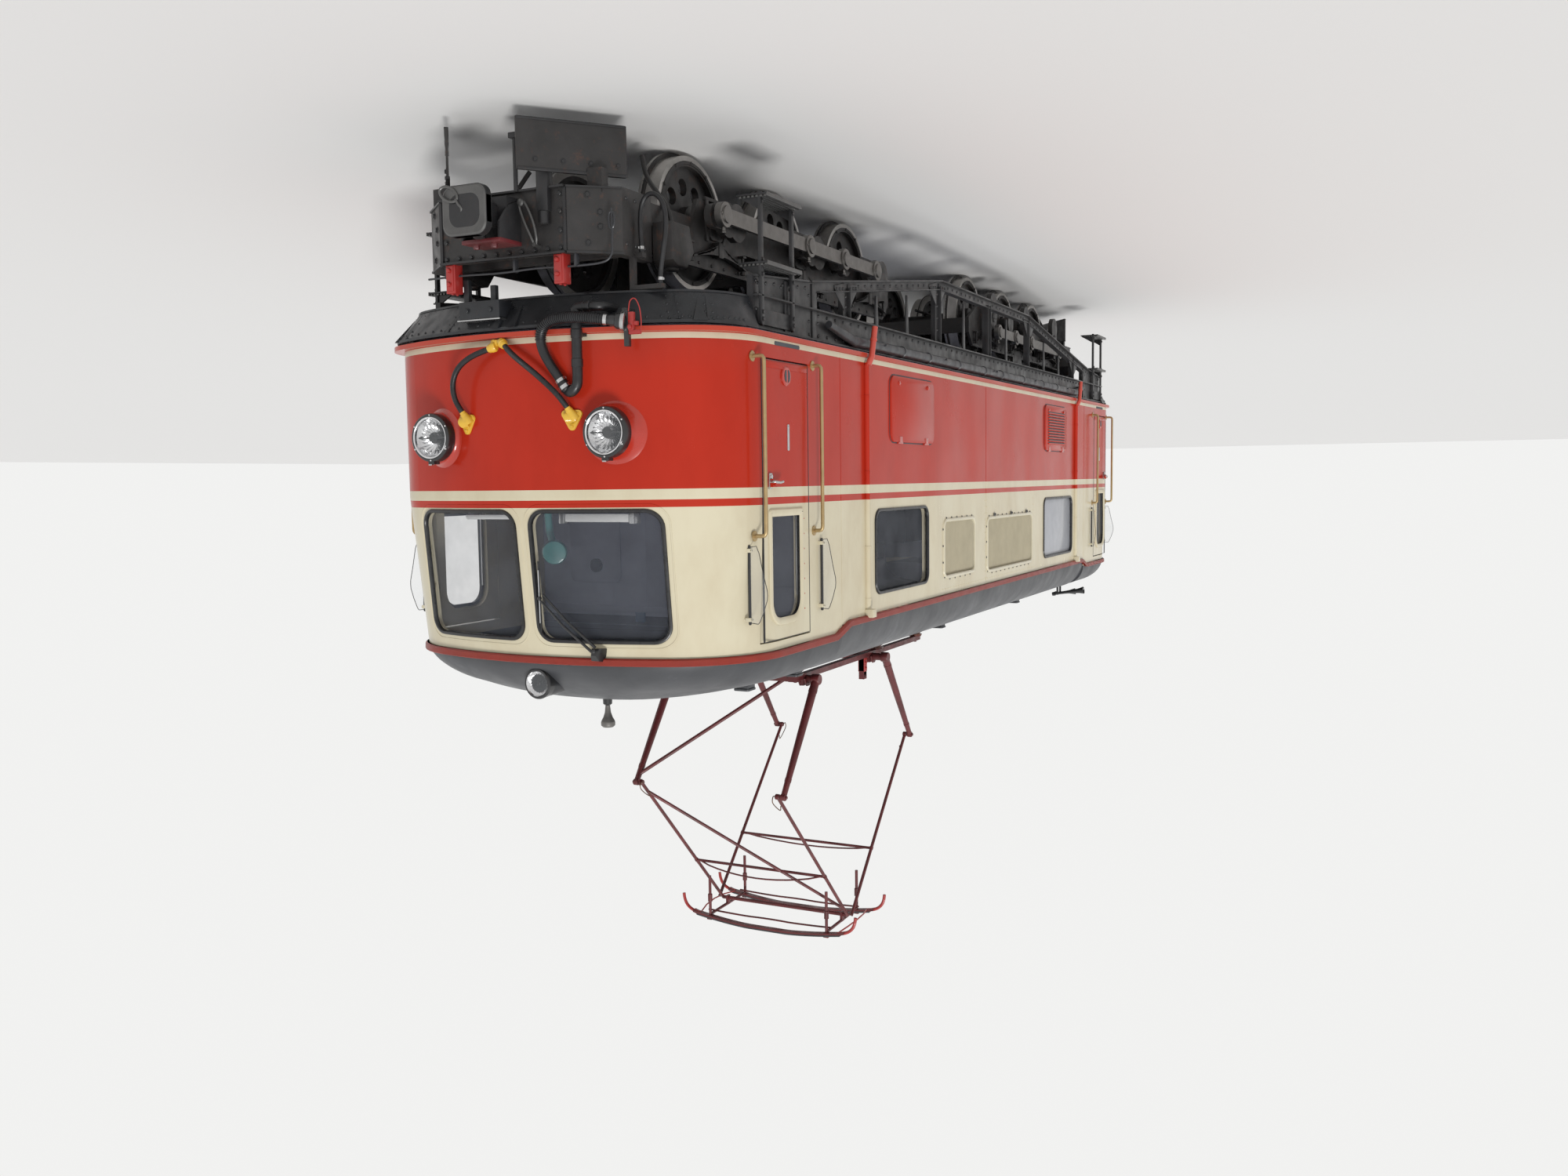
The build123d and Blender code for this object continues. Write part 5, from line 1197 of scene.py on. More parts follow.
# Insulators and fittings of the pantograph base: pivot bearings, end plates, latch post and lever
sheds, fittings, latch = meshes(3)
for dx in (-1.720, -0.780, 0.780):
    for t in (-1, 1):
        x, y = PANTO_X + dx, t * 0.500
        profile = [(-0.190, 0.046)]
        for k in range(5):
            z = -0.170 + 0.026 * k
            profile += [(z, 0.047), (z + 0.004, 0.062), (z + 0.010, 0.062), (z + 0.018, 0.047)]
        sheds.lathe(profile + [(-0.040, 0.046)], (x, y, PIVOT_Z), UP, 28)
        fittings.lathe([(-0.052, 0.056), (-0.044, 0.056), (-0.040, 0.040)], (x, y, PIVOT_Z), UP, 24)
        fittings.bolts([(x, y, PIVOT_Z - 0.005)], UP, 0.014, 0.014)
for s in (-1, 1):
    for t in (-1, 1):
        x, y = PANTO_X + s * PIVOT_DX, t * 0.500
        outline = [(x - 0.060, PIVOT_Z - 0.008), (x + 0.060, PIVOT_Z - 0.008), (x + 0.045, PIVOT_Z + 0.030),
                   (x + 0.020, PIVOT_Z + 0.050), (x - 0.020, PIVOT_Z + 0.050), (x - 0.045, PIVOT_Z + 0.030)]
        for d in (-0.030, 0.020):
            fittings.plate(outline, y + d, 0.010, 0.002)
        fittings.bolts([(x - 0.048, y, PIVOT_Z - 0.006), (x + 0.048, y, PIVOT_Z - 0.006)], UP, 0.009, 0.010)
x, y = PANTO_X - 0.490, -0.500
latch.block((x - 0.030, y - 0.028, PIVOT_Z - 0.008), (x + 0.030, y + 0.028, PIVOT_Z + 0.105), 0.006)
fork = [(x - 0.028, PIVOT_Z + 0.10), (x + 0.028, PIVOT_Z + 0.10), (x + 0.022, PIVOT_Z + 0.167),
        (x + 0.004, PIVOT_Z + 0.130), (x - 0.022, PIVOT_Z + 0.167)]
for d in (-0.022, 0.010):
    latch.plate(fork, y + d + 0.012, 0.012, 0.002)
latch.bolts([(x, y - 0.028, PIVOT_Z + 0.03), (x, y - 0.028, PIVOT_Z + 0.075)], SIDE_OUT, 0.010, 0.008)
make_pieces([
    (sheds, "panto_insulators", "porcelain", "pantograph_red"),
    (fittings, "panto_base_fittings", "panto", "pantograph_red"),
    (latch, "panto_latch", "signal_red", "pantograph_red")], turn=False)


# Filter grilles: pleated cream mats in raised rounded frames, with rivets at even steps round them
def grille(opening, title, latches, *nodes):
    x, width, z, height, _ = opening
    mat, frame_, fixings = meshes(3)
    pitch, rivet_pitch = 0.0210, 0.13
    count = int((width - 0.03) / pitch)
    columns = [(x - count * pitch / 2 + t * pitch, -1.193 + 0.018 * (0.5 - 0.5 * cos(2 * pi * t)) ** 0.8)
               for t in [k / 8 for k in range(count * 8 + 1)]]
    n = len(columns)
    mat.add([(cx, cy, cz) for cz in (z - height / 2 + 0.012, z + height / 2 - 0.012) for cx, cy in columns],
            [(k, k + 1, n + k + 1, n + k) for k in range(n - 1)])
    mat.done(title + "_mat", "mat", "grille_cream")
    side_ring(frame_, panel_outline(opening, 0.004),
              [(-0.015, -0.014), (0.014, -0.014), (0.014, 0.003), (0.010, 0.009), (0.003, 0.012),
               (-0.008, 0.011), (-0.015, 0.004)])
    outline = panel_outline(opening, 0.020, 2)
    total = sum(gap(a, b) for a, b in edges_of(outline))
    step, at, run = total / max(12, round(total / rivet_pitch)), 0.0, 0.0
    places = []
    for a, b in edges_of(outline):
        length = gap(a, b)
        while at <= run + length:
            share = (at - run) / length
            places.append((a[0] + (b[0] - a[0]) * share, -1.201, a[1] + (b[1] - a[1]) * share))
            at += step
        run += length
    fixings.rivets(places, SIDE_OUT, 0.0095, 0.006)
    low = z - height / 2
    for lx in latches:
        fixings.block((lx - 0.020, -1.212, low - 0.042), (lx + 0.020, -1.199, low - 0.014), 0.003)
        fixings.rod((lx, -1.212, low - 0.028), (lx, -1.220, low - 0.028), 0.008)
    make_pieces([(frame_, title + "_frame", "cream", "grille_cream", *nodes),
                 (fixings, title + "_fixings", "buffer", "grille_cream")])


def far_mat(title):
    """The same mat on the far side, turned half round."""
    source = bpy.data.objects[title + "_mat"].data
    mat = Mesh()
    mat.add([v.co for v in source.vertices], [p.vertices for p in source.polygons])
    mat.turned(keep=False)
    mat.done(title + "_mat_far", "mat", "grille_cream")


grille(LARGE_GRILLE, "large_grille", (-1.00, -0.49, 0.03), "filter_grilles")
grille(SMALL_GRILLE, "small_grille", ())
far_mat("large_grille")
far_mat("small_grille")

# Hatches: raised lids, one with louvres. A dark line round the foot of each lid and dark strips under the
# louvres are painted shade.
lids, hinges, hatch_shade = meshes(3)
SHADE_LINE = [(-0.0035, -0.004), (0.0035, -0.004), (0.0035, 0.0015), (-0.0035, 0.0015)]
LOUVRE = [(0.0, 0.0), (0.0, 0.0170), (0.0045, 0.0155), (0.012, 0.0085), (0.0125, 0.004), (0.0118, 0.0015)]
LID_Y = -1.2135
for opening in (HATCH, LOUVRE_HATCH):
    lids.plate(panel_outline(opening), -1.1985, 0.0155, 0.007)
    # Dark line round the foot of the lid: painted shade
    side_ring(hatch_shade, panel_outline(opening, 0.005), SHADE_LINE)
    x, _, z, height, _ = opening
    low, high = z - height / 2, z + height / 2
    for hx in (x - 0.27, x + 0.27):
        hinges.rod((hx - 0.045, -1.208, high + 0.004), (hx + 0.045, -1.208, high + 0.004), 0.008)
        hinges.block((hx - 0.030, -1.2165, high - 0.040), (hx + 0.030, -1.2125, high + 0.002), 0.002)
    for lx in (x - 0.30, x + 0.30):
        hinges.lathe([(0, 0.016), (0.006, 0.016), (0.010, 0.010)], (lx, -1.213, low + 0.050), SIDE_OUT, 18)
        hinges.block((lx - 0.012, -1.224, low + 0.047), (lx + 0.012, -1.220, low + 0.053), 0.001)
x, _, z, _, _ = LOUVRE_HATCH
for k in range(12):
    low = z - 0.150 + 0.0272 * k
    lids.rings([[(lx, LID_Y - deep * b if deep else LID_Y + 0.001, low + a) for b, a in LOUVRE]
                for lx, deep in ((x - 0.335, 0), (x - 0.327, 1), (x + 0.327, 1), (x + 0.335, 0))])
    # Dark strip under each louvre: painted shade in the opening behind it
    hatch_shade.block((x - 0.328, -1.2160, low - 0.0100), (x + 0.328, -1.2132, low + 0.0012))
make_pieces([(lids, "hatch_lids", "livery", "body_orange", "side_hatches"),
             (hinges, "hatch_hinges", "orange", "body_orange"),
             (hatch_shade, "hatch_painted_shade", "inside_dark", "body_orange")])


# Doors: window frame, drop light, handle, kick strip, round vent with painted shade in its slots, finger
# plate
def door_pieces(end, side):
    body = f"door_{end}_{side}"
    rim, sash, pane, seal, handle, vent, plate, moons, edge = meshes(9)
    x, width, z, height, radius = DOOR_WIN
    side_ring(rim, rounded(x, z, width + 0.006, height + 0.006, [0.012, radius, radius, 0.012], 8),
              [(-0.030, -0.002), (0.014, -0.012), (0.014, 0.006), (0.008, 0.013), (-0.006, 0.015),
               (-0.022, 0.010), (-0.030, 0.003)])
    rim.block((DOOR_X0 + 0.020, -1.2045, DOOR_Z0 + 0.018), (DOOR_X1 - 0.020, -1.1985, DOOR_Z0 + 0.054), 0.002)
    seal_r = radius - 0.015
    side_ring(seal, rounded(x, z, width - 0.030, height - 0.030, [0.010, seal_r, seal_r, 0.010], 8),
              [(-0.012, -0.016), (0.008, -0.016), (0.008, 0.0), (-0.012, 0.002)])
    z0, z1 = z - height / 2 + 0.004, z + 0.185
    for x0, x1, top in ((x - 0.196, x + 0.196, z0 + 0.024), (x - 0.196, x - 0.184, z1),
                        (x + 0.184, x + 0.196, z1)):
        sash.block((x0, -1.188, z0), (x1, -1.176, top), 0.003)
    pane.plate(rounded(x, z, width - 0.012, height - 0.012, [0.012, radius, radius, 0.012], 6), -1.176, 0.006)
    handle.tube(smooth_line([(4.410, -1.206, 2.002), (4.408, -1.236, 2.004), (4.392, -1.243, 2.006),
                             (4.350, -1.243, 2.008), (4.306, -1.239, 2.004)]), 0.0085, 12)
    handle.block((4.384, -1.212, 1.955), (4.420, -1.199, 2.045), 0.004)
    handle.lathe([(0, 0.013), (0.006, 0.012)], (4.402, -1.212, 1.975), SIDE_OUT, 16)
    plate_x, plate_z, vent_x, vent_z = 4.151, 1.749, 4.177, 1.398
    plate.plate(rounded(plate_x, plate_z, 0.024, 0.152, 0.008, 3), -1.2005, 0.004, 0.001)
    plate.bolts([(plate_x, -1.2045, plate_z + 0.060 * k) for k in (-1, 1)], SIDE_OUT, 0.004, 0.002)
    vent.lathe([(0, 0.056), (0.006, 0.056), (0.012, 0.050), (0.013, 0.020), (0.013, 0.002)],
               (vent_x, -1.1995, vent_z), SIDE_OUT, 30)
    vent.rivets([(x - width / 2 - 0.040, -1.200, z - height / 2 + 0.05 + 0.09 * k) for k in range(7)],
                SIDE_OUT, 0.005, 0.003)
    # Dark half-moon plates on the vent: painted shade in its slots
    for m in (-1, 1):
        moons.plate([(vent_x + m * (0.010 + 0.026 * cos(t)), vent_z + 0.036 * sin(t))
                     for t in evenly(-pi / 2, pi / 2, 10)], -1.2128, 0.001)
    corners = [(DOOR_X0 + 0.006, DOOR_Z0 + 0.010), (DOOR_X0 + 0.006, DOOR_Z1 - 0.010),
               (DOOR_X1 - 0.006, DOOR_Z1 - 0.010), (DOOR_X1 - 0.006, DOOR_Z0 + 0.010)]
    side_ring(edge, corners, [(-0.0035, -0.008), (0.0035, -0.008), (0.0035, 0.0015), (-0.0035, 0.0015)])
    for mesh, title, material in (
            (rim, "frame", "livery"), (vent, "vent", "orange"), (plate, "finger_plate", "aluminium"),
            (moons, "vent_slot_shade", "inside_dark"), (edge, "edge", "gasket"), (seal, "seal", "gasket"),
            (sash, "sash", "aluminium"), (pane, "pane", "glass"), (handle, "handle", "steel")):
        if (end, side) in (("front", "right"), ("rear", "left")):
            mesh.mirrored(keep=False)
        if end == "rear":
            mesh.turned(keep=False)
        mesh.done(f"{body}_{title}", material, "door_orange", body)


for end in ("front", "rear"):
    for side in ("left", "right"):
        door_pieces(end, side)

# The slot in the sill under each door: a thin dark plate, painted shade
dark = Mesh()
dark.plate(rounded(4.150, SKIRT_Z + 0.052, 0.330, 0.022, 0.010, 4), -1.2005, 0.002)
make_pieces([(dark, "sill_slot_shade", "inside_dark", "frame_black")], mirror=True)

# Rivets and seams of the sides
rivets, seam = meshes(2)
for x0, pitch_x, z0, pitch_z, count in (
        (0.239, 0, 2.14, 0.055, 14), (0.295, 0, 2.14, 0.055, 14), (-1.30, 0.066, 2.865, 0, 42),
        (-1.262, 0, 2.14, 0.060, 12)):
    rivets.rivets([(x0 + pitch_x * k, -1.2, z0 + pitch_z * k) for k in range(count)], SIDE_OUT, 0.0065, 0.004)
for x, z0, z1 in ((0.267, 1.24, 2.89), (-CAB_JOINT_X, 1.20, 2.90), (CAB_JOINT_X, 1.20, 2.90)):
    seam.block((x - 0.0015, -1.2016, z0), (x + 0.0015, -1.1990, z1))
make_pieces([(rivets, "side_rivets", "livery", "body_orange"), (seam, "side_seams", "livery", "body_orange")])


# Sockets and dummy plugs of the jumper cables
def cord_end(name, last):
    """Where a cord starts or ends, and the direction outwards from it."""
    points = [Vector(p) / 1000 for p in ROUTES[name]]
    if last:
        return points[-1], (points[-1] - points[-2]).normalized()
    return points[0], (points[0] - points[1]).normalized()


sockets, socket_bolts, caps = meshes(3)
for name in ("jumper_cable_left", "jumper_cable_right"):
    mouth, out = cord_end(name, False)
    sockets.lathe([(0.0, 0.0195), (0.006, 0.0215), (0.014, 0.0215), (0.020, 0.025), (0.050, 0.031),
                   (0.064, 0.031)], mouth, out, 28)
    caps.lathe([(-0.002, 0.0165), (0.010, 0.0185), (0.014, 0.0185)], mouth - out * 0.012, out, 20)
    root = mouth + out * 0.052
    normal = nose_normal(mouth.y, root.z + 0.004)
    across = Vector(UP).cross(normal).normalized()
    up = normal.cross(across)
    foot = nose_point(mouth.y, root.z + 0.004, -0.002)
    lobes = [pi / 2 + 2 * pi * k / 3 for k in range(3)]
    base = [(0.045 * cos(t) + 0.022 * cos(a), 0.045 * sin(t) + 0.022 * sin(a))
            for t in lobes for a in [t - pi / 3 + 2 * pi / 3 * m / 6 for m in range(7)]]
    sockets.slab(base, foot, across, up, 0.014, 0.003)
    socket_bolts.bolts([foot + normal * 0.014 + 0.045 * (cos(t) * across + sin(t) * up) for t in lobes],
                       normal, 0.0085, 0.007)
    sockets.tube([foot + normal * 0.004, foot + normal * 0.030 + Vector((0, 0, -0.002)), root - out * 0.004],
                 [0.040, 0.035, 0.031], 28)
    sockets.lathe([(-0.004, 0.0185), (0.004, 0.0235), (0.018, 0.0245), (0.020, 0.0270), (0.040, 0.0275),
                   (0.048, 0.0225)], *cord_end(name, True), 26)
for y in (0.072, 0.108):
    x = nose_x(y, 1.222)
    sockets.block((x - 0.006, y - 0.019, 1.202), (x + 0.046, y + 0.019, 1.238), 0.007)
for y in (0.066, 0.114):
    caps.lathe([(0.0, 0.024), (0.010, 0.024), (0.016, 0.018), (0.018, 0.004)],
               (nose_x(y, 1.20) + 0.030, y, 1.222), (1, 0.15, 0.3), 24)
make_pieces([
    (sockets, "socket_bodies", "yellow", "socket_yellow", "jumper_sockets"),
    (socket_bolts, "socket_bolts", "yellow", "socket_yellow"),
    (caps, "socket_caps", "yellow", "socket_yellow")], turn=False)

# Heater pipe with its elbow, and the coupling head with its lever
pipe, clips, coupling, handle, wire, grip = meshes(6)
PIPE_X, PIPE_Y = 5.150, -0.433
start, into = cord_end("heater_hose", False)
line = [(PIPE_X, PIPE_Y, z) for z in (1.065, 1.20, 1.35, 1.430)] + [
    (PIPE_X, -0.427, 1.472), (5.151, -0.400, 1.503), start + into * 0.050, start + into * 0.012]
pipe.tube(smooth_line(line, 5), 0.0280, 24)
pipe.tube(smooth_line([(PIPE_X, PIPE_Y, 1.080), (5.149, -0.445, 1.063), (5.135, -0.520, 1.060),
                       (5.125, -0.570, 1.060),
                       (5.060, -0.583, 1.060), (4.960, -0.590, 1.060)], 5), 0.0260, 20)
pipe.lathe([(-0.012, 0.0290), (0.0, 0.0325), (0.034, 0.0325), (0.042, 0.0280)], start, into, 24)
for z in (1.20, 1.355):
    pipe.lathe(collar(0.024, 0.0280, 0.020, 0.0315), (PIPE_X, PIPE_Y, z), UP, 24)
pipe.block((5.085, -0.456, 1.190), (5.155, -0.410, 1.212), 0.003)
for y in (-0.475, -0.515):
    pipe.lathe(collar(0.009, 0.0260, 0.006, 0.0300), (5.142, y, 1.060), ACROSS, 24)
clips.lathe(band(0.010, 0.0338), start + into * 0.018, into, 28)
at, into = cord_end("heater_hose", True)
coupling.lathe([(-0.004, 0.0285), (0.010, 0.0310), (0.026, 0.0310), (0.030, 0.040), (0.044, 0.046),
                (0.060, 0.046), (0.066, 0.036)], at, into, 32)
clips.lathe([(0.058, 0.050), (0.062, 0.0525), (0.078, 0.0525), (0.082, 0.046), (0.082, 0.034),
             (0.070, 0.032)], at, into, 36)
lever = at + into * 0.090
for mesh, low, high, bevel in (
        (grip, (-0.016, -0.016, -0.060), (0.016, 0.012, 0.130), 0.005),
        (handle, (-0.012, -0.085, 0.045), (0.012, -0.014, 0.068), 0.006),
        (handle, (-0.014, -0.046, -0.050), (0.014, -0.014, 0.050), 0.006),
        (handle, (-0.010, -0.070, 0.000), (0.010, -0.040, 0.022), 0.004)):
    mesh.block(lever + Vector(low), lever + Vector(high), bevel)
handle.lathe([(0, 0.012), (0.014, 0.012), (0.018, 0.006)], lever + Vector((0.014, -0.030, 0.030)), AHEAD, 16)
hang = [(0.0, -0.084, 0.056), (0.006, -0.092, 0.0), (0.010, -0.085, -0.070), (0.012, -0.060, -0.115),
        (0.012, -0.030, -0.105), (0.012, -0.018, -0.052)]
wire.tube(smooth_line([lever + Vector(q) for q in hang]), 0.0032, 8)
grip.block((4.900, -0.708, 1.075), (5.100, -0.690, 1.144), 0.004)
make_pieces([
    (pipe, "heater_pipe", "hose", "frame_black", "heater_fittings"),
    (clips, "heater_clips", "steel", "lamp_chrome"),
    (coupling, "heater_coupling", "black", "frame_black"),
    (handle, "heater_lever", "signal_red", "gutter_red"),
    (wire, "heater_release_wire", "signal_red", "gutter_red"), (grip, "heater_grip", "black", "frame_black")],
            turn=False)

# Wiper boxes, arms and blades
boxes, arms, blades = meshes(3)
x = nose_x(-0.430, 2.950)
boxes.rings([[(x + dx + 0.5 * dz * w, -0.425 + dy * w, 2.952 + dz * h + drop)
              for dy, dz in ((-1, -1), (-0.6, 1), (0.6, 1), (1, -1))]
             for dx, w, h, drop in ((-0.012, 0.046, 0.038, 0.0), (0.030, 0.042, 0.034, -0.004),
                                    (0.058, 0.026, 0.018, -0.020))])
boxes.lathe([(0, 0.017), (0.016, 0.015), (0.022, 0.007)], (x + 0.042, -0.415, 2.930), (1, 0, -0.2), 18)
hub, hold = Vector((x + 0.054, -0.415, 2.930)), nose_point(-0.085, 2.640, 0.016)
for shift in (0.0, 1.0):
    start = hub + Vector((0, 0.012 - 0.026 * shift, -0.024 * shift))
    stop = hold + Vector((0, -0.004 - 0.020 * shift, 0.010 - 0.034 * shift))
    arms.tube([start, (start + stop) / 2 + Vector((0.022, 0, 0)), stop], [0.0085, 0.0075, 0.0060], 10)
arms.lathe(collar(0.010, 0.004, 0.006, 0.011), hold, AHEAD, 16)
arms.tube([nose_point(-0.070 - 0.020 * k / 6, 2.830 - 0.400 * k / 6, 0.004) for k in range(7)], 0.0060, 8)
blades.tube([nose_point(-0.073 - 0.018 * k / 4, 2.780 - 0.300 * k / 4, 0.013) for k in range(5)], 0.0032, 8)
make_pieces([(boxes, "wiper_boxes", "black", "frame_black"), (arms, "wiper_arms", "black", "frame_black"),
             (blades, "wiper_blades", "aluminium", "lamp_chrome")])

# Roof fittings: whistle on the front cab, twin horn across the rear one, small boxes
whistle, mounts, boxes = meshes(3)
WHISTLE_AT = (4.400, -0.070, 3.335)
whistle.lathe([(-0.08, 0.013), (0.020, 0.014), (0.066, 0.019), (0.096, 0.029), (0.118, 0.041), (0.128, 0.044),
               (0.146, 0.043), (0.156, 0.033), (0.158, 0.004)], WHISTLE_AT, UP, 30)
mounts.lathe([(-0.05, 0.030), (0.012, 0.028), (0.022, 0.016)], WHISTLE_AT, UP, 24)
for x, start, end, r1 in ((-4.200, (-0.690, 3.390), (-1.020, 3.340), 0.043),
                          (-4.290, (-0.700, 3.388), (-0.900, 3.364), 0.037)):
    along = Vector((0, end[0] - start[0], end[1] - start[1]))
    length = along.length
    mounts.lathe([(-0.045, 0.006), (-0.040, 0.022), (-0.006, 0.024), (0.0, 0.014), (length * 0.35, 0.016),
                  (length * 0.65, 0.021), (length * 0.85, 0.030), (length, r1), (length + 0.002, r1 - 0.003),
                  (length * 0.92, 0.030), (length * 0.80, 0.016)], (x, *start), along, 28)
    mounts.rod((x, start[0] - 0.02, start[1] - 0.12), (x, start[0] - 0.02, start[1]), 0.012)
mounts.block((-4.320, -0.735, 3.374), (-4.170, -0.700, 3.398), 0.004)
mounts.block((-4.330, -0.745, 3.250), (-4.160, -0.690, 3.285), 0.006)
for x, top in ((2.820, 3.365), (3.550, 3.355), (-2.760, 3.365), (-0.270, 3.365)):
    boxes.block((x, -0.650, 3.240), (x + 0.100, -0.550, top - 0.012), 0.006)
    boxes.slab(rounded(x + 0.050, -0.600, 0.114, 0.114, 0.018, 4), (0, 0, top - 0.014), AHEAD, ACROSS, 0.014,
               0.005)
make_pieces([(whistle, "whistle", "rod_steel", "lamp_chrome"),
             (mounts, "roof_mounts", "black", "frame_black", "roof_fittings"),
             (boxes, "roof_boxes", "roof", "roof_grey")], turn=False)


# Truss side frames: flange strips, gussets, rivet rows and the post angles
TRUSS_FACE = -1.130
flanges, heads = meshes(2)


def chord_top(x):
    """Upper edge of the bottom chord of the side frame."""
    return 0.543 + max(0.0, abs(x) - 1.260) * 0.1306


def flat_bar(p, q, width, depth):
    """A flat bar on the side frame's face, from one (x, z) to another."""
    (x0, z0), (x1, z1) = p, q
    length = gap(p, q)
    nx, nz = -(z1 - z0) / length * width / 2, (x1 - x0) / length * width / 2
    flanges.plate([(x0 + nx, z0 + nz), (x0 - nx, z0 - nz), (x1 - nx, z1 - nz), (x1 + nx, z1 + nz)],
                  TRUSS_FACE + 0.002, depth, 0.0015)


def rivet_line(p, q, pitch):
    """Rivets on the side frame's face, from one (x, z) to another."""
    (x0, z0), (x1, z1) = p, q
    count = max(1, round(gap(p, q) / pitch))
    heads.rivets([(x0 + (x1 - x0) * k / count, TRUSS_FACE, z0 + (z1 - z0) * k / count)
                  for k in range(count + 1)], SIDE_OUT, 0.011, 0.008)


TOP = (chord_top(0) - 0.004, chord_top(1.26) - 0.004, chord_top(3.568) - 0.004)
TRUSS_BARS = [
    # x and z of both ends, width, depth
    (0.0, 0.474, 1.260, 0.474, 0.012, 0.032), (1.260, 0.474, 3.700, 0.794, 0.012, 0.032),
    (0.0, TOP[0], 1.262, TOP[1], 0.008, 0.022), (1.262, TOP[1], 3.568, TOP[2], 0.008, 0.022),
    (0.0, 0.958, 4.436, 0.958, 0.010, 0.040), (0.0, 1.139, 4.436, 1.139, 0.012, 0.030),
    (3.700, 0.794, 4.436, 0.852, 0.010, 0.026), (3.625, 0.800, 3.625, 1.132, 0.062, 0.010),
    (4.020, 0.835, 4.020, 1.132, 0.050, 0.012)]
TRUSS_RIVETS = [
    # x and z of both ends, pitch
    (0.15, 0.507, 1.06, 0.507, 0.110), (1.62, 0.555, 2.90, 0.722, 0.120), (0.06, 1.105, 3.55, 1.105, 0.130),
    (0.06, 0.985, 3.55, 0.985, 0.130), (3.74, 0.835, 4.38, 0.885, 0.105)] + [
    (x, 0.875, x, 1.110, 0.075) for x in (3.560, 3.690, 3.965, 4.075, 4.395)]
for s in (-1, 1):
    for x0, z0, x1, z1, width, depth in TRUSS_BARS:
        flat_bar((s * x0, z0), (s * x1, z1), width, depth)
    for x0, z0, x1, z1, pitch in TRUSS_RIVETS:
        rivet_line((s * x0, z0), (s * x1, z1), pitch)
    for x in (1.320, 3.120):
        flat_bar((s * (x - 0.034), chord_top(x) - 0.03), (s * (x - 0.034), 0.955), 0.008, 0.026)
        for sign in (-1, 1):
            gusset = [(x + sign * d, chord_top(x + sign * slope) + dz) for d, slope, dz in (
                (0.030, 0, -0.055), (0.190, 0.19, -0.045), (0.170, 0.17, 0.004), (0.036, 0, 0.120))]
            flanges.plate([(s * gx, gz) for gx, gz in gusset], TRUSS_FACE + 0.001, 0.009, 0.002)
            heads.rivets([(s * (x + sign * d), TRUSS_FACE - 0.008, chord_top(x + sign * d) - 0.022)
                          for d in (0.06, 0.11, 0.16)], SIDE_OUT, 0.010, 0.008)
        rivet_line((s * x, chord_top(x) + 0.03), (s * x, 0.945), 0.085)
    for x in (0.62, 1.95, 2.55):
        stay = [(s * (x - 0.03), 0.955), (s * (x + 0.03), 0.955), (s * (x + 0.012), chord_top(x) + 0.03),
                (s * (x - 0.012), chord_top(x) + 0.03)]
        flanges.plate(stay, TRUSS_FACE + 0.020, 0.012, 0.002)
    flat_bar((s * 0.034, 0.52), (s * 0.034, 0.955), 0.008, 0.026)
rivet_line((0.0, 0.57), (0.0, 0.94), 0.085)

# Rings and clips of the air duct
DUCT_Y, DUCT_Z = -1.168, 1.098
rings = Mesh()
for s in (-1, 1):
    for x in (0.25, 0.95, 1.65, 2.20):
        rings.lathe(collar(0.014, 0.0365, 0.010, 0.0415), (s * x, DUCT_Y, DUCT_Z), AHEAD, 28)
    for x in (0.04, 1.32, 2.60):
        rings.block((s * x - 0.012, -1.210, 1.080), (s * x + 0.012, -1.128, 1.088), 0.002)
        rings.bolts([(s * x, -1.208, 1.084)], SIDE_OUT, 0.007, 0.006)
make_pieces([(flanges, "truss_flanges", "frame", "frame_black"),
             (heads, "truss_rivets", "frame", "frame_black"), (rings, "duct_rings", "duct", "frame_black")])


# End aprons: seams, rivet rows, bottom ledge and gussets
def apron_point(u, share, out=0.0):
    """A place on the apron: u runs from -2 at the near corner's side over -1 and 1 at the arc's ends to 2."""
    ends = []
    for centre, radius, corner, join in ((2.820, 2.190, 0.420, 0.3882), (2.865, 2.300, 0.400, 0.4173)):
        if abs(u) <= 1:
            ends.append(Vector((centre + (radius + out) * cos(join * u), (radius + out) * sin(join * u), 0)))
        else:
            turn = join + (pi / 2 - join) * (abs(u) - 1)
            ox, oy = centre + (radius - corner) * cos(join), (radius - corner) * sin(join)
            ends.append(Vector((ox + (corner + out) * cos(turn),
                                (1 if u > 0 else -1) * (oy + (corner + out) * sin(turn)), 0)))
    point = ends[0] + (ends[1] - ends[0]) * share
    return Vector((point.x, point.y, 0.963 + 0.185 * share))


def apron_out(u):
    return (apron_point(u, 0.5, 0.05) - apron_point(u, 0.5)).normalized()


ledge, heads, posts, tops = meshes(4)
us = evenly(-2, 2, 72)
for share, profile in ((0.03, [(-0.004, -0.020), (0.008, -0.020), (0.008, 0.014), (-0.004, 0.016)]),
                       (0.97, [(-0.010, -0.010), (0.006, -0.010), (0.006, 0.004), (-0.010, 0.004)])):
    ledge.strip([apron_point(u, share) for u in us], [apron_out(u) for u in us], profile, closed=False)
for u in (-1.42, -1.02, -0.52, 0.52, 1.02, 1.42):
    ledge.strip([apron_point(u, 0.05), apron_point(u, 0.95)], [apron_out(u)] * 2,
                [(-0.016, -0.004), (0.016, -0.004), (0.016, 0.005), (-0.016, 0.005)], closed=False)
    for du in (-0.018, 0.018):
        beside = u + (du if abs(u) < 1 else 2.5 * du)
        heads.rivets([apron_point(beside, share, 0.001) for share in (0.2, 0.45, 0.7, 0.9)], apron_out(u),
                     0.009, 0.008)
for u in evenly(-1.95, 1.95, 46):
    heads.rivets([apron_point(u, share, 0.0005) for share in (0.14, 0.84)], apron_out(u), 0.009, 0.007)
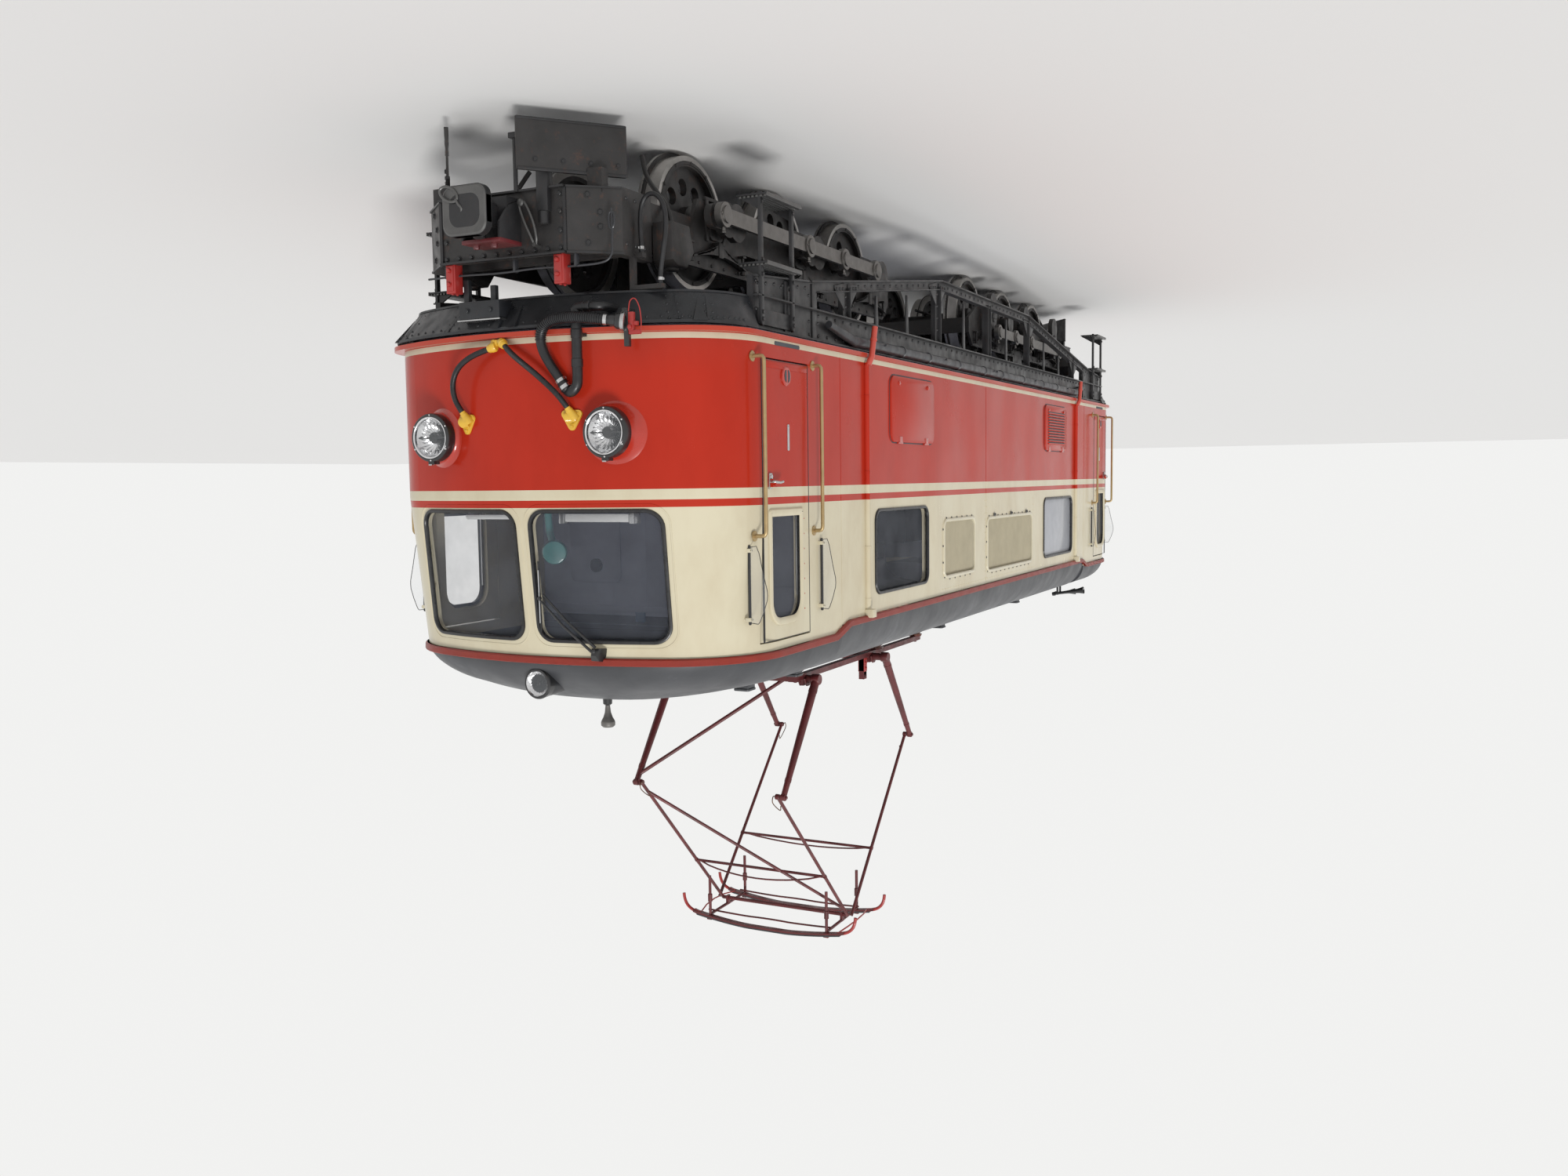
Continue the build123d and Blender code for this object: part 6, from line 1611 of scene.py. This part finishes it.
for u, w in ((-1.30, 0.09), (-0.02, 0.03), (0.10, 0.03), (1.30, 0.09)):
    corners = apron_point(u - w, 0.96), apron_point(u + w, 0.96), apron_point(u, 0.25)
    out = apron_out(u)
    ledge.rings([[p - out * 0.004 for p in corners],
                 [p + out * d for p, d in zip(corners, (0.022, 0.022, 0.010))]])

# Bracket with a bright top, on two posts below the aprons
x, y0, y1 = 5.085, 0.060, 0.340
posts.block((x - 0.030, y0, 0.985), (x + 0.085, y1, 1.085), 0.006)
posts.block((x + 0.020, y0 + 0.05, 0.900), (x + 0.050, y0 + 0.085, 0.990), 0.004)
posts.block((x + 0.020, y1 - 0.045, 0.860), (x + 0.050, y1 - 0.010, 0.990), 0.004)
posts.bolts([(x + 0.085, y0 + 0.06, 1.035), (x + 0.085, y1 - 0.06, 1.035)], AHEAD, 0.012, 0.010)
tops.block((x - 0.030, y0 - 0.008, 1.085), (x + 0.092, y1 + 0.008, 1.093), 0.003)
make_pieces([
    (ledge, "apron_ledges", "apron", "frame_black"), (heads, "apron_rivets", "apron", "frame_black"),
    (posts, "apron_brackets", "apron", "frame_black"), (tops, "apron_bracket_tops", "steel", "frame_black")])


# Bogies: each piece is built for the front one and turned round for the rear one
AXLE_X = (3.950, 2.750, 1.550)
AXLE_Z = 0.428
HEAD_X = 5.200
COUPLER_Z = 0.574
FRAME_Y = 0.622
CRANK = 0.150


def headstock_bolts(mesh):
    mesh.bolts([(HEAD_X, -0.385 + 0.0855 * k, 0.752) for k in range(10)], AHEAD, 0.012, 0.010)
    for y in (-0.385, 0.385):
        mesh.bolts([(HEAD_X, y, z) for z in (0.47, 0.56, 0.66)], AHEAD, 0.013, 0.011)
    for t in (-1, 1):
        out = Vector((0.230, t * 0.190, 0)).normalized()
        across = Vector((-out.y, out.x, 0))
        for z, shift in ((0.475, 0.035), (0.565, -0.03), (0.640, -0.03), (0.725, 0.035)):
            mesh.bolts([Vector((5.105, t * 0.535, z)) + across * shift], out, 0.014, 0.012)
        mesh.rivets([(x, t * 0.650, z) for x in (4.79, 4.88, 4.97) for z in (0.48, 0.72)], (0, t, 0), 0.012,
                    0.008)
        for x0, z, count, room, clear in ((1.20, 0.700, 24, 0.11, AXLE_X[1:2]),
                                          (1.42, 0.352, 18, 0.12, AXLE_X)):
            row = [x0 + 0.155 * k for k in range(count)]
            mesh.rivets([(x, t * 0.623, z) for x in row if all(abs(x - a) > room for a in clear)], (0, t, 0),
                        0.011, 0.007)


def headstock_flanges(mesh):
    for z in (0.434, 0.777):
        mesh.block((HEAD_X - 0.004, -0.418, z - 0.006), (HEAD_X + 0.024, 0.418, z + 0.006), 0.002)
    for t in (-1, 1):
        mesh.block((HEAD_X - 0.004, t * 0.405, 0.440), (HEAD_X + 0.010, t * 0.424, 0.772), 0.002)
        outline = [(HEAD_X + 0.006, t * 0.424), (5.016, t * 0.656), (5.010, t * 0.650), (HEAD_X, t * 0.418)]
        for z in (0.430, 0.771):
            mesh.slab(outline, (0, 0, z), AHEAD, ACROSS, 0.010)


def red_lamps(mesh):
    for y in (-0.365, 0.365):
        mesh.block((5.134, y - 0.033, 0.768), (5.201, y + 0.033, 0.938), 0.007)
        mesh.block((5.199, y - 0.022, 0.785), (5.206, y + 0.027, 0.925), 0.004)
        for z in (0.812, 0.888):
            mesh.lathe([(0, 0.013), (0.010, 0.013), (0.015, 0.010), (0.017, 0.003)], (5.205, y + 0.004, z),
                       AHEAD, 18)
        mesh.bolts([(5.146, y, 0.938), (5.186, y, 0.938)], UP, 0.006, 0.006)


def front_pipes(mesh):
    line = [(5.120, -0.652, 0.560), (5.120, -0.656, 0.640), (5.122, -0.654, 0.730), (5.126, -0.650, 0.800),
            (5.140, -0.600, 0.838), (5.160, -0.42, 0.846), (5.165, -0.2, 0.840), (5.165, 0.05, 0.846),
            (5.165, 0.3, 0.840), (5.165, 0.55, 0.842)]
    mesh.tube(smooth_line(line, 6), 0.0060, 10)
    loop = [(5.120, -0.652 + 0.018 * sin(t), 0.620 + 0.045 * cos(t)) for t in around(24)]
    mesh.tube(loop, 0.0055, 8, closed=True)
    for y in (-0.45, -0.05, 0.42):
        mesh.block((5.140, y - 0.008, 0.776), (5.172, y + 0.008, 0.850), 0.003)


def drawbar_top(mesh):
    mesh.block((HEAD_X - 0.01, -0.128, 0.700), (5.385, 0.128, 0.722), 0.004)
    mesh.bolts([(5.345, -0.060, 0.722), (5.345, 0.060, 0.722)], UP, 0.017, 0.024)


def drawbar_cheeks(mesh):
    cheek = [(HEAD_X, 0.480), (5.300, 0.520), (5.385, 0.620), (5.385, 0.702), (HEAD_X, 0.702)]
    for t in (-1, 1):
        mesh.plate(cheek, t * 0.122 + 0.007, 0.014, 0.003)
        mesh.plate([(5.30, 0.62), (5.47, 0.66), (5.47, 0.49), (5.30, 0.53)], t * 0.058 + 0.005, 0.010, 0.002)
    mesh.lathe([(-0.100, 0.021), (0.110, 0.021), (0.112, 0.034), (0.124, 0.034), (0.130, 0.020)],
               (5.390, 0, COUPLER_Z), UP, 24)


def buffer_ring(mesh):
    outer, middle, inner = (rounded(0, COUPLER_Z, *size, 10) for size in (
        (0.290, 0.262, 0.062), (0.266, 0.238, 0.052), (0.176, 0.148, 0.062)))
    levels = [(outer, 5.468), (outer, 5.508), (middle, 5.516), (inner, 5.508), (inner, 5.4705)]
    mesh.rings([[(x, y, z) for y, z in line] for line, x in levels], caps=False)


def buffer_recess(mesh):
    mesh.rings([[(x, y, z) for y, z in rounded(0, COUPLER_Z, 0.178, 0.150, 0.062, 10)]
                for x in (5.4702, 5.4722)])
    mesh.lathe([(0, 0.036), (0.014, 0.034), (0.018, 0.020)], (5.472, 0.004, 0.590), AHEAD, 24)


def hanging_links(mesh):
    hook = [(5.235, -0.250, 0.728), (5.250, -0.262, 0.690), (5.254, -0.245, 0.61), (5.252, -0.205, 0.525),
            (5.250, -0.178, 0.500), (5.250, -0.158, 0.525), (5.254, -0.190, 0.61), (5.250, -0.228, 0.690),
            (5.235, -0.240, 0.728)]
    mesh.tube(smooth_line(hook, 5), 0.0070, 10)
    mesh.lathe([(-0.014, 0.006), (-0.010, 0.017), (0.0, 0.021), (0.010, 0.017), (0.014, 0.006)],
               (5.256, -0.170, 0.505), (1, 0.2, 0), 18)
    mesh.rod((HEAD_X, -0.245, 0.735), (5.250, -0.245, 0.730), 0.011)
    long_way, short_way = Vector((0.012, 0.040, -0.026)), Vector((0.004, 0.018, 0.028))
    mesh.tube([Vector((5.524, 0.088, 0.487)) + cos(t) * long_way * 1.05 + sin(t) * short_way
               for t in around(32)], 0.0078, 10, closed=True)
    mesh.tube(smooth_line([(5.488, 0.008, 0.600), (5.500, 0.022, 0.585), (5.508, 0.020, 0.560),
                           (5.512, 0.036, 0.540), (5.516, 0.050, 0.514)], 5), 0.0075, 10)


def guard_edges(mesh):
    for t in (-1, 1):
        turn = Matrix.Rotation(-t * radians(40), 3, "Z")
        middle = Vector((5.130, t * 0.420, 0))
        for z0, z1 in ((0.086, 0.100), (0.344, 0.360)):
            mesh.block((middle.x - 0.296, middle.y - 0.012, z0), (middle.x + 0.296, middle.y + 0.012, z1),
                       0.003, turn)
        out = turn @ Vector((0, t, 0))
        for d in (-0.25, -0.10, 0.05, 0.20):
            mesh.bolts([middle + turn @ Vector((d, 0, 0)) + out * 0.007 + Vector((0, 0, 0.30))], out, 0.011,
                       0.009)


def axle_boxes(mesh):
    for t in (-1, 1):
        face = t * FRAME_Y
        for x in AXLE_X:
            outline = [(x - 0.080, 0.335), (x + 0.080, 0.335), (x + 0.080, 0.530), (x + 0.055, 0.548),
                       (x - 0.055, 0.548), (x - 0.080, 0.530)]
            mesh.plate(outline, face - t * 0.030, 0.048, 0.004, side=t)
            for bx in (x - 0.100, x + 0.100):
                mesh.block((bx - 0.016, face - t * 0.010, 0.318), (bx + 0.016, face + t * 0.014, 0.560),
                           0.003)
                mesh.bolts([(bx, face + t * 0.014, z) for z in (0.36, 0.43, 0.50)], (0, t, 0), 0.009, 0.007)
            mesh.block((x - 0.120, face - t * 0.010, 0.300), (x + 0.120, face + t * 0.014, 0.322), 0.003)


def springs(mesh):
    """Leaf springs over the axle boxes, with their hangers."""
    for t in (-1, 1):
        y0, y1 = t * 0.626, t * 0.668
        for x in AXLE_X:
            for k in range(6):
                half, z = 0.33 - 0.045 * k, 0.640 - 0.011 * k
                leaf = [(x + u * half, z + 0.045 * u * u) for u in evenly(-1, 1, 8)]
                mesh.rings([[(px, y0, pz), (px, y1, pz), (px, y1, pz - 0.0095), (px, y0, pz - 0.0095)]
                            for px, pz in leaf])
            mesh.block((x - 0.028, t * FRAME_Y, 0.560), (x + 0.028, t * 0.672, 0.652), 0.003)
            for hx in (x - 0.325, x + 0.325):
                mesh.rod((hx, t * 0.645, 0.600), (hx, t * 0.645, 0.705), 0.010, sides=12)
                mesh.lathe([(0, 0.018), (0.018, 0.018)], (hx, t * 0.645, 0.690), UP, 6)
                mesh.block((hx - 0.020, t * FRAME_Y, 0.590), (hx + 0.020, t * 0.662, 0.604), 0.003)


def brake_gear(mesh):
    """Brake shoes on hangers with a cross shaft for each axle, and the pull rod."""
    for x, way in ((3.950, -1), (2.750, 1), (1.550, 1)):
        bx = x + way * 0.418
        for y in (-0.405, 0.405):
            mesh.rings([[(x + way * r * cos(a), y + dy, AXLE_Z + r * sin(a))
                         for r, dy in ((0.409, -0.045), (0.409, 0.045), (0.450, 0.045), (0.450, -0.045))]
                        for a in evenly(-0.36, 0.36, 8)])
            hanger_x = bx + way * 0.030
            mesh.block((hanger_x - 0.012, y - 0.025, 0.400), (hanger_x + 0.012, y + 0.025, 0.700), 0.004)
        mesh.rod((bx + way * 0.045, -0.56, 0.425), (bx + way * 0.045, 0.56, 0.425), 0.020, sides=16)
    mesh.rod((1.30, 0.0, 0.340), (4.40, 0.0, 0.340), 0.014, sides=12)


def sand_boxes(mesh):
    for t in (-1, 1):
        outline = [(4.500, 0.560), (4.690, 0.560), (4.690, 0.770), (4.640, 0.800), (4.530, 0.800),
                   (4.450, 0.700)]
        mesh.plate(outline, t * 0.640, 0.130, 0.012, side=t)
        mesh.lathe([(0, 0.036), (0.012, 0.036), (0.018, 0.030), (0.020, 0.010)], (4.585, t * 0.700, 0.800),
                   UP, 20)
        mesh.tube(smooth_line([(4.560, t * 0.690, 0.560), (4.540, t * 0.640, 0.440),
                               (4.470, t * 0.480, 0.260), (4.400, t * 0.400, 0.110)], 5), 0.014, 12)


def lower_boxes(mesh):
    mesh.block((HEAD_X - 0.02, -0.330, 0.330), (5.235, -0.255, 0.560), 0.010)
    mesh.lathe([(0, 0.030), (0.06, 0.030), (0.066, 0.022)], (5.215, -0.292, 0.560), UP, 18)
    mesh.rod((5.218, -0.292, 0.200), (5.218, -0.292, 0.340), 0.010, sides=10)
    mesh.rod((5.225, -0.120, 0.150), (5.225, -0.120, 0.440), 0.012, sides=10)
    mesh.block((5.205, -0.150, 0.130), (5.245, -0.090, 0.160), 0.004)


for title, material, slot, build in (
        ("headstock_bolts", "frame", "frame_black", headstock_bolts),
        ("headstock_flanges", "frame", "frame_black", headstock_flanges),
        ("red_lamp_blocks", "signal_red", "gutter_red", red_lamps),
        ("front_pipes", "duct", "frame_black", front_pipes),
        ("drawbar_tops", "housing", "pantograph_red", drawbar_top),
        ("drawbar_cheeks", "frame", "frame_black", drawbar_cheeks),
        ("buffer_rings", "buffer", "frame_black", buffer_ring),
        ("buffer_recesses", "inside_dark", "frame_black", buffer_recess),
        ("hanging_links", "buffer", "lamp_chrome", hanging_links),
        ("guard_edges", "frame", "frame_black", guard_edges),
        ("axle_boxes", "running", "frame_black", axle_boxes),
        ("leaf_springs", "running", "frame_black", springs),
        ("brake_gear", "running", "frame_black", brake_gear),
        ("sand_boxes", "running", "frame_black", sand_boxes),
        ("lower_boxes", "frame", "frame_black", lower_boxes)):
    for end in ("front", "rear"):
        mesh = Mesh()
        build(mesh)
        if end == "rear":
            mesh.turned(keep=False)
        mesh.done(f"{title}_{end}", material, slot, f"bogie_{end}")


# Wheels: bright treads, retaining rings, hub nuts and crank bolts
def wheel_detail(end, number, x):
    body = f"wheelset_{end}_{number}"
    at = (x, 0, AXLE_Z)
    tread, rim = meshes(2)
    for t in (-1, 1):
        tyre = ((0.3440, 0.4285), (0.3640, 0.4283), (0.3700, 0.4200), (0.3760, 0.4045), (0.3860, 0.4012),
                (0.4655, 0.4006), (0.4662, 0.3700), (0.3435, 0.3700))
        tread.lathe([(t * y, r) for y, r in tyre], at, ACROSS, 72, closed=True)
        rim.lathe([(t * 0.4640, 0.372), (t * 0.4700, 0.370), (t * 0.4705, 0.352), (t * 0.4640, 0.350)], at,
                  ACROSS, 56, closed=True)
        rim.bolts([(x + 0.361 * cos(a), t * 0.470, AXLE_Z + 0.361 * sin(a)) for a in around(12)], (0, t, 0),
                  0.009, 0.006)
        rim.lathe([(t * 0.722, 0.050), (t * 0.732, 0.048), (t * 0.736, 0.030)], at, ACROSS, 28)
        rim.bolts([(x + 0.030 * cos(a + 0.5), t * 0.7335, AXLE_Z + 0.030 * sin(a + 0.5)) for a in around(3)],
                  (0, t, 0), 0.008, 0.006)
    for mesh, title, material in ((tread, "treads", "tyre_steel"), (rim, "rims", "running")):
        if end == "rear":
            mesh.turned(keep=False)
        mesh.done(f"{body}_{title}", material, "frame_black", body)


# Rods: raised bosses with oil cups round each pin
def rod_detail(end, side, sign):
    mesh = Mesh()
    turn = pi / 2 if sign > 0 else 0.0
    z = AXLE_Z + CRANK * sin(turn)
    face = sign * 0.788
    for x in [x + CRANK * cos(turn) for x in AXLE_X + (2.150,)]:
        mesh.lathe([(-sign * 0.004, 0.0745), (sign * 0.004, 0.0735), (sign * 0.005, 0.066)], (x, face, z),
                   ACROSS, 36)
        mesh.lathe([(sign * 0.004, 0.052), (sign * 0.016, 0.050), (sign * 0.018, 0.030)], (x, face, z),
                   ACROSS, 28)
        mesh.lathe([(0, 0.012), (0.022, 0.012), (0.026, 0.016), (0.034, 0.016), (0.038, 0.006)],
                   (x, sign * 0.768, z + 0.072), UP, 16)
        mesh.bolts([(x + q * 0.058, face + sign * 0.004, z) for q in (-1, 1)], (0, sign, 0), 0.008, 0.006)
    if end == "rear":
        mesh.turned(keep=False)
    mesh.done(f"rod_{end}_{side}_bosses", "rod_steel", "frame_black", f"rod_{end}_{side}")


for end, sides in (("front", ("left", "right")), ("rear", ("right", "left"))):
    for number, x in enumerate(AXLE_X, 1):
        wheel_detail(end, number, x)
    for side, sign in zip(sides, (-1, 1)):
        rod_detail(end, side, sign)


# Cab interior: gauges, controller, seat cushions, lamp, partition, ceiling light
dials, faces, knobs, cushions, teal, sign, rounds, lit, panels, tubes = meshes(10)
for y in (-0.42, -0.26, -0.10, 0.22, 0.38):
    at, tilt = Vector((4.700, y, 2.020)), Vector((-0.5, 0, 0.86))
    dials.lathe([(0, 0.062), (0.020, 0.062), (0.026, 0.054), (0.020, 0.050)], at, tilt, 28)
    faces.lathe([(0.0, 0.050), (0.004, 0.048)], at + tilt * 0.016, tilt, 24)
knobs.lathe([(0, 0.085), (0.06, 0.085), (0.075, 0.070), (0.080, 0.02)], (4.640, -0.42, 1.93), UP, 30)
knobs.tube([(4.640, -0.42, 2.00), (4.600, -0.42, 2.05), (4.540, -0.42, 2.06)], 0.012, 12)
knobs.lathe([(0, 0.012), (0.02, 0.022), (0.06, 0.022), (0.075, 0.010)], (4.540, -0.42, 2.045), UP, 18)
knobs.tube([(4.600, 0.30 + 0.13 * cos(t), 2.06 + 0.05 * sin(t)) for t in around(32)], 0.010, 10, closed=True)
cushions.block((4.090, -0.545, 1.66), (4.410, -0.200, 1.745), 0.030)
cushions.block((4.075, -0.545, 1.745), (4.130, -0.200, 2.150), 0.022)
at, tilt = (4.720, 0.060, 2.400), (0.9, -0.5, 0.1)
teal.lathe([(-0.060, 0.030), (-0.050, 0.066), (0.010, 0.074), (0.030, 0.066), (0.034, 0.050)], at, tilt, 32)
teal.lathe([(-0.120, 0.018), (-0.100, 0.040), (-0.055, 0.046)], at, tilt, 28)
teal.tube(smooth_line([(4.660, 0.100, 2.380), (4.670, 0.125, 2.300), (4.680, 0.130, 2.200),
                       (4.690, 0.130, 2.020)]), 0.022, 14)
sign.slab(rounded(0.335, 2.930, 0.075, 0.080, 0.008, 3), (3.358, 0, 0), ACROSS, UP, 0.014, 0.002)
rounds.lathe([(0, 0.048), (0.014, 0.048), (0.020, 0.040), (0.021, 0.006)], (3.368, 0.686, 2.578), AHEAD, 28)
lit.block((4.835, -0.560, 2.170), (4.880, -0.130, 2.218), 0.010)
lit.block((4.830, 0.250, 2.176), (4.860, 0.600, 2.205), 0.010)
knobs.block((4.815, -0.600, 2.160), (4.885, -0.566, 2.226), 0.004)
knobs.block((4.815, -0.128, 2.160), (4.885, -0.092, 2.226), 0.004)
panels.slab(rounded(0.0, 2.15, 0.560, 1.450, 0.04, 5), (3.356, 0, 0), ACROSS, UP, 0.012, 0.004)
panels.block((3.355, -1.10, 2.86), (3.375, 1.10, 2.90), 0.003)
for y in (-0.70, 0.70):
    panels.slab(rounded(y, 2.35, 0.420, 0.700, 0.05, 5), (3.356, 0, 0), ACROSS, UP, 0.010, 0.004)
panels.rod((3.375, -0.22, 2.10), (3.400, -0.22, 2.10), 0.014)
tubes.rod((3.70, 0.0, 3.225), (4.30, 0.0, 3.225), 0.022, sides=18)
tubes.block((3.68, -0.040, 3.240), (4.32, 0.040, 3.262), 0.006)
make_pieces([(mesh, title, material, "inside_grey") for mesh, title, material in (
    (dials, "gauge_cases", "black"), (faces, "gauge_faces", "white"), (knobs, "controls", "steel"),
    (cushions, "seat_cushions", "seat"), (teal, "cab_lamps", "teal"), (panels, "partition_panels", "inside"),
    (tubes, "ceiling_lights", "white"), (sign, "blank_signs", "sign_blue"),
    (rounds, "partition_vents", "inside_dark"), (lit, "sill_lights", "white"))])


# Stage: pale floor, soft light, and a pale background that metal and glass show too
def make_stage():
    size = 90.0
    mesh = bpy.data.meshes.new("floor_plane")
    mesh.from_pydata([(-size, -size, 0), (size, -size, 0), (size, size, 0), (-size, size, 0)], [],
                     [(0, 1, 2, 3)])
    shader = Shader("pale_floor")
    shader.set(Base_Color=(0.80, 0.79, 0.77), Roughness=0.85, Specular_IOR_Level=0.1)
    mesh.materials.append(shader.material)
    plane = bpy.data.objects.new("floor_plane", mesh)
    bpy.context.scene.collection.objects.link(plane)
    world = bpy.data.worlds.new("studio")
    bpy.context.scene.world = world
    world.use_nodes = True
    nodes, links = world.node_tree.nodes, world.node_tree.links
    nodes.clear()

    def background(colour, strength):
        node = nodes.new("ShaderNodeBackground")
        node.inputs["Color"].default_value = (*colour, 1.0)
        node.inputs["Strength"].default_value = strength
        return node.outputs[0]

    def larger(a, b):
        node = nodes.new("ShaderNodeMath")
        node.operation = "MAXIMUM"
        links.new(a, node.inputs[0])
        links.new(b, node.inputs[1])
        return node.outputs[0]

    path = nodes.new("ShaderNodeLightPath").outputs
    seen = larger(larger(path["Is Camera Ray"], path["Is Glossy Ray"]), path["Is Transmission Ray"])
    mix = nodes.new("ShaderNodeMixShader")
    links.new(seen, mix.inputs[0])
    links.new(background((0.97, 0.98, 1.0), 0.62), mix.inputs[1])
    links.new(background((0.93, 0.93, 0.92), 0.95), mix.inputs[2])
    links.new(mix.outputs[0], nodes.new("ShaderNodeOutputWorld").inputs["Surface"])
    sun = bpy.data.lights.new("soft_sun", "SUN")
    sun.energy = 1.9
    sun.angle = radians(14)
    lamp = bpy.data.objects.new("soft_sun", sun)
    lamp.matrix_world = Vector((0.62, -0.52, 0.60)).to_track_quat("Z", "Y").to_matrix().to_4x4()
    bpy.context.scene.collection.objects.link(lamp)


make_stage()
bpy.context.scene.view_settings.view_transform = "Standard"
